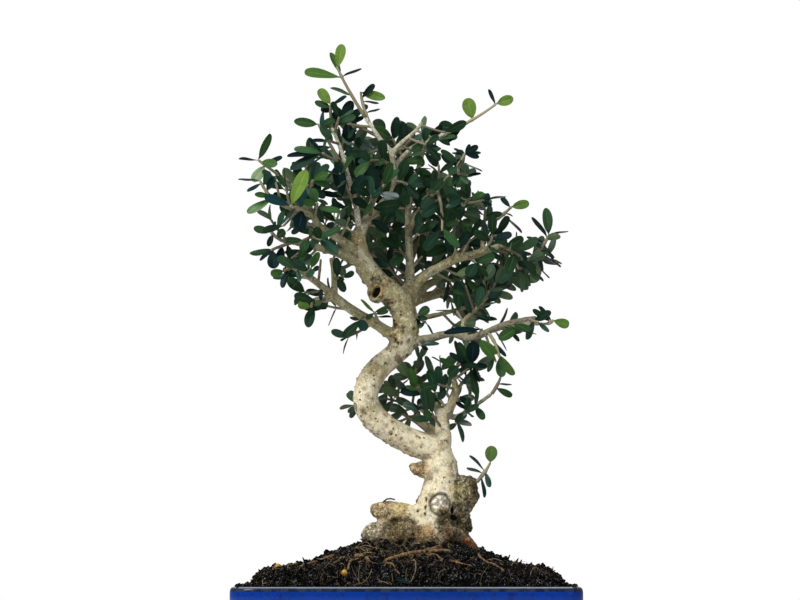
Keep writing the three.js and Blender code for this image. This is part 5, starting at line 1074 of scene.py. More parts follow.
class Finish:
    """A material written as expressions. Lengths in its patterns are millimetres."""

    def __init__(self, name, **constants):
        self.material = bpy.data.materials.new(name)
        self.material.use_nodes = True
        self.tree = self.material.node_tree
        self.tree.nodes.clear()
        self.shader = self.tree.nodes.new("ShaderNodeBsdfPrincipled")
        self.shader.name = "surface"
        ending = self.tree.nodes.new("ShaderNodeOutputMaterial")
        self.tree.links.new(self.shader.outputs[0], ending.inputs[0])
        for key, value in constants.items():
            self.shader.inputs[key.replace("_", " ").title().replace("Ior", "IOR")].default_value = value
        place = self.node("TexCoord", {}, {}, "Object")
        self.place = self.node("VectorMath", {"operation": "SCALE"}, {0: place, "Scale": 1000.0})

    def node(self, kind, settings, sockets, output=0):
        """Adds a node: its type, its settings, then the values or links of its sockets."""
        made = self.tree.nodes.new("ShaderNode" + kind)
        for key, value in settings.items():
            setattr(made, key, value)
        for key, value in sockets.items():
            socket = named(made.inputs, key)
            if isinstance(value, Shade):
                self.tree.links.new(value.socket, socket)
            else:
                socket.default_value = value
        return Shade(self, named(made.outputs, output))

    def noise(self, size, detail=2.0, rough=0.5, at=None, distortion=0.0):
        """Noise whose patches are about so many millimetres wide."""
        sockets = {"Vector": at or self.place, "Scale": 1 / size, "Detail": detail,
                   "Roughness": rough, "Distortion": distortion}
        return self.node("TexNoise", {}, sockets, "Fac")

    def cells(self, size, feature="F1", at=None, output="Distance"):
        """Cells about so many millimetres wide."""
        return self.node("TexVoronoi", {"feature": feature},
                         {"Vector": at or self.place, "Scale": 1 / size}, output)

    def stretched(self, vector, scale):
        """A place with each axis scaled."""
        return self.node("VectorMath", {"operation": "MULTIPLY"}, {0: vector, 1: scale})

    def warped(self, vector, size, reach):
        """A place moved about by noise."""
        shift = self.node("TexNoise", {}, {"Vector": vector, "Scale": 1 / size, "Detail": 2.0}, "Color")
        centred = self.node("VectorMath", {"operation": "SUBTRACT"}, {0: shift, 1: (0.5, 0.5, 0.5)})
        moved = self.node("VectorMath", {"operation": "SCALE"}, {0: centred, "Scale": reach * 2})
        return self.node("VectorMath", {"operation": "ADD"}, {0: vector, 1: moved})

    def mix(self, factor, first, second, blend="MIX"):
        """A colour between two."""
        return self.node("Mix", {"data_type": "RGBA", "blend_type": blend},
                         {"Factor_Float": factor, "A_Color": first, "B_Color": second}, "Result_Color")

    def layered(self, colour, layers):
        """A colour with others laid over it in turn, each by its own factor."""
        for factor, code in layers:
            colour = self.mix(factor, colour, linear(code))
        return colour

    def attribute(self, name, output="Color"):
        """What a mesh says of itself at each point."""
        return self.node("Attribute", {"attribute_name": name}, {}, output)

    def parts(self, colour):
        """A colour's three numbers."""
        red = self.node("SeparateColor", {}, {0: colour}, 0)
        return red, red.out("Green"), red.out("Blue")

    def coat(self, weight):
        """Lays a clear coat of varying weight over the surface."""
        self.tree.links.new(weight.socket, self.shader.inputs["Coat Weight"])

    def done(self, colour, roughness, height=None, depth=0.5, strength=1.0):
        """Feeds the shader and returns the material. depth is what a height of 1 stands for in mm."""
        self.tree.links.new(colour.socket, self.shader.inputs["Base Color"])
        if isinstance(roughness, Shade):
            self.tree.links.new(roughness.socket, self.shader.inputs["Roughness"])
        else:
            self.shader.inputs["Roughness"].default_value = roughness
        if height is not None:
            bump = self.node("Bump", {}, {"Strength": strength, "Distance": depth * MM,
                                          "Height": height}, "Normal")
            self.tree.links.new(bump.socket, self.shader.inputs["Normal"])
        return self.material


def bark_finish(look):
    """Cream bark, scaly and pored, with ochre patches, and brown and cracked on burls and scars."""
    finish = Finish("olive_bark", specular_ior_level=0.2)
    marks = finish.attribute("marks")
    rough, dark, brown = finish.parts(marks)
    shoot = marks.out("Alpha")
    tint = finish.attribute("tint")
    grain = finish.attribute("grain", "Vector")
    height = finish.node("SeparateXYZ", {}, {0: finish.place}, 2)
    broad = finish.noise(15, 3.0)
    patch = finish.noise(6, 5.0, 0.65)
    mottle = finish.noise(2.6, 4.0, 0.65)
    fine = finish.noise(0.9, 3.0, 0.65)
    streak = finish.noise(1.3, 3.0, 0.6, finish.stretched(grain, (1, 1, 0.14)))
    pore_cells = finish.warped(finish.place, 4, 1.0)
    pore_size, pore_here, _ = finish.parts(finish.cells(3.1, at=pore_cells, output="Color"))
    pore_radius = pore_size * 0.15 + 0.12
    pore = (finish.cells(3.1, at=pore_cells) / pore_radius).rise(1.1, 0.6) * pore_here.rise(0.4, 0.5)
    fleck = finish.cells(1.25).rise(0.26, 0.12)
    plate = finish.cells(2.7, "DISTANCE_TO_EDGE", finish.warped(finish.place, 2.0, 1.3)).rise(0.09, 0.0)
    crack = finish.cells(3.6, "DISTANCE_TO_EDGE", finish.warped(finish.place, 2.5, 2.2)).rise(0.12, 0.02)
    crack = crack * (rough + patch - 0.6).rise(0.0, 0.45)
    vein = finish.cells(1.6, "DISTANCE_TO_EDGE", finish.warped(finish.place, 1.4, 0.9)).rise(0.1, 0.02)
    crust = (rough + (patch - 0.5) * 1.4 + (fine - 0.5) * 0.5).rise(0.4, 0.8)
    # Greyer and darker up the trunk: partly grey older bark, partly painted shade under the crown.
    grey = (height * 0.006 + (broad - 0.5) * 1.4).rise(0.98, 1.4)
    ochre = finish.noise(9, 3.0, 0.6, finish.stretched(finish.place, (1.1, 1, 0.9))).rise(0.54, 0.64)
    bleached = finish.noise(11, 3.0, 0.6, finish.stretched(finish.place, (1, 1.1, 0.8))).rise(0.54, 0.62)
    lichen = finish.noise(3.1, 3.0, 0.6, finish.stretched(finish.place, (1, 0.9, 1.1))).rise(0.58, 0.62)
    moss = finish.noise(5, 3.0).rise(0.52, 0.6) * crust
    young = finish.mix(streak.rise(0.4, 0.6), linear(0x6c684c), linear(0x9a9672))
    young = finish.mix(patch.rise(0.5, 0.6) * 0.5, young, linear(0xb4af8a))
    tone = 0.8 + fine.rise(0.4, 0.6) * 0.55 + mottle.rise(0.56, 0.42) * 0.5 - vein * 0.3
    toned = finish.node("VectorMath", {"operation": "SCALE"}, {0: tint, "Scale": tone})

    colour = finish.mix(grey, tuple(look.light), tuple(look.shade))
    colour = finish.layered(colour, [
        (patch.rise(0.5, 0.6) * 0.3, 0xaaa27c),
        (mottle.rise(0.55, 0.63) * 0.3, 0x94886a),
        (mottle.rise(0.44, 0.37) * 0.6, 0xf8f2de),
        (streak.rise(0.5, 0.66) * 0.2, 0x94865f),
        (ochre * mottle.rise(0.38, 0.52) * 0.5, 0xa8804a),
        (bleached * 0.45, 0xf4eed8),
    ])
    colour = finish.mix(shoot * 0.9, colour, young)
    colour = finish.layered(colour, [
        (fine.rise(0.55, 0.66) * 0.14, 0x7e6e4a),
        (fine.rise(0.45, 0.36) * 0.4, 0xfbf5e2),
        (fleck * patch.rise(0.45, 0.56) * 0.5, 0x66502f),
    ])
    colour = finish.mix(brown * (0.5 + mottle * 0.7), colour, tuple(look.root))
    tinted = (tint.out("Alpha") + (mottle - 0.5) * 0.9).rise(0.2, 0.6)
    colour = finish.mix(tinted * 0.9, colour, toned)
    colour = finish.layered(colour, [
        (moss * 0.3, 0x5e5c30),
        (lichen * rough * 0.8, 0xe2dba0),
        (crust * fine.rise(0.5, 0.6) * 0.6, 0x54381c),
        (crust * fine.rise(0.46, 0.38) * 0.45, 0xe8dcb4),
        (vein * crust * patch.rise(0.4, 0.6) * 0.4, 0x3c2814),
        (plate * (1 - shoot) * patch.rise(0.5, 0.6) * 0.16, 0x5c4a2c),
        (pore * (1 - shoot) * 0.85, 0x4a3620),
        (crack * (0.3 + fine * 0.4), 0x1f160d),
        # The dark mark: dark pits, warts and cracks, and painted shade in creases, hollows, grooves and
        # at the soil line.
        (dark, 0x120c07),
    ])
    relief = (fine * 0.35 + streak * 0.3 + mottle * 0.55 + patch * 0.4 - pore * 1.2 - crack * 0.8
              - fleck * 0.3 - plate * 0.2 + crust * (fine * 0.9 - vein * 0.5))
    return finish.done(colour, 0.75 + fine * 0.2, relief, 1.0)


def root_finish(look):
    """Red-brown root bark with rings and streaks."""
    finish = Finish("root_bark", specular_ior_level=0.25)
    grain = finish.attribute("grain", "Vector")
    streak = finish.noise(0.9, 3.0, 0.6, finish.stretched(grain, (1, 1, 0.2)))
    rings = finish.noise(0.8, 2.0, 0.5, finish.stretched(grain, (0.2, 0.2, 1)))
    patch = finish.noise(5, 2.0)
    colour = finish.mix(patch.rise(0.4, 0.62), tuple(look.root), linear(0x8e7250))
    colour = finish.layered(colour, [
        (streak.rise(0.48, 0.64) * 0.75, 0x3a2618),
        (rings.rise(0.55, 0.64) * 0.6, 0xc8ab80),
    ])
    crust = finish.noise(2.2, 3.0, 0.6).rise(0.52, 0.62)
    colour = finish.mix(crust * 0.85, colour, linear(0x1c140e))
    return finish.done(colour, 0.8, streak * 0.6 + rings * 0.6, 0.4)


def twig_finish(name, old, new):
    """Green-grey skin of a thin twig, lengthwise grained, with pale pores."""
    finish = Finish(name, specular_ior_level=0.35)
    tone, _, youth = finish.parts(finish.attribute("marks"))
    grain = finish.attribute("grain", "Vector")
    streak = finish.noise(0.6, 2.0, 0.5, finish.stretched(grain, (1, 1, 0.15)))
    pore = finish.cells(1.3).rise(0.2, 0.1)
    colour = finish.mix(youth.rise(0.2, 0.8), old, new)
    colour = finish.layered(colour, [
        (streak.rise(0.45, 0.65) * 0.5, 0x6d6650),
        (tone * 0.25, 0xd8cfb2),
        (pore * 0.5, 0xcfc8b0),
    ])
    return finish.done(colour, 0.6, streak * 0.6 + pore * 0.4, 0.25)


def leaf_finish(name, mature, young, under):
    """A leathery blade: dark and glossy above, pale beneath, with a light midrib and faint veins."""
    finish = Finish(name, specular_ior_level=0.13, specular_tint=(0.55, 0.85, 1.0, 1.0),
                    coat_roughness=0.3)
    tone, beneath, youth = finish.parts(finish.attribute("marks"))
    blade = finish.node("UVMap", {"uv_map": "blade"}, {})
    across = finish.node("SeparateXYZ", {}, {0: blade}, 0)
    along = across.out("Y")
    off = abs(across - 0.5) * 2
    rib = off.rise(0.11, 0.03) * along.rise(1.0, 0.7)
    wander = finish.noise(2.2, 2.0) * 0.12
    wave = finish.node("Math", {"operation": "SINE"}, {0: (along * 1.0 - off * 0.32 + wander) * 62.0})
    vein = wave.rise(0.72, 1.0) * off.rise(0.05, 0.2) * off.rise(1.0, 0.8)
    mottle = finish.noise(3.0, 3.0, 0.6)
    fine = finish.noise(0.5, 2.0)
    top = finish.mix(tone.rise(0.1, 0.7), mature, linear(0x061f24))
    top = finish.layered(top, [
        (tone.rise(0.6, 0.85), 0x0e3838),
        (tone.rise(0.88, 1.0) * 0.8, 0x234c22),
    ])
    top = finish.mix(youth, top, finish.mix(youth.rise(0.6, 1.0), young, linear(0x6b8a38)))
    patchy = finish.mix(youth, linear(0x051114), linear(0x3d661f))
    top = finish.mix(mottle.rise(0.42, 0.66) * 0.4, top, patchy)
    top = finish.mix(rib * 0.25, top, finish.mix(youth, linear(0x3a5c52), linear(0xb0c47c)))
    top = finish.mix(vein * 0.12, top, finish.mix(youth, linear(0x2b4a42), linear(0x8fa85a)))
    low = finish.mix(youth, under, linear(0x8aa468))
    low = finish.layered(low, [
        (mottle.rise(0.4, 0.7) * 0.3, 0x4f6654),
        (rib * 0.4, 0x8a9c80),
    ])
    colour = finish.mix(beneath, top, low)
    finish.coat(tone.rise(0.5, 0.95) * (1 - beneath) * (0.2 + mottle * 0.4))
    roughness = 0.36 + beneath * 0.3 + fine * 0.1 + mottle * 0.1
    return finish.done(colour, roughness, vein * -0.5 - rib * 0.9 + mottle * 0.5 + fine * 0.25, 0.22)


def peat_finish(look):
    """Dark damp peat and bark crumbs."""
    finish = Finish("peat", specular_ior_level=0.05)
    tone, _, _ = finish.parts(finish.attribute("marks"))
    clod = finish.noise(3.2, 4.0, 0.65)
    fine = finish.noise(0.7, 3.0, 0.6)
    laid = finish.stretched(finish.warped(finish.place, 5, 3), (1, 0.16, 0.6))
    strand = finish.noise(0.8, 2.0, 0.5, laid)
    glint = finish.cells(1.7, at=finish.warped(finish.place, 3, 1.2)).rise(0.2, 0.1)
    patch = finish.noise(6, 3.0)
    colour = finish.mix(clod.rise(0.42, 0.64), tuple(look.peat), linear(0x0a0a0c))
    colour = finish.layered(colour, [
        (fine.rise(0.56, 0.66) * patch.rise(0.44, 0.6), 0x505056),
        (strand.rise(0.61, 0.68) * 0.5, 0x827e76),
        (glint * patch.rise(0.52, 0.6) * 0.8, 0xb4b6ba),
        (tone, 0x7a7064),
    ])
    return finish.done(colour, 0.92, fine * 0.7 + clod * 0.8 + strand * 0.4, 0.9)


def fibre_finish():
    """Thin roots and straw, from dark to pale tan."""
    finish = Finish("root_fibre", specular_ior_level=0.2)
    tone, _, _ = finish.parts(finish.attribute("marks"))
    grain = finish.attribute("grain", "Vector")
    streak = finish.noise(0.5, 2.0, 0.5, finish.stretched(grain, (1, 1, 0.3)))
    colour = finish.mix(tone, linear(0x241a12), linear(0xb09c74))
    colour = finish.mix(streak.rise(0.45, 0.65) * 0.45, colour, linear(0x54422c))
    return finish.done(colour, 0.8, streak, 0.15)


def granule_finish():
    """Waxy tan shell of slow-release fertiliser."""
    finish = Finish("granule", specular_ior_level=0.5)
    patch = finish.noise(1.1, 3.0)
    fine = finish.noise(0.3, 2.0)
    colour = finish.mix(patch.rise(0.4, 0.62), linear(0xc8962f), linear(0x8f6420))
    colour = finish.mix(fine.rise(0.6, 0.7) * 0.5, colour, linear(0xe3bf74))
    return finish.done(colour, 0.35 + fine * 0.2, fine + patch, 0.12)


def glaze_finish(look):
    """Cobalt glaze, pooled dark and flecked light, run thin to brown and grey along the lip's edge, with
    worn glaze and a painted highlight in a pale band on its outer rounding.
    """
    finish = Finish("cobalt_glaze", specular_ior_level=0.2)
    height = finish.node("SeparateXYZ", {}, {0: finish.place}, 2)
    pool = finish.noise(14, 3.0, 0.5)
    runs = finish.noise(5, 3.0, 0.6, finish.stretched(finish.place, (1, 1, 0.3)))
    fleck = finish.noise(1.3, 4.0, 0.7)
    speck = finish.cells(2.6).rise(0.16, 0.08)
    colour = finish.mix(pool.rise(0.38, 0.64), tuple(look.glaze), linear(0x013494))
    colour = finish.layered(colour, [
        (runs.rise(0.5, 0.7) * 0.6, 0x01195c),
        (fleck.rise(0.56, 0.72) * 0.3, 0x1450bc),
    ])
    edge = (height + (runs - 0.5) * 0.7 + (pool - 0.5) * 0.6).rise(62.0, 62.7) * height.rise(65.5, 65.2)
    # A pale band on the lip's outer rounding: worn glaze, and the painted highlight line along the rim.
    worn_glaze_and_highlight = (height + (pool - 0.5) * 0.3).rise(64.35, 64.7) * height.rise(65.27, 65.1)
    thin = finish.mix(runs.rise(0.4, 0.6), linear(0x141d2c), linear(0x2c3440))
    colour = finish.mix(edge * 0.94, colour, thin)
    colour = finish.mix(worn_glaze_and_highlight * 0.9, colour, finish.mix(fleck, linear(0x74808e), linear(0xa4aebc)))
    foot = (height + (runs - 0.5) * 2).rise(10.2, 8.6)
    colour = finish.layered(colour, [
        (foot * 0.9, 0x3a2a22),
        (speck * 0.35, 0x06103c),
    ])
    relief = pool * 0.8 + runs * 0.5 - speck * 0.25
    return finish.done(colour, 0.1 + edge * 0.08 + fleck * 0.06, relief, 0.2)


def clay_finish(look):
    """Bare fired clay."""
    finish = Finish("bare_clay", specular_ior_level=0.3)
    patch = finish.noise(8, 3.0)
    grit = finish.noise(0.6, 3.0, 0.7)
    grog = finish.cells(1.9).rise(0.2, 0.1)
    colour = finish.mix(patch.rise(0.4, 0.62), tuple(look.clay), linear(0x6d4634))
    colour = finish.layered(colour, [
        (grit.rise(0.52, 0.7) * 0.5, 0xa98468),
        (grog * 0.5, 0x3a2720),
    ])
    return finish.done(colour, 0.9, grit + patch * 0.4 - grog * 0.4, 0.25)


def netting_finish():
    """Black polythene netting, dulled by soil."""
    finish = Finish("netting", specular_ior_level=0.4)
    dust = finish.noise(2.5, 4.0, 0.6)
    weave = finish.noise(0.5, 2.0)
    colour = finish.mix(dust.rise(0.45, 0.65) * 0.6, linear(0x15171a), linear(0x4a3c2e))
    return finish.done(colour, 0.5 + dust * 0.3, weave + dust * 0.5, 0.1)


def floor_finish(look):
    """A plain pale floor."""
    finish = Finish("pale_floor", specular_ior_level=0.1)
    cloud = finish.noise(400, 2.0)
    colour = finish.mix(cloud * 0.3, tuple(look.floor), linear(0xf1f0ee))
    return finish.done(colour, 0.9)


# ---------------------------------------------------------------- wood

BATCH = 3000
# Warts over the thick wood and, always brown and a little higher, under the trunk's bend.
WARTS, BEND_WARTS = 420, 70


def sphere(centre, half_sizes, rings=14, sides=22):
    """A closed ball with its own half sizes: its points and faces."""
    points, faces = [(0, 0, 1)], []
    for k in range(1, rings):
        down = math.pi * k / rings
        for i in range(sides):
            turn = 2 * math.pi * i / sides
            points.append((math.sin(down) * math.cos(turn), math.sin(down) * math.sin(turn),
                           math.cos(down)))
    points.append((0, 0, -1))
    foot = len(points) - 1
    for i in range(sides):
        j = (i + 1) % sides
        faces.append((0, 1 + i, 1 + j))
        for k in range(rings - 2):
            row = 1 + k * sides
            faces.append((row + i, row + sides + i, row + sides + j, row + j))
        faces.append((foot, foot - sides + j, foot - sides + i))
    return np.array(points) * half_sizes + centre, faces


def bare_wood():
    """Every limb as a tube and every knob as a ball, still apart."""
    shell = Shell()
    for index, (name, points) in enumerate(LIMB_POINTS.items()):
        biggest = LIMB_RADII[name].max()
        steps = (len(points) - 1) * 5
        last = 1.0
        if name in ROUGH_LIMBS:
            end = limb_radius(name, 1)
            last = 1 - 0.8 * end / np.linalg.norm(np.diff(points, axis=0), axis=1).sum()
            shell.add(*sphere(limb_point(points, last), (end, end, end)))
        places = np.linspace(0, last, steps + 1)
        run = np.array([limb_point(points, t) for t in places])
        radii = np.array([limb_radius(name, t) for t in places])
        swell = [noise.noise(Vector(p / 8.0) + Vector((0, 0, 9.0 * index))) for p in run]
        radii = radii * (1 + 0.07 * np.array(swell))
        sides = 28 if biggest > 9 else 18 if biggest > 4 else 12
        rings, faces, _ = tube(run, radii, sides)
        shell.add(rings, faces)
    for x, y, z, *half_sizes in [*KNOBS.values(), FOOT_FILL]:
        shell.add(*sphere((x, y, z), half_sizes))
    return shell.mesh("wood_blank")


def skinned(mesh, voxel):
    """One closed skin over overlapping closed bodies."""
    blank = bpy.data.objects.new("wood_blank", mesh)
    bpy.context.scene.collection.objects.link(blank)
    remesh = blank.modifiers.new("skin", "REMESH")
    remesh.mode = "VOXEL"
    remesh.voxel_size = voxel
    graph = bpy.context.evaluated_depsgraph_get()
    skin = bpy.data.meshes.new_from_object(blank.evaluated_get(graph))
    bpy.data.objects.remove(blank)
    bpy.data.meshes.remove(mesh)
    return skin


def points_of(mesh):
    """A mesh's points in millimetres."""
    points = np.empty(len(mesh.vertices) * 3)
    mesh.vertices.foreach_get("co", points)
    return points.reshape(-1, 3) / MM


def edges_of(mesh):
    """A mesh's edges as pairs of point numbers."""
    edges = np.empty(len(mesh.edges) * 2, int)
    mesh.edges.foreach_get("vertices", edges)
    return edges.reshape(-1, 2)


def relaxed(points, edges, weight, rounds):
    """Points drawn towards their neighbours' middle, then let back half-way so nothing shrinks."""
    total = len(points)
    count = np.bincount(edges.ravel(), minlength=total)[:, None].clip(1)
    for k in range(2 * rounds):
        pull = weight if k % 2 == 0 else -weight * 0.96
        sums = np.stack([np.bincount(edges[:, 0], points[edges[:, 1], axis], total)
                         + np.bincount(edges[:, 1], points[edges[:, 0], axis], total)
                         for axis in range(3)], axis=1)
        points = points + (sums / count - points) * pull
    return points


def axis_pieces():
    """Short straight pieces down the middle of every limb, with what the bark over them needs."""
    starts, ends, radii, runs, frames, limbs = [], [], [], [], [], []
    for index, (name, points) in enumerate(LIMB_POINTS.items()):
        steps = (len(points) - 1) * 4
        across = np.array([0.0, 1.0, 0.01])
        run = 53.0 * index
        for k in range(steps):
            start, end = limb_point(points, k / steps), limb_point(points, (k + 1) / steps)
            way = unit(end - start)
            across = unit(across - way * (across @ way))
            starts.append(start)
            ends.append(end)
            radii.append((limb_radius(name, k / steps), limb_radius(name, (k + 1) / steps)))
            runs.append((run, run + float(np.linalg.norm(end - start))))
            run = runs[-1][1]
            frames.append((across, np.cross(across, way)))
            limbs.append(index)
    return (np.array(starts), np.array(ends), np.array(radii), np.array(runs), np.array(frames),
            np.array(limbs))


def grain_of(points):
    """For each point of the skin: its place in its limb laid straight, that limb's radius there
    and the limb's number."""
    starts, ends, radii, runs, frames, limbs = axis_pieces()
    ways = ends - starts
    squares = (ways ** 2).sum(axis=1)
    grain = np.empty_like(points)
    local = np.empty(len(points))
    owner = np.empty(len(points), int)
    for low in range(0, len(points), BATCH):
        part = points[low:low + BATCH]
        off = part[:, None, :] - starts[None]
        place = np.clip((off * ways).sum(axis=2) / squares, 0, 1)
        off = off - ways * place[:, :, None]
        thick = radii[:, 0] + (radii[:, 1] - radii[:, 0]) * place
        best = np.argmin(np.sqrt((off ** 2).sum(axis=2)) - thick, axis=1)
        rows = np.arange(len(part))
        spoke, share = off[rows, best], place[rows, best]
        here = slice(low, low + BATCH)
        local[here] = thick[rows, best]
        owner[here] = limbs[best]
        grain[here, 0] = (spoke * frames[best, 0]).sum(axis=1)
        grain[here, 1] = (spoke * frames[best, 1]).sum(axis=1)
        grain[here, 2] = runs[best, 0] + (runs[best, 1] - runs[best, 0]) * share
    return grain, local, owner


def noise_over(points, size, shift=0.0):
    """Smooth noise at each point, from -1 to 1."""
    return np.array([noise.noise(Vector(p)) for p in points / size + shift])


def lumps_over(points, size, shift=0.0):
    """Rounded lumps at each point, from 0 in the creases to 1 on top."""
    return np.array([1 - min(1.0, 1.35 * noise.voronoi(Vector(p))[0][0]) for p in points / size + shift])


def tint_over(points, owner):
    """The colour that the bark has at each point, with the painted light and shade of a few spots, and
    how strong it is.
    """
    total = np.full(len(points), 1e-6)
    tint = np.zeros((len(points), 4))
    shift = np.stack([noise_over(points, 4.5, 30.0 + axis) for axis in range(3)], axis=1) * 3.4
    for centre, reach, code in BARK_SPOTS:
        off = np.linalg.norm(points + shift - centre, axis=1)
        weight = smooth_step(reach * 1.25, reach * 0.5, off)
        total += weight
        tint[:, :3] += weight[:, None] * linear(code)[:3]
        tint[:, 3] = np.maximum(tint[:, 3], weight)
    tint[:, :3] /= total[:, None]
    for index, name in enumerate(LIMBS):
        if name in PALE_LIMBS:
            tint[owner == index] = (*linear(PALE_LIMBS[name])[:3], 0.62)
    return tint


def roughness_over(points, owner):
    """How rough the bark is at each point: burls, stubs and the foot of the tree."""
    rough = np.zeros(len(points))
    for name, amount in ROUGH_KNOBS.items():
        x, y, z, *half_sizes = KNOBS[name]
        off = np.linalg.norm((points - (x, y, z)) / half_sizes, axis=1)
        rough = np.maximum(rough, amount * smooth_step(1.55, 1.05, off))
    names = list(LIMBS)
    for name, (reach, amount) in ROUGH_LIMBS.items():
        near = smooth_step(reach, 6, np.linalg.norm(points - LIMB_POINTS[name][-1], axis=1))
        rough = np.maximum(rough, amount * near * (owner == names.index(name)))
    ragged = 1 + 0.35 * noise_over(points, 4.0, 9.0)
    for across, up, reach, amount in ROUGH_FRONTS:
        off = np.hypot(points[:, 0] - across, points[:, 2] - up) * ragged
        here = amount * smooth_step(reach * 1.2, reach * 0.5, off) * (points[:, 1] < 3)
        rough = np.maximum(rough, here)
    foot = smooth_step(101, 91, points[:, 2] + 4 * noise_over(points, 9, 5.0))
    return np.maximum(rough, 0.75 * foot)


def scar_over(points, normals, scar):
    """A scar's part of each point: how far it moves, along the way the scar faces, and its dark, which is
    painted shade in a hollow, its split and a callus's groove, and the dark cracks inside a callus.
    """
    centre, way, half_sizes, lean, depth = scar
    way = unit(np.array(way, float))
    flat = unit(np.cross(way, UP))
    rise = np.cross(flat, way)
    turn = math.radians(lean)
    axes = (flat * math.cos(turn) + rise * math.sin(turn), rise * math.cos(turn) - flat * math.sin(turn))
    off = points - np.array(centre)
    ragged = 1 + (0.25 if depth > 0 else 0.1) * noise_over(points, 2.4, 2.0)
    out = np.hypot(off @ axes[0] / half_sizes[0], off @ axes[1] / half_sizes[1]) * ragged
    here = (np.abs(off @ way) < 9) & (normals @ way > 0.05) & (out < 2.4)
    size = min(half_sizes)
    ring = np.exp(-(((out - 1.22) / 0.17) ** 2)) * (0.25 + 0.13 * size)
    if depth > 0:
        split = (np.exp(-(((out - 1.6) / 0.2) ** 2))
                 * smooth_step(-0.15, 0.25, noise_over(points, 4.5, 6.0)))
        split *= size > 2.4
        move = ring - depth * smooth_step(1.05, 0.55, out) - 0.6 * split
        # Painted shade inside the hollow and in its split.
        dark = np.maximum(smooth_step(1.02, 0.72, out), 0.8 * split)
    else:
        groove = np.exp(-(((out - 0.98) / 0.13) ** 2))
        crackle = lumps_over(points, 2.1, 4.0)
        move = ring - 0.9 * groove + np.where(out < 1, (1 - out ** 2) * -depth + (crackle - 0.5) * 1.1, 0)
        # Painted shade in the groove round the callus, and its dark cracks.
        dark = 0.85 * groove + 0.6 * smooth_step(0.95, 0.8, out) * smooth_step(0.42, 0.2, crackle)
    return np.where(here, move, 0)[:, None] * way, np.where(here, dark, 0)


def warts_over(points, normals, local):
    """Small warts over the trunk and the thicker limbs, thickest under its bend: height and brown."""
    rng = np.random.default_rng(SKIN_SEED)
    thick = np.nonzero((local > 3.2) & (points[:, 2] > 92))[0]
    under = (normals[:, 0] < -0.25) & (normals[:, 2] < -0.1)
    bend = np.nonzero(under & (np.abs(points[:, 2] - 152) < 28))[0]
    sites = points[np.concatenate([rng.choice(thick, WARTS, replace=False),
                                   rng.choice(bend, BEND_WARTS)])]
    heights = rng.uniform(0.25, 0.95, len(sites)) ** 1.4
    widths = rng.uniform(0.7, 1.35, len(sites))
    heights[WARTS:] += 0.25
    browned = rng.random(len(sites)) ** 0.8
    browned[WARTS:] = 1
    rise, brown = np.zeros(len(points)), np.zeros(len(points))
    for site, height, width, shade in zip(sites, heights, widths, browned):
        near = np.nonzero(np.abs(points - site).max(axis=1) < 3)[0]
        gap = np.linalg.norm(points[near] - site, axis=1)
        bump = np.exp(-((gap / width) ** 2))
        rise[near] = np.maximum(rise[near], height * bump)
        brown[near] = np.maximum(brown[near], shade * bump)
    return rise, brown


def pits_over(points, normals, local):
    """How deep each point lies in the dark pits on the front of the trunk, from 0 to 1."""
    front = (local > 4) & (normals[:, 1] < -0.1)
    ragged = 1 + 0.4 * noise_over(points, 1.8, 1.0)
    pits = np.zeros(len(points))
    for across, up, reach, strength in STAINS:
        off = np.hypot(points[:, 0] - across, points[:, 2] - up) * ragged
        pits = np.maximum(pits, strength * smooth_step(reach * 1.2, reach * 0.75, off) * front)
    return pits


def crust_over(points, grain, local, rough):
    """How far the bark stands out at each point, and the shade painted into its creases."""
    ridge = noise_over(grain * (0.45, 0.45, 0.07), 1.0, 3.0)
    swell = noise_over(points, 7.0)
    lumps = lumps_over(points, 5.6)
    small = lumps_over(points, 2.4, 7.0)
    crease = np.abs(noise_over(points, 5.5, 11.0))
    blend = 0.5 + 0.5 * np.clip(2 * noise_over(points, 8.0, 21.0), -1, 1)
    calm = np.minimum(0.05 * local, 0.5)
    height = calm * swell + 0.6 * calm * ridge
    height += rough * ((1.2 + 1.6 * blend) * (lumps - 0.45) + (1.1 - 0.7 * blend) * (small - 0.4)
                       + 1.9 * (crease - 0.25))
    height += 0.16 * (noise_over(points, 2.6, 17.0) * smooth_step(5, 8, local))
    # Painted shade in the creases between the lumps.
    dark = rough * (smooth_step(0.26, 0.05, lumps) * 0.5 * blend + smooth_step(0.24, 0.04, small) * 0.3
                    + smooth_step(0.06, 0.01, crease) * 0.6)
    return height, dark


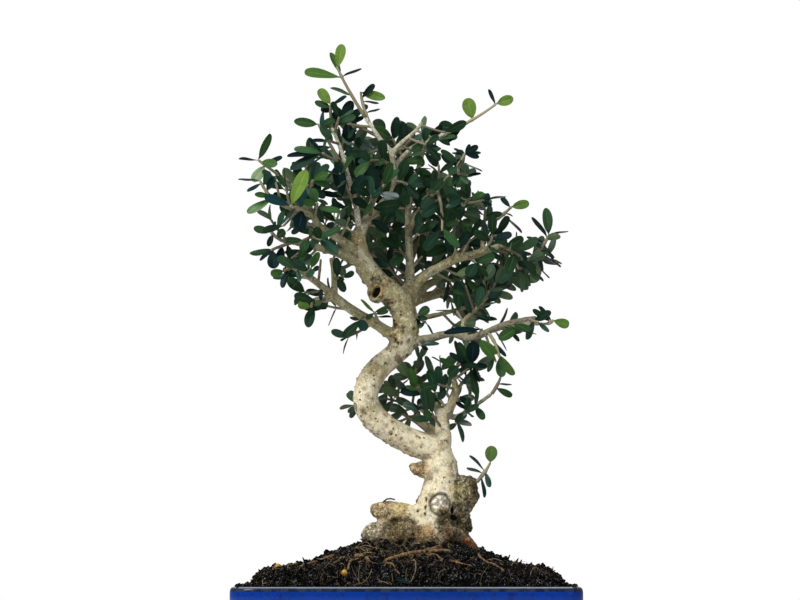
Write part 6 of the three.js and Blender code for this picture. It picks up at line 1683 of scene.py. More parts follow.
def tree_piece(look):
    """The trunk, its roots and all its limbs in one skin of bark."""
    skin = skinned(bare_wood(), look.skin * (1))
    points = relaxed(points_of(skin), edges_of(skin), 0.55, 6)
    grain, local, owner = grain_of(points)
    thick = smooth_step(4, 8, local)[:, None]
    points = points + (relaxed(points, edges_of(skin), 0.5, 8) - points) * thick
    skin.vertices.foreach_set("co", (points * MM).ravel())
    skin.update()
    normals = np.empty(len(points) * 3)
    skin.vertex_normals.foreach_get("vector", normals)
    normals = normals.reshape(-1, 3)

    rough = roughness_over(points, owner)
    height, dark = crust_over(points, grain, local, rough)
    warts, wart_brown = warts_over(points, normals, local)
    height += warts * (1 - 0.6 * rough)
    move = normals * height[:, None]
    for scar in SCARS.values():
        shift, shade = scar_over(points, normals, scar)
        calm_here = 1 - np.clip(shade * 1.2, 0, 1)
        move = move * calm_here[:, None] + shift
        dark = np.maximum(dark, shade)
    pits = pits_over(points, normals, local)
    dark = np.maximum(dark, 0.65 * pits)
    move -= normals * (0.5 * pits)[:, None]
    over_soil = np.maximum(0, points[:, 2] - soil_height(points[:, 0], points[:, 1]))
    brown = np.maximum(smooth_step(12, 3, over_soil), 0.3 * rough)
    brown *= 0.65 + 0.5 * noise_over(points, 6, 8.0)
    brown = np.maximum(np.maximum(brown, wart_brown), pits)
    dark = np.maximum(dark, 0.35 * wart_brown)
    # Painted shade where the trunk meets the soil: darker within 4 mm of it.
    dark = np.maximum(dark, 0.55 * smooth_step(4, 0.5, over_soil))
    shoot = smooth_step(4.2, 1.8, local)
    points = points + move
    skin.vertices.foreach_set("co", (points * MM).ravel())
    skin.polygons.foreach_set("use_smooth", [True] * len(skin.polygons))
    skin.update()
    # The marks: roughness; dark, which is dark pits, warts and cracks and painted shade in creases,
    # hollows, grooves and at the soil line; brown; and thin shoots.
    marks = np.clip(np.stack([rough, dark, brown, shoot], axis=1), 0, 1)
    put_marks(skin, marks, grain)
    layer = skin.color_attributes.new("tint", "FLOAT_COLOR", "POINT")
    layer.data.foreach_set("color", tint_over(points, owner).ravel())
    return show("olive_wood", skin, [bark_finish(look)], "bark", "tree")


# ---------------------------------------------------------------- leaves

BLADE_ROWS = np.array([0, 0.06, 0.12, 0.22, 0.35, 0.5, 0.64, 0.77, 0.87, 0.94, 0.982, 1])
BLADE_COLUMNS = np.linspace(-1, 1, 7)
STALK = 0.07


def blade_faces():
    """The faces of a blade's upper skin and, after it, of its lower skin."""
    rows, columns = len(BLADE_ROWS), len(BLADE_COLUMNS)
    upper = [(i * columns + j, (i + 1) * columns + j, (i + 1) * columns + j + 1, i * columns + j + 1)
             for i in range(rows - 1) for j in range(columns - 1)]
    below = rows * columns
    return upper + [tuple(below + corner for corner in reversed(face)) for face in upper]


BLADE_FACES = blade_faces()


def add_blade(shell, leaf, seed, youth):
    """A folded, bowed blade on its short stalk."""
    rng = np.random.default_rng(seed)
    tone = rng.random()
    fold, arch = rng.uniform(0.06, 0.26), rng.uniform(0.02, 0.1)
    twist, phase = rng.normal(0, 0.16), rng.uniform(0, 6)
    full, blunt = rng.uniform(0.6, 0.85), rng.uniform(0.4, 0.56)
    v, u = np.meshgrid(BLADE_ROWS, BLADE_COLUMNS, indexing="ij")
    q = np.clip((v - STALK) / (1 - STALK), 0, 1)
    peak = (full / (full + blunt)) ** full * (blunt / (full + blunt)) ** blunt
    half = leaf.width / 2 * q ** full * (1 - q) ** blunt / peak
    half = np.maximum(half, np.where(v < 0.4, 0.34, 0.02))
    height = (fold * half * (np.abs(u) - 0.35 * u ** 4) - arch * leaf.length * v ** 2
              + 0.16 * np.abs(u) * np.sin(6 * v + phase) * np.minimum(half, 1.5))
    turn = (twist * (v - 0.3))[..., None]
    side = leaf.side * np.cos(turn) + leaf.face * np.sin(turn)
    face = leaf.face * np.cos(turn) - leaf.side * np.sin(turn)
    upper = (leaf.base + leaf.way * (v * leaf.length)[..., None] + side * (u * half)[..., None]
             + face * height[..., None])
    thick = 0.12 + 0.3 * (1 - u ** 2) * np.minimum(1, half / 1.6) + np.where(v < 0.1, 0.3, 0)
    lower = upper - face * thick[..., None]
    points = np.concatenate([upper.reshape(-1, 3), lower.reshape(-1, 3)])
    count = v.size
    marks = np.zeros((2 * count, 4))
    marks[:, 0] = tone
    marks[count:, 1] = 1
    marks[:, 2] = np.clip(youth + rng.normal(0, 0.05), 0, 1)
    marks[:, 3] = 1
    place = np.stack([(u.ravel() + 1) / 2, v.ravel()], axis=1)
    shell.add(points, BLADE_FACES, 0, marks, np.concatenate([place, place]))


def add_stem(shell, stem, places, youth):
    """A twig with a small swelling under each pair of leaves and a bud at its tip."""
    steps = 14
    t = np.linspace(0, 1, steps + 1)
    points = np.array([stem.point(s) for s in t])
    radii = np.array([stem.radius(s) for s in t])
    for place in places:
        radii = radii * (1 + 0.22 * np.exp(-(((t - place) * stem.reach / 1.1) ** 2)))
    radii[-1] *= 0.7
    rings, faces, grain = tube(points, radii, 8, pointed=True)
    grain[:, 2] += 31.0 * stem.number
    shell.add(rings, faces, 1, (stem.number * 0.37 % 1, 0, youth, 1), grain=grain)


def spray_pieces(look):
    """One piece for each leafy spray, in the place of its node."""
    plants, _, _ = grown_crown()
    leaf = leaf_finish("olive_leaf", tuple(look.mature), tuple(look.young), tuple(look.under))
    twig = twig_finish("olive_twig", linear(0x68634f), linear(0x8a8768))
    for index, (spray, (stems, leaves)) in enumerate(zip(SPRAYS, plants)):
        name, age = spray[0], spray[7]
        shell = Shell()
        for stem in stems:
            places = sorted({grown.place for grown in leaves if grown.stem is stem})
            add_stem(shell, stem, places, 0.9 if age == "young" else 0.2)
        for k, grown in enumerate(leaves):
            seed = SPRAY_LEAVES * index + k
            add_blade(shell, grown, seed, leaf_youth(grown, age, seed))
        slot = "leaf_young" if age == "young" else "leaf_mature"
        show(f"leaves_{name}", shell.mesh(f"leaves_{name}"), [leaf, twig], slot, f"spray_{name}")
    return leaf, twig


def leaf_youth(leaf, age, seed):
    """How fresh a leaf is: 1 for the newest at a young twig's tip."""
    if leaf.youth is not None:
        return leaf.youth
    luck = np.random.default_rng(seed + 5).random()
    if age == "young":
        return 0.55 + 0.45 * leaf.place * (0.7 + 0.3 * luck)
    return 0.05 + (0.45 * (luck - 0.86) / 0.14 if luck > 0.86 else 0.12 * luck) + 0.1 * leaf.place


# Extra twigs are gathered into a few pieces by the limbs that carry them.
TWIG_GROUPS = {
    "left_boughs": ["left_mid", "left_upper", "left_upper_out", "left_upper_rise"],
    "left_low_boughs": ["left_low", "left_low_rise", "left_low_out", "left_low_drop"],
    "crown": ["pale_shoot", "leader_right", "crown_post", "top_shoot", "crown_fork", "upper_right"],
    "right_boughs": ["right_leader", "right_upper", "right_upper_twig", "right_mid", "far_right",
                     "out_right", "front_right"],
    "right_low_boughs": ["right_back", "right_thin", "right_low", "right_low_rise"],
    "low_side": ["low_side", "low_side_right", "low_side_left", "low_side_out", "low_back",
                 "low_back_two"],
    "back": ["back_rise", "back_left", "back_right", "back_top"],
}


def twigs_piece(name, plants, first_seed, leaf, twig):
    """One piece of small twigs and their leaves."""
    shell = Shell()
    for stem, leaves in plants:
        add_stem(shell, stem, sorted({grown.place for grown in leaves}), 0.1)
        for k, grown in enumerate(leaves):
            seed = first_seed + TWIG_LEAVES * stem.number + k
            add_blade(shell, grown, seed, leaf_youth(grown, "mature", seed))
    return show(name, shell.mesh(name), [leaf, twig], "leaf_mature")


def inner_pieces(leaf, twig):
    """The extra twigs that fill the crown, a piece for each group of limbs."""
    _, twigs, _ = grown_crown()
    for group, limbs in TWIG_GROUPS.items():
        plants = [plant for limb in limbs for plant in twigs[limb]]
        twigs_piece(f"inner_leaves_{group}", plants, INNER_SEED, leaf, twig)


def front_piece(leaf, twig):
    """The listed twigs at the front of the crown."""
    *_, front = grown_crown()
    return twigs_piece("front_leaves", front, FRONT_SEED, leaf, twig)


# A fallen leaf on the bed: where its stalk and its tip lie, its width, the way it faces and how
# far it lies off the crumbs.
FALLEN_LEAF = {
    "stalk": (-6.4, -68.6), "tip": (3.6, -69.0), "width": 4.0, "faces": (0.1, -0.8, 0.6), "off": 1.5,
}


def fallen_leaf(leaf):
    """One dark leaf that lies on the soil."""
    base, tip = (np.array((x, y, soil_top(x, y) + FALLEN_LEAF["off"]))
                 for x, y in (FALLEN_LEAF["stalk"], FALLEN_LEAF["tip"]))
    way = unit(tip - base)
    faces = np.array(FALLEN_LEAF["faces"])
    face = unit(faces - way * (faces @ way))
    fallen = SimpleNamespace(base=base, way=way, face=face, side=np.cross(face, way),
                             length=np.linalg.norm(tip - base), width=FALLEN_LEAF["width"])
    shell = Shell()
    add_blade(shell, fallen, FALLEN_SEED, 0)
    return show("fallen_leaf", shell.mesh("fallen_leaf"), [leaf], "leaf_mature")


# ---------------------------------------------------------------- soil


BED_GRID, QUICK_BED_GRID = (278, 206), (120, 90)
# Crumbs that are spilt on the rim.
RIM_CRUMBS = 260


def corner_radius(inset):
    """The radius of the pot's corners at an inset from the rim's edge."""
    return max(POT["corner"] - 0.6 * inset, 4)


def pot_outline(inset, arc_steps, along):
    """The rim's rounded rectangle, drawn in by an inset, anticlockwise from its right side."""
    return rounded_rectangle(POT["width"] / 2 - inset, POT["depth"] / 2 - inset,
                             corner_radius(inset), arc_steps, along)


def rounded_rectangle(half_x, half_y, radius, arc_steps, along):
    """A rounded rectangle's points. along is how many stand between corners, by side."""
    points = []
    for corner in range(4):
        sign_x = 1 if corner in (0, 3) else -1
        sign_y = 1 if corner < 2 else -1
        for k in range(arc_steps + 1):
            turn = (corner + k / arc_steps) * math.pi / 2
            points.append((sign_x * (half_x - radius) + radius * math.cos(turn),
                           sign_y * (half_y - radius) + radius * math.sin(turn)))
        level = corner % 2 == 0
        start = points[-1]
        end = (-start[0], start[1]) if level else (start[0], -start[1])
        count = along[0 if level else 1]
        for k in range(1, count + 1):
            part = k / (count + 1)
            points.append((start[0] + (end[0] - start[0]) * part, start[1] + (end[1] - start[1]) * part))
    return np.array(points)


def wall_inset(z):
    """How far in from the rim's edge the pot's outer wall stands at a height."""
    shoulder = RIM - POT["lip"]
    return POT["overhang"] + POT["taper"] * (shoulder - z) / (shoulder - POT["foot"])


def soil_bed(look):
    """The crumbed bed of soil, down to the pot's floor."""
    inset = POT["overhang"] + POT["wall"] + 0.3
    half_x, half_y = POT["width"] / 2 - inset, POT["depth"] / 2 - inset
    radius = corner_radius(inset)
    columns, rows = BED_GRID
    s, t = np.meshgrid(np.linspace(-1, 1, columns), np.linspace(-1, 1, rows), indexing="ij")
    reach = np.maximum(np.maximum(np.abs(s), np.abs(t)), 1e-9)
    x, y = s / reach * half_x, t / reach * half_y
    over_x, over_y = np.abs(x) - (half_x - radius), np.abs(y) - (half_y - radius)
    corner = (over_x > 0) & (over_y > 0)
    pull = np.where(corner, radius / np.maximum(np.hypot(over_x, over_y), 1e-9), 1)
    x = np.where(corner, np.sign(x) * (half_x - radius + over_x * pull), x) * reach
    y = np.where(corner, np.sign(y) * (half_y - radius + over_y * pull), y) * reach
    z = np.array([soil_top(a, b) for a, b in zip(x.ravel(), y.ravel())])
    top = np.stack([x.ravel(), y.ravel(), z], axis=1)
    faces = [(i * rows + j, (i + 1) * rows + j, (i + 1) * rows + j + 1, i * rows + j + 1)
             for i in range(columns - 1) for j in range(rows - 1)]
    border = ([i * rows for i in range(columns)] + [(columns - 1) * rows + j for j in range(1, rows)]
              + [i * rows + rows - 1 for i in range(columns - 2, -1, -1)]
              + list(range(rows - 2, 0, -1)))
    floor_z = POT["foot"] + POT["floor"] + 1.6
    rings = [top]
    ring_starts = []
    total = len(top)
    for level in (RIM - 2, floor_z + 3, floor_z):
        drawn = max(0.0, wall_inset(level) - POT["overhang"]) if level < RIM - 2 else 0.0
        shrink = np.array([(half_x - drawn) / half_x, (half_y - drawn) / half_y])
        ring = np.column_stack([top[border, :2] * shrink, np.full(len(border), level)])
        rings.append(ring)
        ring_starts.append(total)
        total += len(ring)
    count = len(border)
    above = border
    for start in ring_starts:
        ring = list(range(start, start + count))
        faces += [(above[(k + 1) % count], above[k], ring[k], ring[(k + 1) % count])
                  for k in range(count)]
        above = ring
    faces.append(tuple(reversed(above)))
    shell = Shell()
    shell.add(np.concatenate(rings), faces)
    return show("soil_bed", shell.mesh("soil_bed"), [peat_finish(look)], "soil", "soil")


def crumb_shapes(rng):
    """A few ragged lumps of 1 mm to copy about the bed."""
    shapes = []
    for k in range(10):
        points, faces = sphere((0, 0, 0), (0.5, 0.5, 0.5), 5 if k % 2 else 4, 6)
        points = points * (1 + 0.55 * noise_over(points, 0.45, 20.0 + 3 * k))[:, None]
        shapes.append((points * rng.uniform(0.6, 1.25, 3), faces))
    return shapes


def random_turn(rng):
    """A rotation as three rows."""
    first = unit(rng.normal(size=3))
    second = rng.normal(size=3)
    second = unit(second - first * (second @ first))
    return np.array([first, second, np.cross(first, second)])


def soil_crumbs(look):
    """Loose crumbs and bark chips on the bed, and a few spilt on the rim."""
    rng = np.random.default_rng(CRUMB_SEED)
    shapes = crumb_shapes(rng)
    shell = Shell()
    places = []
    for _ in range(look.crumbs // (1)):
        x, y = rng.uniform(-93.5, 93.5), rng.uniform(-68.5, 68.5)
        if rng.random() < 0.35:
            y = -69 + abs(rng.normal(0, 9))
        size = 0.7 + 3.1 * rng.random() ** 3.4
        places.append((x, y, soil_top(x, y) + 0.18 * size, size))
    for _ in range(RIM_CRUMBS):
        side = rng.choice([-1, 1], p=[0.6, 0.4])
        x, y = side * (93 + 8.5 * rng.random() ** 1.5), rng.uniform(-76, 72)
        if rng.random() < 0.3:
            x, y = side * (100 - 26 * rng.random() ** 2), -rng.uniform(69.5, 75.5)
        size = rng.uniform(0.5, 3.0)
        places.append((x, y, RIM + 0.25 * size, size))
    for x, y, z, size in places:
        points, faces = shapes[rng.integers(len(shapes))]
        if rng.random() < 0.12 and z > RIM + 1:
            points = points * (0.5, 0.5, 2.6)
        tone = rng.random() ** 3 * (0.9 if size < 1.4 else 0.1)
        shell.add(points @ random_turn(rng) * size + (x, y, z), faces, 0, (tone, 0, 0, 1))
    return show("soil_crumbs", shell.mesh("soil_crumbs", smooth=False), [peat_finish(look)], "soil")


def soil_fibres(look):
    """Fine pale roots and dark straws that lie over the bed."""
    rng = np.random.default_rng(FIBRE_SEED)
    shell = Shell()
    for _ in range(look.fibres):
        x, y = rng.uniform(-90, 90), rng.uniform(-66, 66)
        if rng.random() < 0.5:
            y = -67 + abs(rng.normal(0, 16))
        if rng.random() < 0.4:
            x, y = rng.normal(-18, 20), rng.normal(-40, 15)
        length = rng.uniform(3, 13)
        way = rng.uniform(0, 2 * math.pi)
        bend = rng.normal(0, 0.16)
        lift = rng.uniform(0.2, 2.2)
        steps = 9
        points = []
        for k in range(steps + 1):
            x_now, y_now = np.clip(x, -94, 94), np.clip(y, -69, 69)
            height = soil_top(x_now, y_now) - 0.25 + lift * math.sin(math.pi * k / steps)
            points.append((x_now, y_now, height))
            x += math.cos(way) * length / steps
            y += math.sin(way) * length / steps
            way += bend + rng.normal(0, 0.25)
        points = np.array(points)
        points[1:-1] = (points[:-2] + 2 * points[1:-1] + points[2:]) / 4
        thick = rng.uniform(0.1, 0.26)
        radii = thick * np.linspace(1, 0.5, steps + 1)
        tone = rng.random() ** 1.6
        rings, faces, grain = tube(points, radii, 5)
        shell.add(rings, faces, 0, (tone, 0, 0, 1), grain=grain)
    return show("soil_fibres", shell.mesh("soil_fibres"), [fibre_finish()], "soil")


def surface_roots(look):
    """Woody roots that run over the soil and dip into it."""
    shell = Shell()
    for index, root in enumerate(SURFACE_ROOTS):
        stations = np.array([(x, y, float(soil_height(x, y)) + up) for x, y, up, _ in root])
        thick = [0.78 * r for *_, r in root]
        t = np.linspace(0, 1, (len(root) - 1) * 7 + 1)
        points = np.array([limb_point(stations, s) for s in t])
        points += np.stack([noise_over(points, 6, 3.0 * index + k) for k in range(3)], axis=1) * 0.6
        radii = np.interp(t * (len(root) - 1), range(len(root)), thick)
        radii = radii * (1 + 0.16 * noise_over(points, 2.3, 40.0 + index))
        rings, faces, grain = tube(points, radii, 12)
        shell.add(rings, faces, 0, (0.5, 0, 0, 1), grain=grain)
    return show("surface_roots", shell.mesh("surface_roots"), [root_finish(look)], "bark")


# The dry twiglet: x, y, z and radius.
DRY_TWIG = [(-14.6, -6, 114.5, 0.55), (-14.1, -6, 117.1, 0.5), (-12.0, -6, 118.7, 0.5),
            (-9.5, -6.2, 118.9, 0.5), (-6.9, -6.4, 118.3, 0.45)]


def dry_twig():
    """A dead black twiglet on top of the root stub."""
    shell = Shell()
    rings, faces, grain = tube([p[:3] for p in DRY_TWIG], [p[3] for p in DRY_TWIG], 7)
    shell.add(rings, faces, 0, (0.02, 0, 0, 1), grain=grain)
    return show("dry_twig", shell.mesh("dry_twig"), [fibre_finish()], "bark")


def granules():
    """Two granules of fertiliser in their nodes' places."""
    finish = granule_finish()
    for index, (x, y, radius) in enumerate(GRANULES):
        z = float(soil_height(x, y)) + radius / 3
        points, faces = sphere((0, 0, 0), (radius, radius, radius * 0.95), 14, 20)
        points = points * (1 + 0.03 * noise_over(points, 1.2, 3.0 * index))[:, None]
        shell = Shell()
        shell.add(points + (x, y, z), faces)
        name = f"granule_{index + 1}"
        show(name, shell.mesh(name), [finish], "bead", f"fertiliser_bead_{index + 1}")


# ---------------------------------------------------------------- pot

# The lip's section, from the body up over the rim and down inside: inset and depth under the rim.
LIP_SECTION = [
    (4.0, 12.4), (3.7, 11.7), (2.6, 11.2), (1.3, 10.9), (0.5, 10.3), (0.12, 9.4), (0.0, 8.2),
    (0.0, 5.5), (0.0, 3.2), (0.2, 1.9), (0.7, 0.9), (1.6, 0.25), (2.8, 0.0), (5.2, 0.0),
    (7.4, 0.05), (8.7, 0.4), (9.5, 1.2), (9.9, 2.4), (10.0, 4.0),
]
# A foot's section, from the floor up into the pot: inset and height.
FOOT_SECTION = [(1.6, 0), (0.5, 0.3), (0.1, 1.1), (0, 2.4), (0, 5.5), (-0.4, 6.6), (-0.6, 7.6)]
# The drill that cuts the drain holes: its lower and its upper end.
DRILL_ENDS = [2.0, 18.0]


def pot_section():
    """The pot's section from its foot up the outside, over the lip and down the inside: inset from
    the rim's edge, height, and 1 where the clay is bare."""
    foot, floor_z = POT["foot"], POT["foot"] + POT["floor"]
    section = [(wall_inset(foot) + 3, foot, 1), (wall_inset(foot) + 1.2, foot, 1),
               (wall_inset(foot) + 0.3, foot + 0.5, 1)]
    for k in range(13):
        z = foot + 1.6 + (RIM - 13.4 - foot - 1.6) * k / 12
        section.append((wall_inset(z) - 0.7 * math.sin(math.pi * k / 12), z, 0))
    section += [(inset, RIM - depth, 0) for inset, depth in LIP_SECTION]
    for z in (54.0, 41.0, 28.0, 18.0):
        section.append((wall_inset(min(z, RIM - POT["lip"])) + POT["wall"], z, 1))
    inner = wall_inset(floor_z + 4) + POT["wall"]
    section += [(inner + 0.4, floor_z + 2.6, 1), (inner + 1.6, floor_z + 0.8, 1),
                (inner + 3.4, floor_z, 1)]
    return section


def ringed_body(outlines, heights, finishes, shell):
    """A closed body of rings, capped at both ends; finishes has one for each band and cap."""
    count = len(outlines[0])
    points = np.concatenate([np.column_stack([outline, np.full(count, z)])
                             for outline, z in zip(outlines, heights)])
    for k in range(len(outlines) - 1):
        band = points[k * count:(k + 2) * count]
        faces = [(i, (i + 1) % count, count + (i + 1) % count, count + i) for i in range(count)]
        shell.add(band, faces, finishes[k])
    shell.add(points[:count], [tuple(range(count - 1, -1, -1))], finishes[0])
    shell.add(points[-count:], [tuple(range(count))], finishes[-1])


def welded(mesh):
    """The mesh with points that coincide joined."""
    body = bmesh.new()
    body.from_mesh(mesh)
    bmesh.ops.remove_doubles(body, verts=body.verts, dist=1e-6)
    bmesh.ops.recalc_face_normals(body, faces=body.faces)
    body.to_mesh(mesh)
    body.free()
    return mesh


def cut(mesh, cutter_mesh):
    """A mesh less another."""
    body = bpy.data.objects.new("pot_blank", mesh)
    cutter = bpy.data.objects.new("drain_cutter", cutter_mesh)
    for piece in (body, cutter):
        bpy.context.scene.collection.objects.link(piece)
    hole = body.modifiers.new("drain", "BOOLEAN")
    hole.operation = "DIFFERENCE"
    hole.object = cutter
    hole.solver = "EXACT"
    graph = bpy.context.evaluated_depsgraph_get()
    made = bpy.data.meshes.new_from_object(body.evaluated_get(graph))
    for piece in (body, cutter):
        bpy.data.objects.remove(piece)
    return made


def pot_piece(look):
    """The glazed pot with its bare feet and two drain holes."""
    section = pot_section()
    arc, along = 10, (30, 22)
    shell = Shell()
    ringed_body([pot_outline(inset, arc, along) for inset, _, _ in section],
                [z for _, z, _ in section], [bare for _, _, bare in section], shell)
    body = welded(shell.mesh("pot_blank"))
    drill = Shell()
    for x in (-POT["drain_offset"], POT["drain_offset"]):
        turns = np.arange(40) * math.pi / 20
        ring = np.column_stack([x + POT["drain"] * np.cos(turns), POT["drain"] * np.sin(turns)])
        ringed_body([ring, ring], DRILL_ENDS, [0, 0], drill)
    body = cut(body, welded(drill.mesh("drain_cutter")))
    feet = Shell()
    foot_x = POT["width"] / 2 - wall_inset(POT["foot"]) - POT["foot_inset"] - POT["foot_length"] / 2
    foot_y = POT["depth"] / 2 - wall_inset(POT["foot"]) - POT["foot_inset"] - POT["foot_breadth"] / 2
    for x in (-foot_x, foot_x):
        for y in (-foot_y, foot_y):
            outlines, heights = [], []
            for inset, z in FOOT_SECTION:
                half_x, half_y = POT["foot_length"] / 2 - inset, POT["foot_breadth"] / 2 - inset
                outlines.append(rounded_rectangle(half_x, half_y, 4, 6, (8, 4)) + (x, y))
                heights.append(z)
            ringed_body(outlines, heights, [1] * len(heights), feet)
    merged = merged_mesh("glazed_pot", [body, welded(feet.mesh("pot_feet"))])
    return show("glazed_pot", merged, [glaze_finish(look), clay_finish(look)], "glaze", "pot")


def merged_mesh(name, meshes):
    """Several meshes as one, each face with its finish."""
    shell = Shell()
    for mesh in meshes:
        finishes = np.empty(len(mesh.polygons), int)
        mesh.polygons.foreach_get("material_index", finishes)
        faces = [tuple(polygon.vertices) for polygon in mesh.polygons]
        points = points_of(mesh)
        start = len(shell.faces)
        shell.add(points, faces)
        shell.finishes[start:] = [int(f) for f in finishes]
        bpy.data.meshes.remove(mesh)
    return shell.mesh(name)


def screen_finishes():
    """Gives the drain netting its finish. Its solids keep their shape."""
    finish = netting_finish()
    for name in ("drain_screen_left", "drain_screen_right"):
        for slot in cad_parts[name].material_slots:
            slot.material = finish


# ---------------------------------------------------------------- stage


# The floor's reach in millimetres and its sides.
FLOOR_REACH, FLOOR_SIDES = 2200, 180
# Lamps: name, place, target, size, which power they take, and colour. Places are in metres.
LAMPS = [
    ("key", (-0.85, -0.95, 1.45), (0, 0, 0.2), 0.9, "key", (1.0, 0.98, 0.94)),
    ("fill", (1.2, -0.9, 0.7), (0, 0, 0.2), 1.2, "fill", (0.94, 0.97, 1.0)),
    ("rim", (0.3, 1.2, 1.1), (0, 0, 0.25), 0.9, "fill", (1.0, 1.0, 1.0)),
]
CAMERA = {"place": (-0.0038, -1.26, 0.085), "up": 7.25, "lens": 89.55, "sensor": 36, "end": 40}


def light(name, place, target, size, power, colour):
    """A large soft lamp that looks at a target. Places are in metres."""
    lamp = bpy.data.lights.new(name, "AREA")
    lamp.shape = "DISK"
    lamp.size = size
    lamp.energy = power
    lamp.color = colour
    holder = bpy.data.objects.new(name, lamp)
    holder.location = place
    holder.rotation_euler = (Vector(target) - Vector(place)).to_track_quat("-Z", "Y").to_euler()
    bpy.context.scene.collection.objects.link(holder)


def set_stage(look):
    """The floor, the lamps, the sky and the camera."""
    shell = Shell()
    turns = np.arange(FLOOR_SIDES) * 2 * math.pi / FLOOR_SIDES
    rim = [FLOOR_REACH * np.cos(turns), FLOOR_REACH * np.sin(turns), np.zeros(FLOOR_SIDES)]
    shell.add(np.column_stack(rim), [tuple(range(FLOOR_SIDES))])
    floor_mesh = shell.mesh("floor")
    floor_mesh.materials.append(floor_finish(look))
    floor = bpy.data.objects.new("floor", floor_mesh)
    bpy.context.scene.collection.objects.link(floor)

    for name, place, target, size, power, colour in LAMPS:
        light(name, place, target, size, getattr(look, power), colour)

    world = bpy.data.worlds.new("studio")
    world.use_nodes = True
    tree = world.node_tree
    tree.nodes.clear()
    glow, backdrop = [tree.nodes.new("ShaderNodeBackground") for _ in range(2)]
    glow.inputs["Strength"].default_value = look.sky
    for background in (glow, backdrop):
        background.inputs["Color"].default_value = (1, 1, 1, 1)
    rays = tree.nodes.new("ShaderNodeLightPath")
    both = tree.nodes.new("ShaderNodeMixShader")
    ending = tree.nodes.new("ShaderNodeOutputWorld")
    tree.links.new(rays.outputs["Is Camera Ray"], both.inputs[0])
    tree.links.new(glow.outputs[0], both.inputs[1])
    tree.links.new(backdrop.outputs[0], both.inputs[2])
    tree.links.new(both.outputs[0], ending.inputs[0])
    bpy.context.scene.world = world
    bpy.context.scene.view_settings.view_transform = "Standard"

    camera = bpy.data.cameras.new("camera")
    camera.sensor_width = CAMERA["sensor"]
    camera.lens = CAMERA["lens"]
    camera.clip_end = CAMERA["end"]
    holder = bpy.data.objects.new("camera", camera)
    holder.location = CAMERA["place"]
    holder.rotation_euler = (math.radians(90 + CAMERA["up"]), 0, 0)
    bpy.context.scene.collection.objects.link(holder)
    bpy.context.scene.camera = holder


# ---------------------------------------------------------------- the add-on


def colour_property(name, description, code):
    """A colour that a user may change."""
    return FloatVectorProperty(name=name, description=description, subtype="COLOR", size=4, min=0, max=1,
                               default=linear(code))


class BarkLook(bpy.types.PropertyGroup):
    """Sizes and colours of the wood."""

    light: colour_property("Light bark", "Smooth bark where the light has bleached it", 0xf8edca)
    # Grey bark, laid on up the trunk, also stands in for painted shade under the crown.
    shade: colour_property("Grey bark", "Older grey bark higher up the trunk", 0xaaa47a)
    root: colour_property("Root bark", "Bark at the foot and on the surface roots", 0x80573a)
    skin: FloatProperty(name="Skin step", default=0.00087, min=0.0004, max=0.003, unit="LENGTH",
                        description="Size of the steps that the skin of bark is made in")


class LeafLook(bpy.types.PropertyGroup):
    """Colours of the leaves."""

    mature: colour_property("Mature leaf", "Upper face of a hardened leaf", 0x031318)
    young: colour_property("Young leaf", "Upper face of a leaf of this year's growth", 0x47722a)
    under: colour_property("Underside", "Lower face of a hardened leaf", 0x3c5248)


class SoilLook(bpy.types.PropertyGroup):
    """The bed of soil."""

    peat: colour_property("Peat", "Damp peat between the crumbs", 0x040405)
    root: colour_property("Surface root", "Woody roots on the soil", 0x7a5c40)
    crumbs: IntProperty(name="Crumbs", description="Loose crumbs and chips on the bed", default=2700,
                        min=0, max=4000)
    fibres: IntProperty(name="Fibres", description="Fine roots and straws on the bed", default=520,
                        min=0, max=1000)


class PotLook(bpy.types.PropertyGroup):
    """Colours of the pot."""

    glaze: colour_property("Glaze", "The glaze where it lies thick", 0x013084)
    clay: colour_property("Clay", "The bare clay of the feet and the inside", 0x80543e)


class StageLook(bpy.types.PropertyGroup):
    """Light and floor."""

    floor: colour_property("Floor", "The plain floor", 0xfafafa)
    key: FloatProperty(name="Key lamp", description="Power of the lamp at the front left", default=33.0,
                       min=0, max=500, unit="POWER")
    fill: FloatProperty(name="Fill lamps", description="Power of the lamps at the right and the back",
                        default=2.5, min=0, max=500, unit="POWER")
    sky: FloatProperty(name="Sky", description="Strength of the even white light all round", default=0.22,
                       min=0, max=5)


class BONSAI_OT_wood(bpy.types.Operator):
    """Grows the trunk, roots and limbs in one skin of bark"""

    bl_idname = "bonsai.wood"
    bl_label = "Wood"

    def execute(self, context):
        tree_piece(context.scene.bonsai_bark)
        return {"FINISHED"}


class BONSAI_OT_leaves(bpy.types.Operator):
    """Grows the leafy sprays and the extra twigs inside the crown"""

    bl_idname = "bonsai.leaves"
    bl_label = "Leaves"

    def execute(self, context):
        leaf, twig = spray_pieces(context.scene.bonsai_leaves)
        inner_pieces(leaf, twig)
        front_piece(leaf, twig)
        fallen_leaf(leaf)
        return {"FINISHED"}


class BONSAI_OT_soil(bpy.types.Operator):
    """Lays the bed of soil with its crumbs and fine roots"""

    bl_idname = "bonsai.soil"
    bl_label = "Soil"

    def execute(self, context):
        look = context.scene.bonsai_soil
        soil_bed(look)
        soil_crumbs(look)
        soil_fibres(look)
        return {"FINISHED"}


class BONSAI_OT_surface_roots(bpy.types.Operator):
    """Runs the woody roots over the soil and sets the dry twiglet"""

    bl_idname = "bonsai.surface_roots"
    bl_label = "Surface roots"

    def execute(self, context):
        surface_roots(context.scene.bonsai_soil)
        dry_twig()
        return {"FINISHED"}


class BONSAI_OT_granules(bpy.types.Operator):
    """Sets the granules of fertiliser"""

    bl_idname = "bonsai.granules"
    bl_label = "Granules"

    def execute(self, context):
        granules()
        return {"FINISHED"}


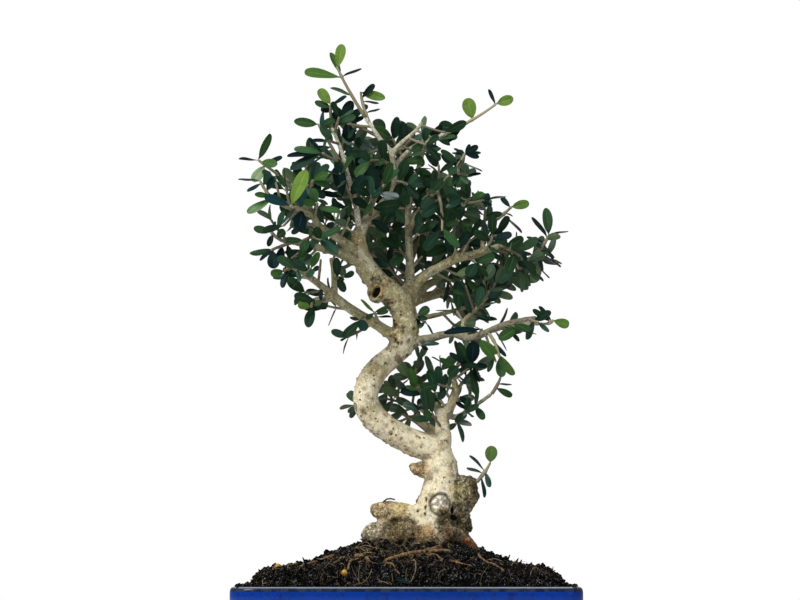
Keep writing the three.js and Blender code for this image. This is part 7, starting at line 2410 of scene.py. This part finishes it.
class BONSAI_OT_pot(bpy.types.Operator):
    """Makes the glazed pot"""

    bl_idname = "bonsai.pot"
    bl_label = "Pot"

    def execute(self, context):
        pot_piece(context.scene.bonsai_pot)
        return {"FINISHED"}


class BONSAI_OT_screens(bpy.types.Operator):
    """Finishes the netting over the drain holes"""

    bl_idname = "bonsai.screens"
    bl_label = "Drain screens"

    def execute(self, context):
        screen_finishes()
        return {"FINISHED"}


class BONSAI_OT_stage(bpy.types.Operator):
    """Sets the floor, lamps and camera"""

    bl_idname = "bonsai.stage"
    bl_label = "Stage"

    def execute(self, context):
        set_stage(context.scene.bonsai_stage)
        return {"FINISHED"}


STEPS = [BONSAI_OT_stage, BONSAI_OT_pot, BONSAI_OT_screens, BONSAI_OT_soil, BONSAI_OT_surface_roots,
         BONSAI_OT_granules, BONSAI_OT_wood, BONSAI_OT_leaves]
LOOKS = {"bonsai_bark": BarkLook, "bonsai_leaves": LeafLook, "bonsai_soil": SoilLook,
         "bonsai_pot": PotLook, "bonsai_stage": StageLook}


class BONSAI_PT_panel(bpy.types.Panel):
    """Lists the bonsai's sizes, colours and steps"""

    bl_label = "Olive bonsai"
    bl_space_type = "VIEW_3D"
    bl_region_type = "UI"
    bl_category = "Bonsai"

    def draw(self, context):
        for name, look in LOOKS.items():
            box = self.layout.box()
            for key in look.__annotations__:
                box.prop(getattr(context.scene, name), key)
        for step in STEPS:
            self.layout.operator(step.bl_idname)


def register():
    """Registers every class and gives the scene its settings."""
    for look in LOOKS.values():
        bpy.utils.register_class(look)
    for step in STEPS + [BONSAI_PT_panel]:
        bpy.utils.register_class(step)
    for name, look in LOOKS.items():
        setattr(bpy.types.Scene, name, PointerProperty(type=look))


def unregister():
    """Takes back what register did."""
    for name in LOOKS:
        delattr(bpy.types.Scene, name)
    for step in [BONSAI_PT_panel] + STEPS[::-1]:
        bpy.utils.unregister_class(step)
    for look in LOOKS.values():
        bpy.utils.unregister_class(look)


def main():
    """Runs every step in order."""
    register()
    bpy.ops.bonsai.stage()
    bpy.ops.bonsai.pot()
    bpy.ops.bonsai.screens()
    bpy.ops.bonsai.soil()
    bpy.ops.bonsai.surface_roots()
    bpy.ops.bonsai.granules()
    bpy.ops.bonsai.wood()
    bpy.ops.bonsai.leaves()
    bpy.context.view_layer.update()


if __name__ == "__main__":
    main()
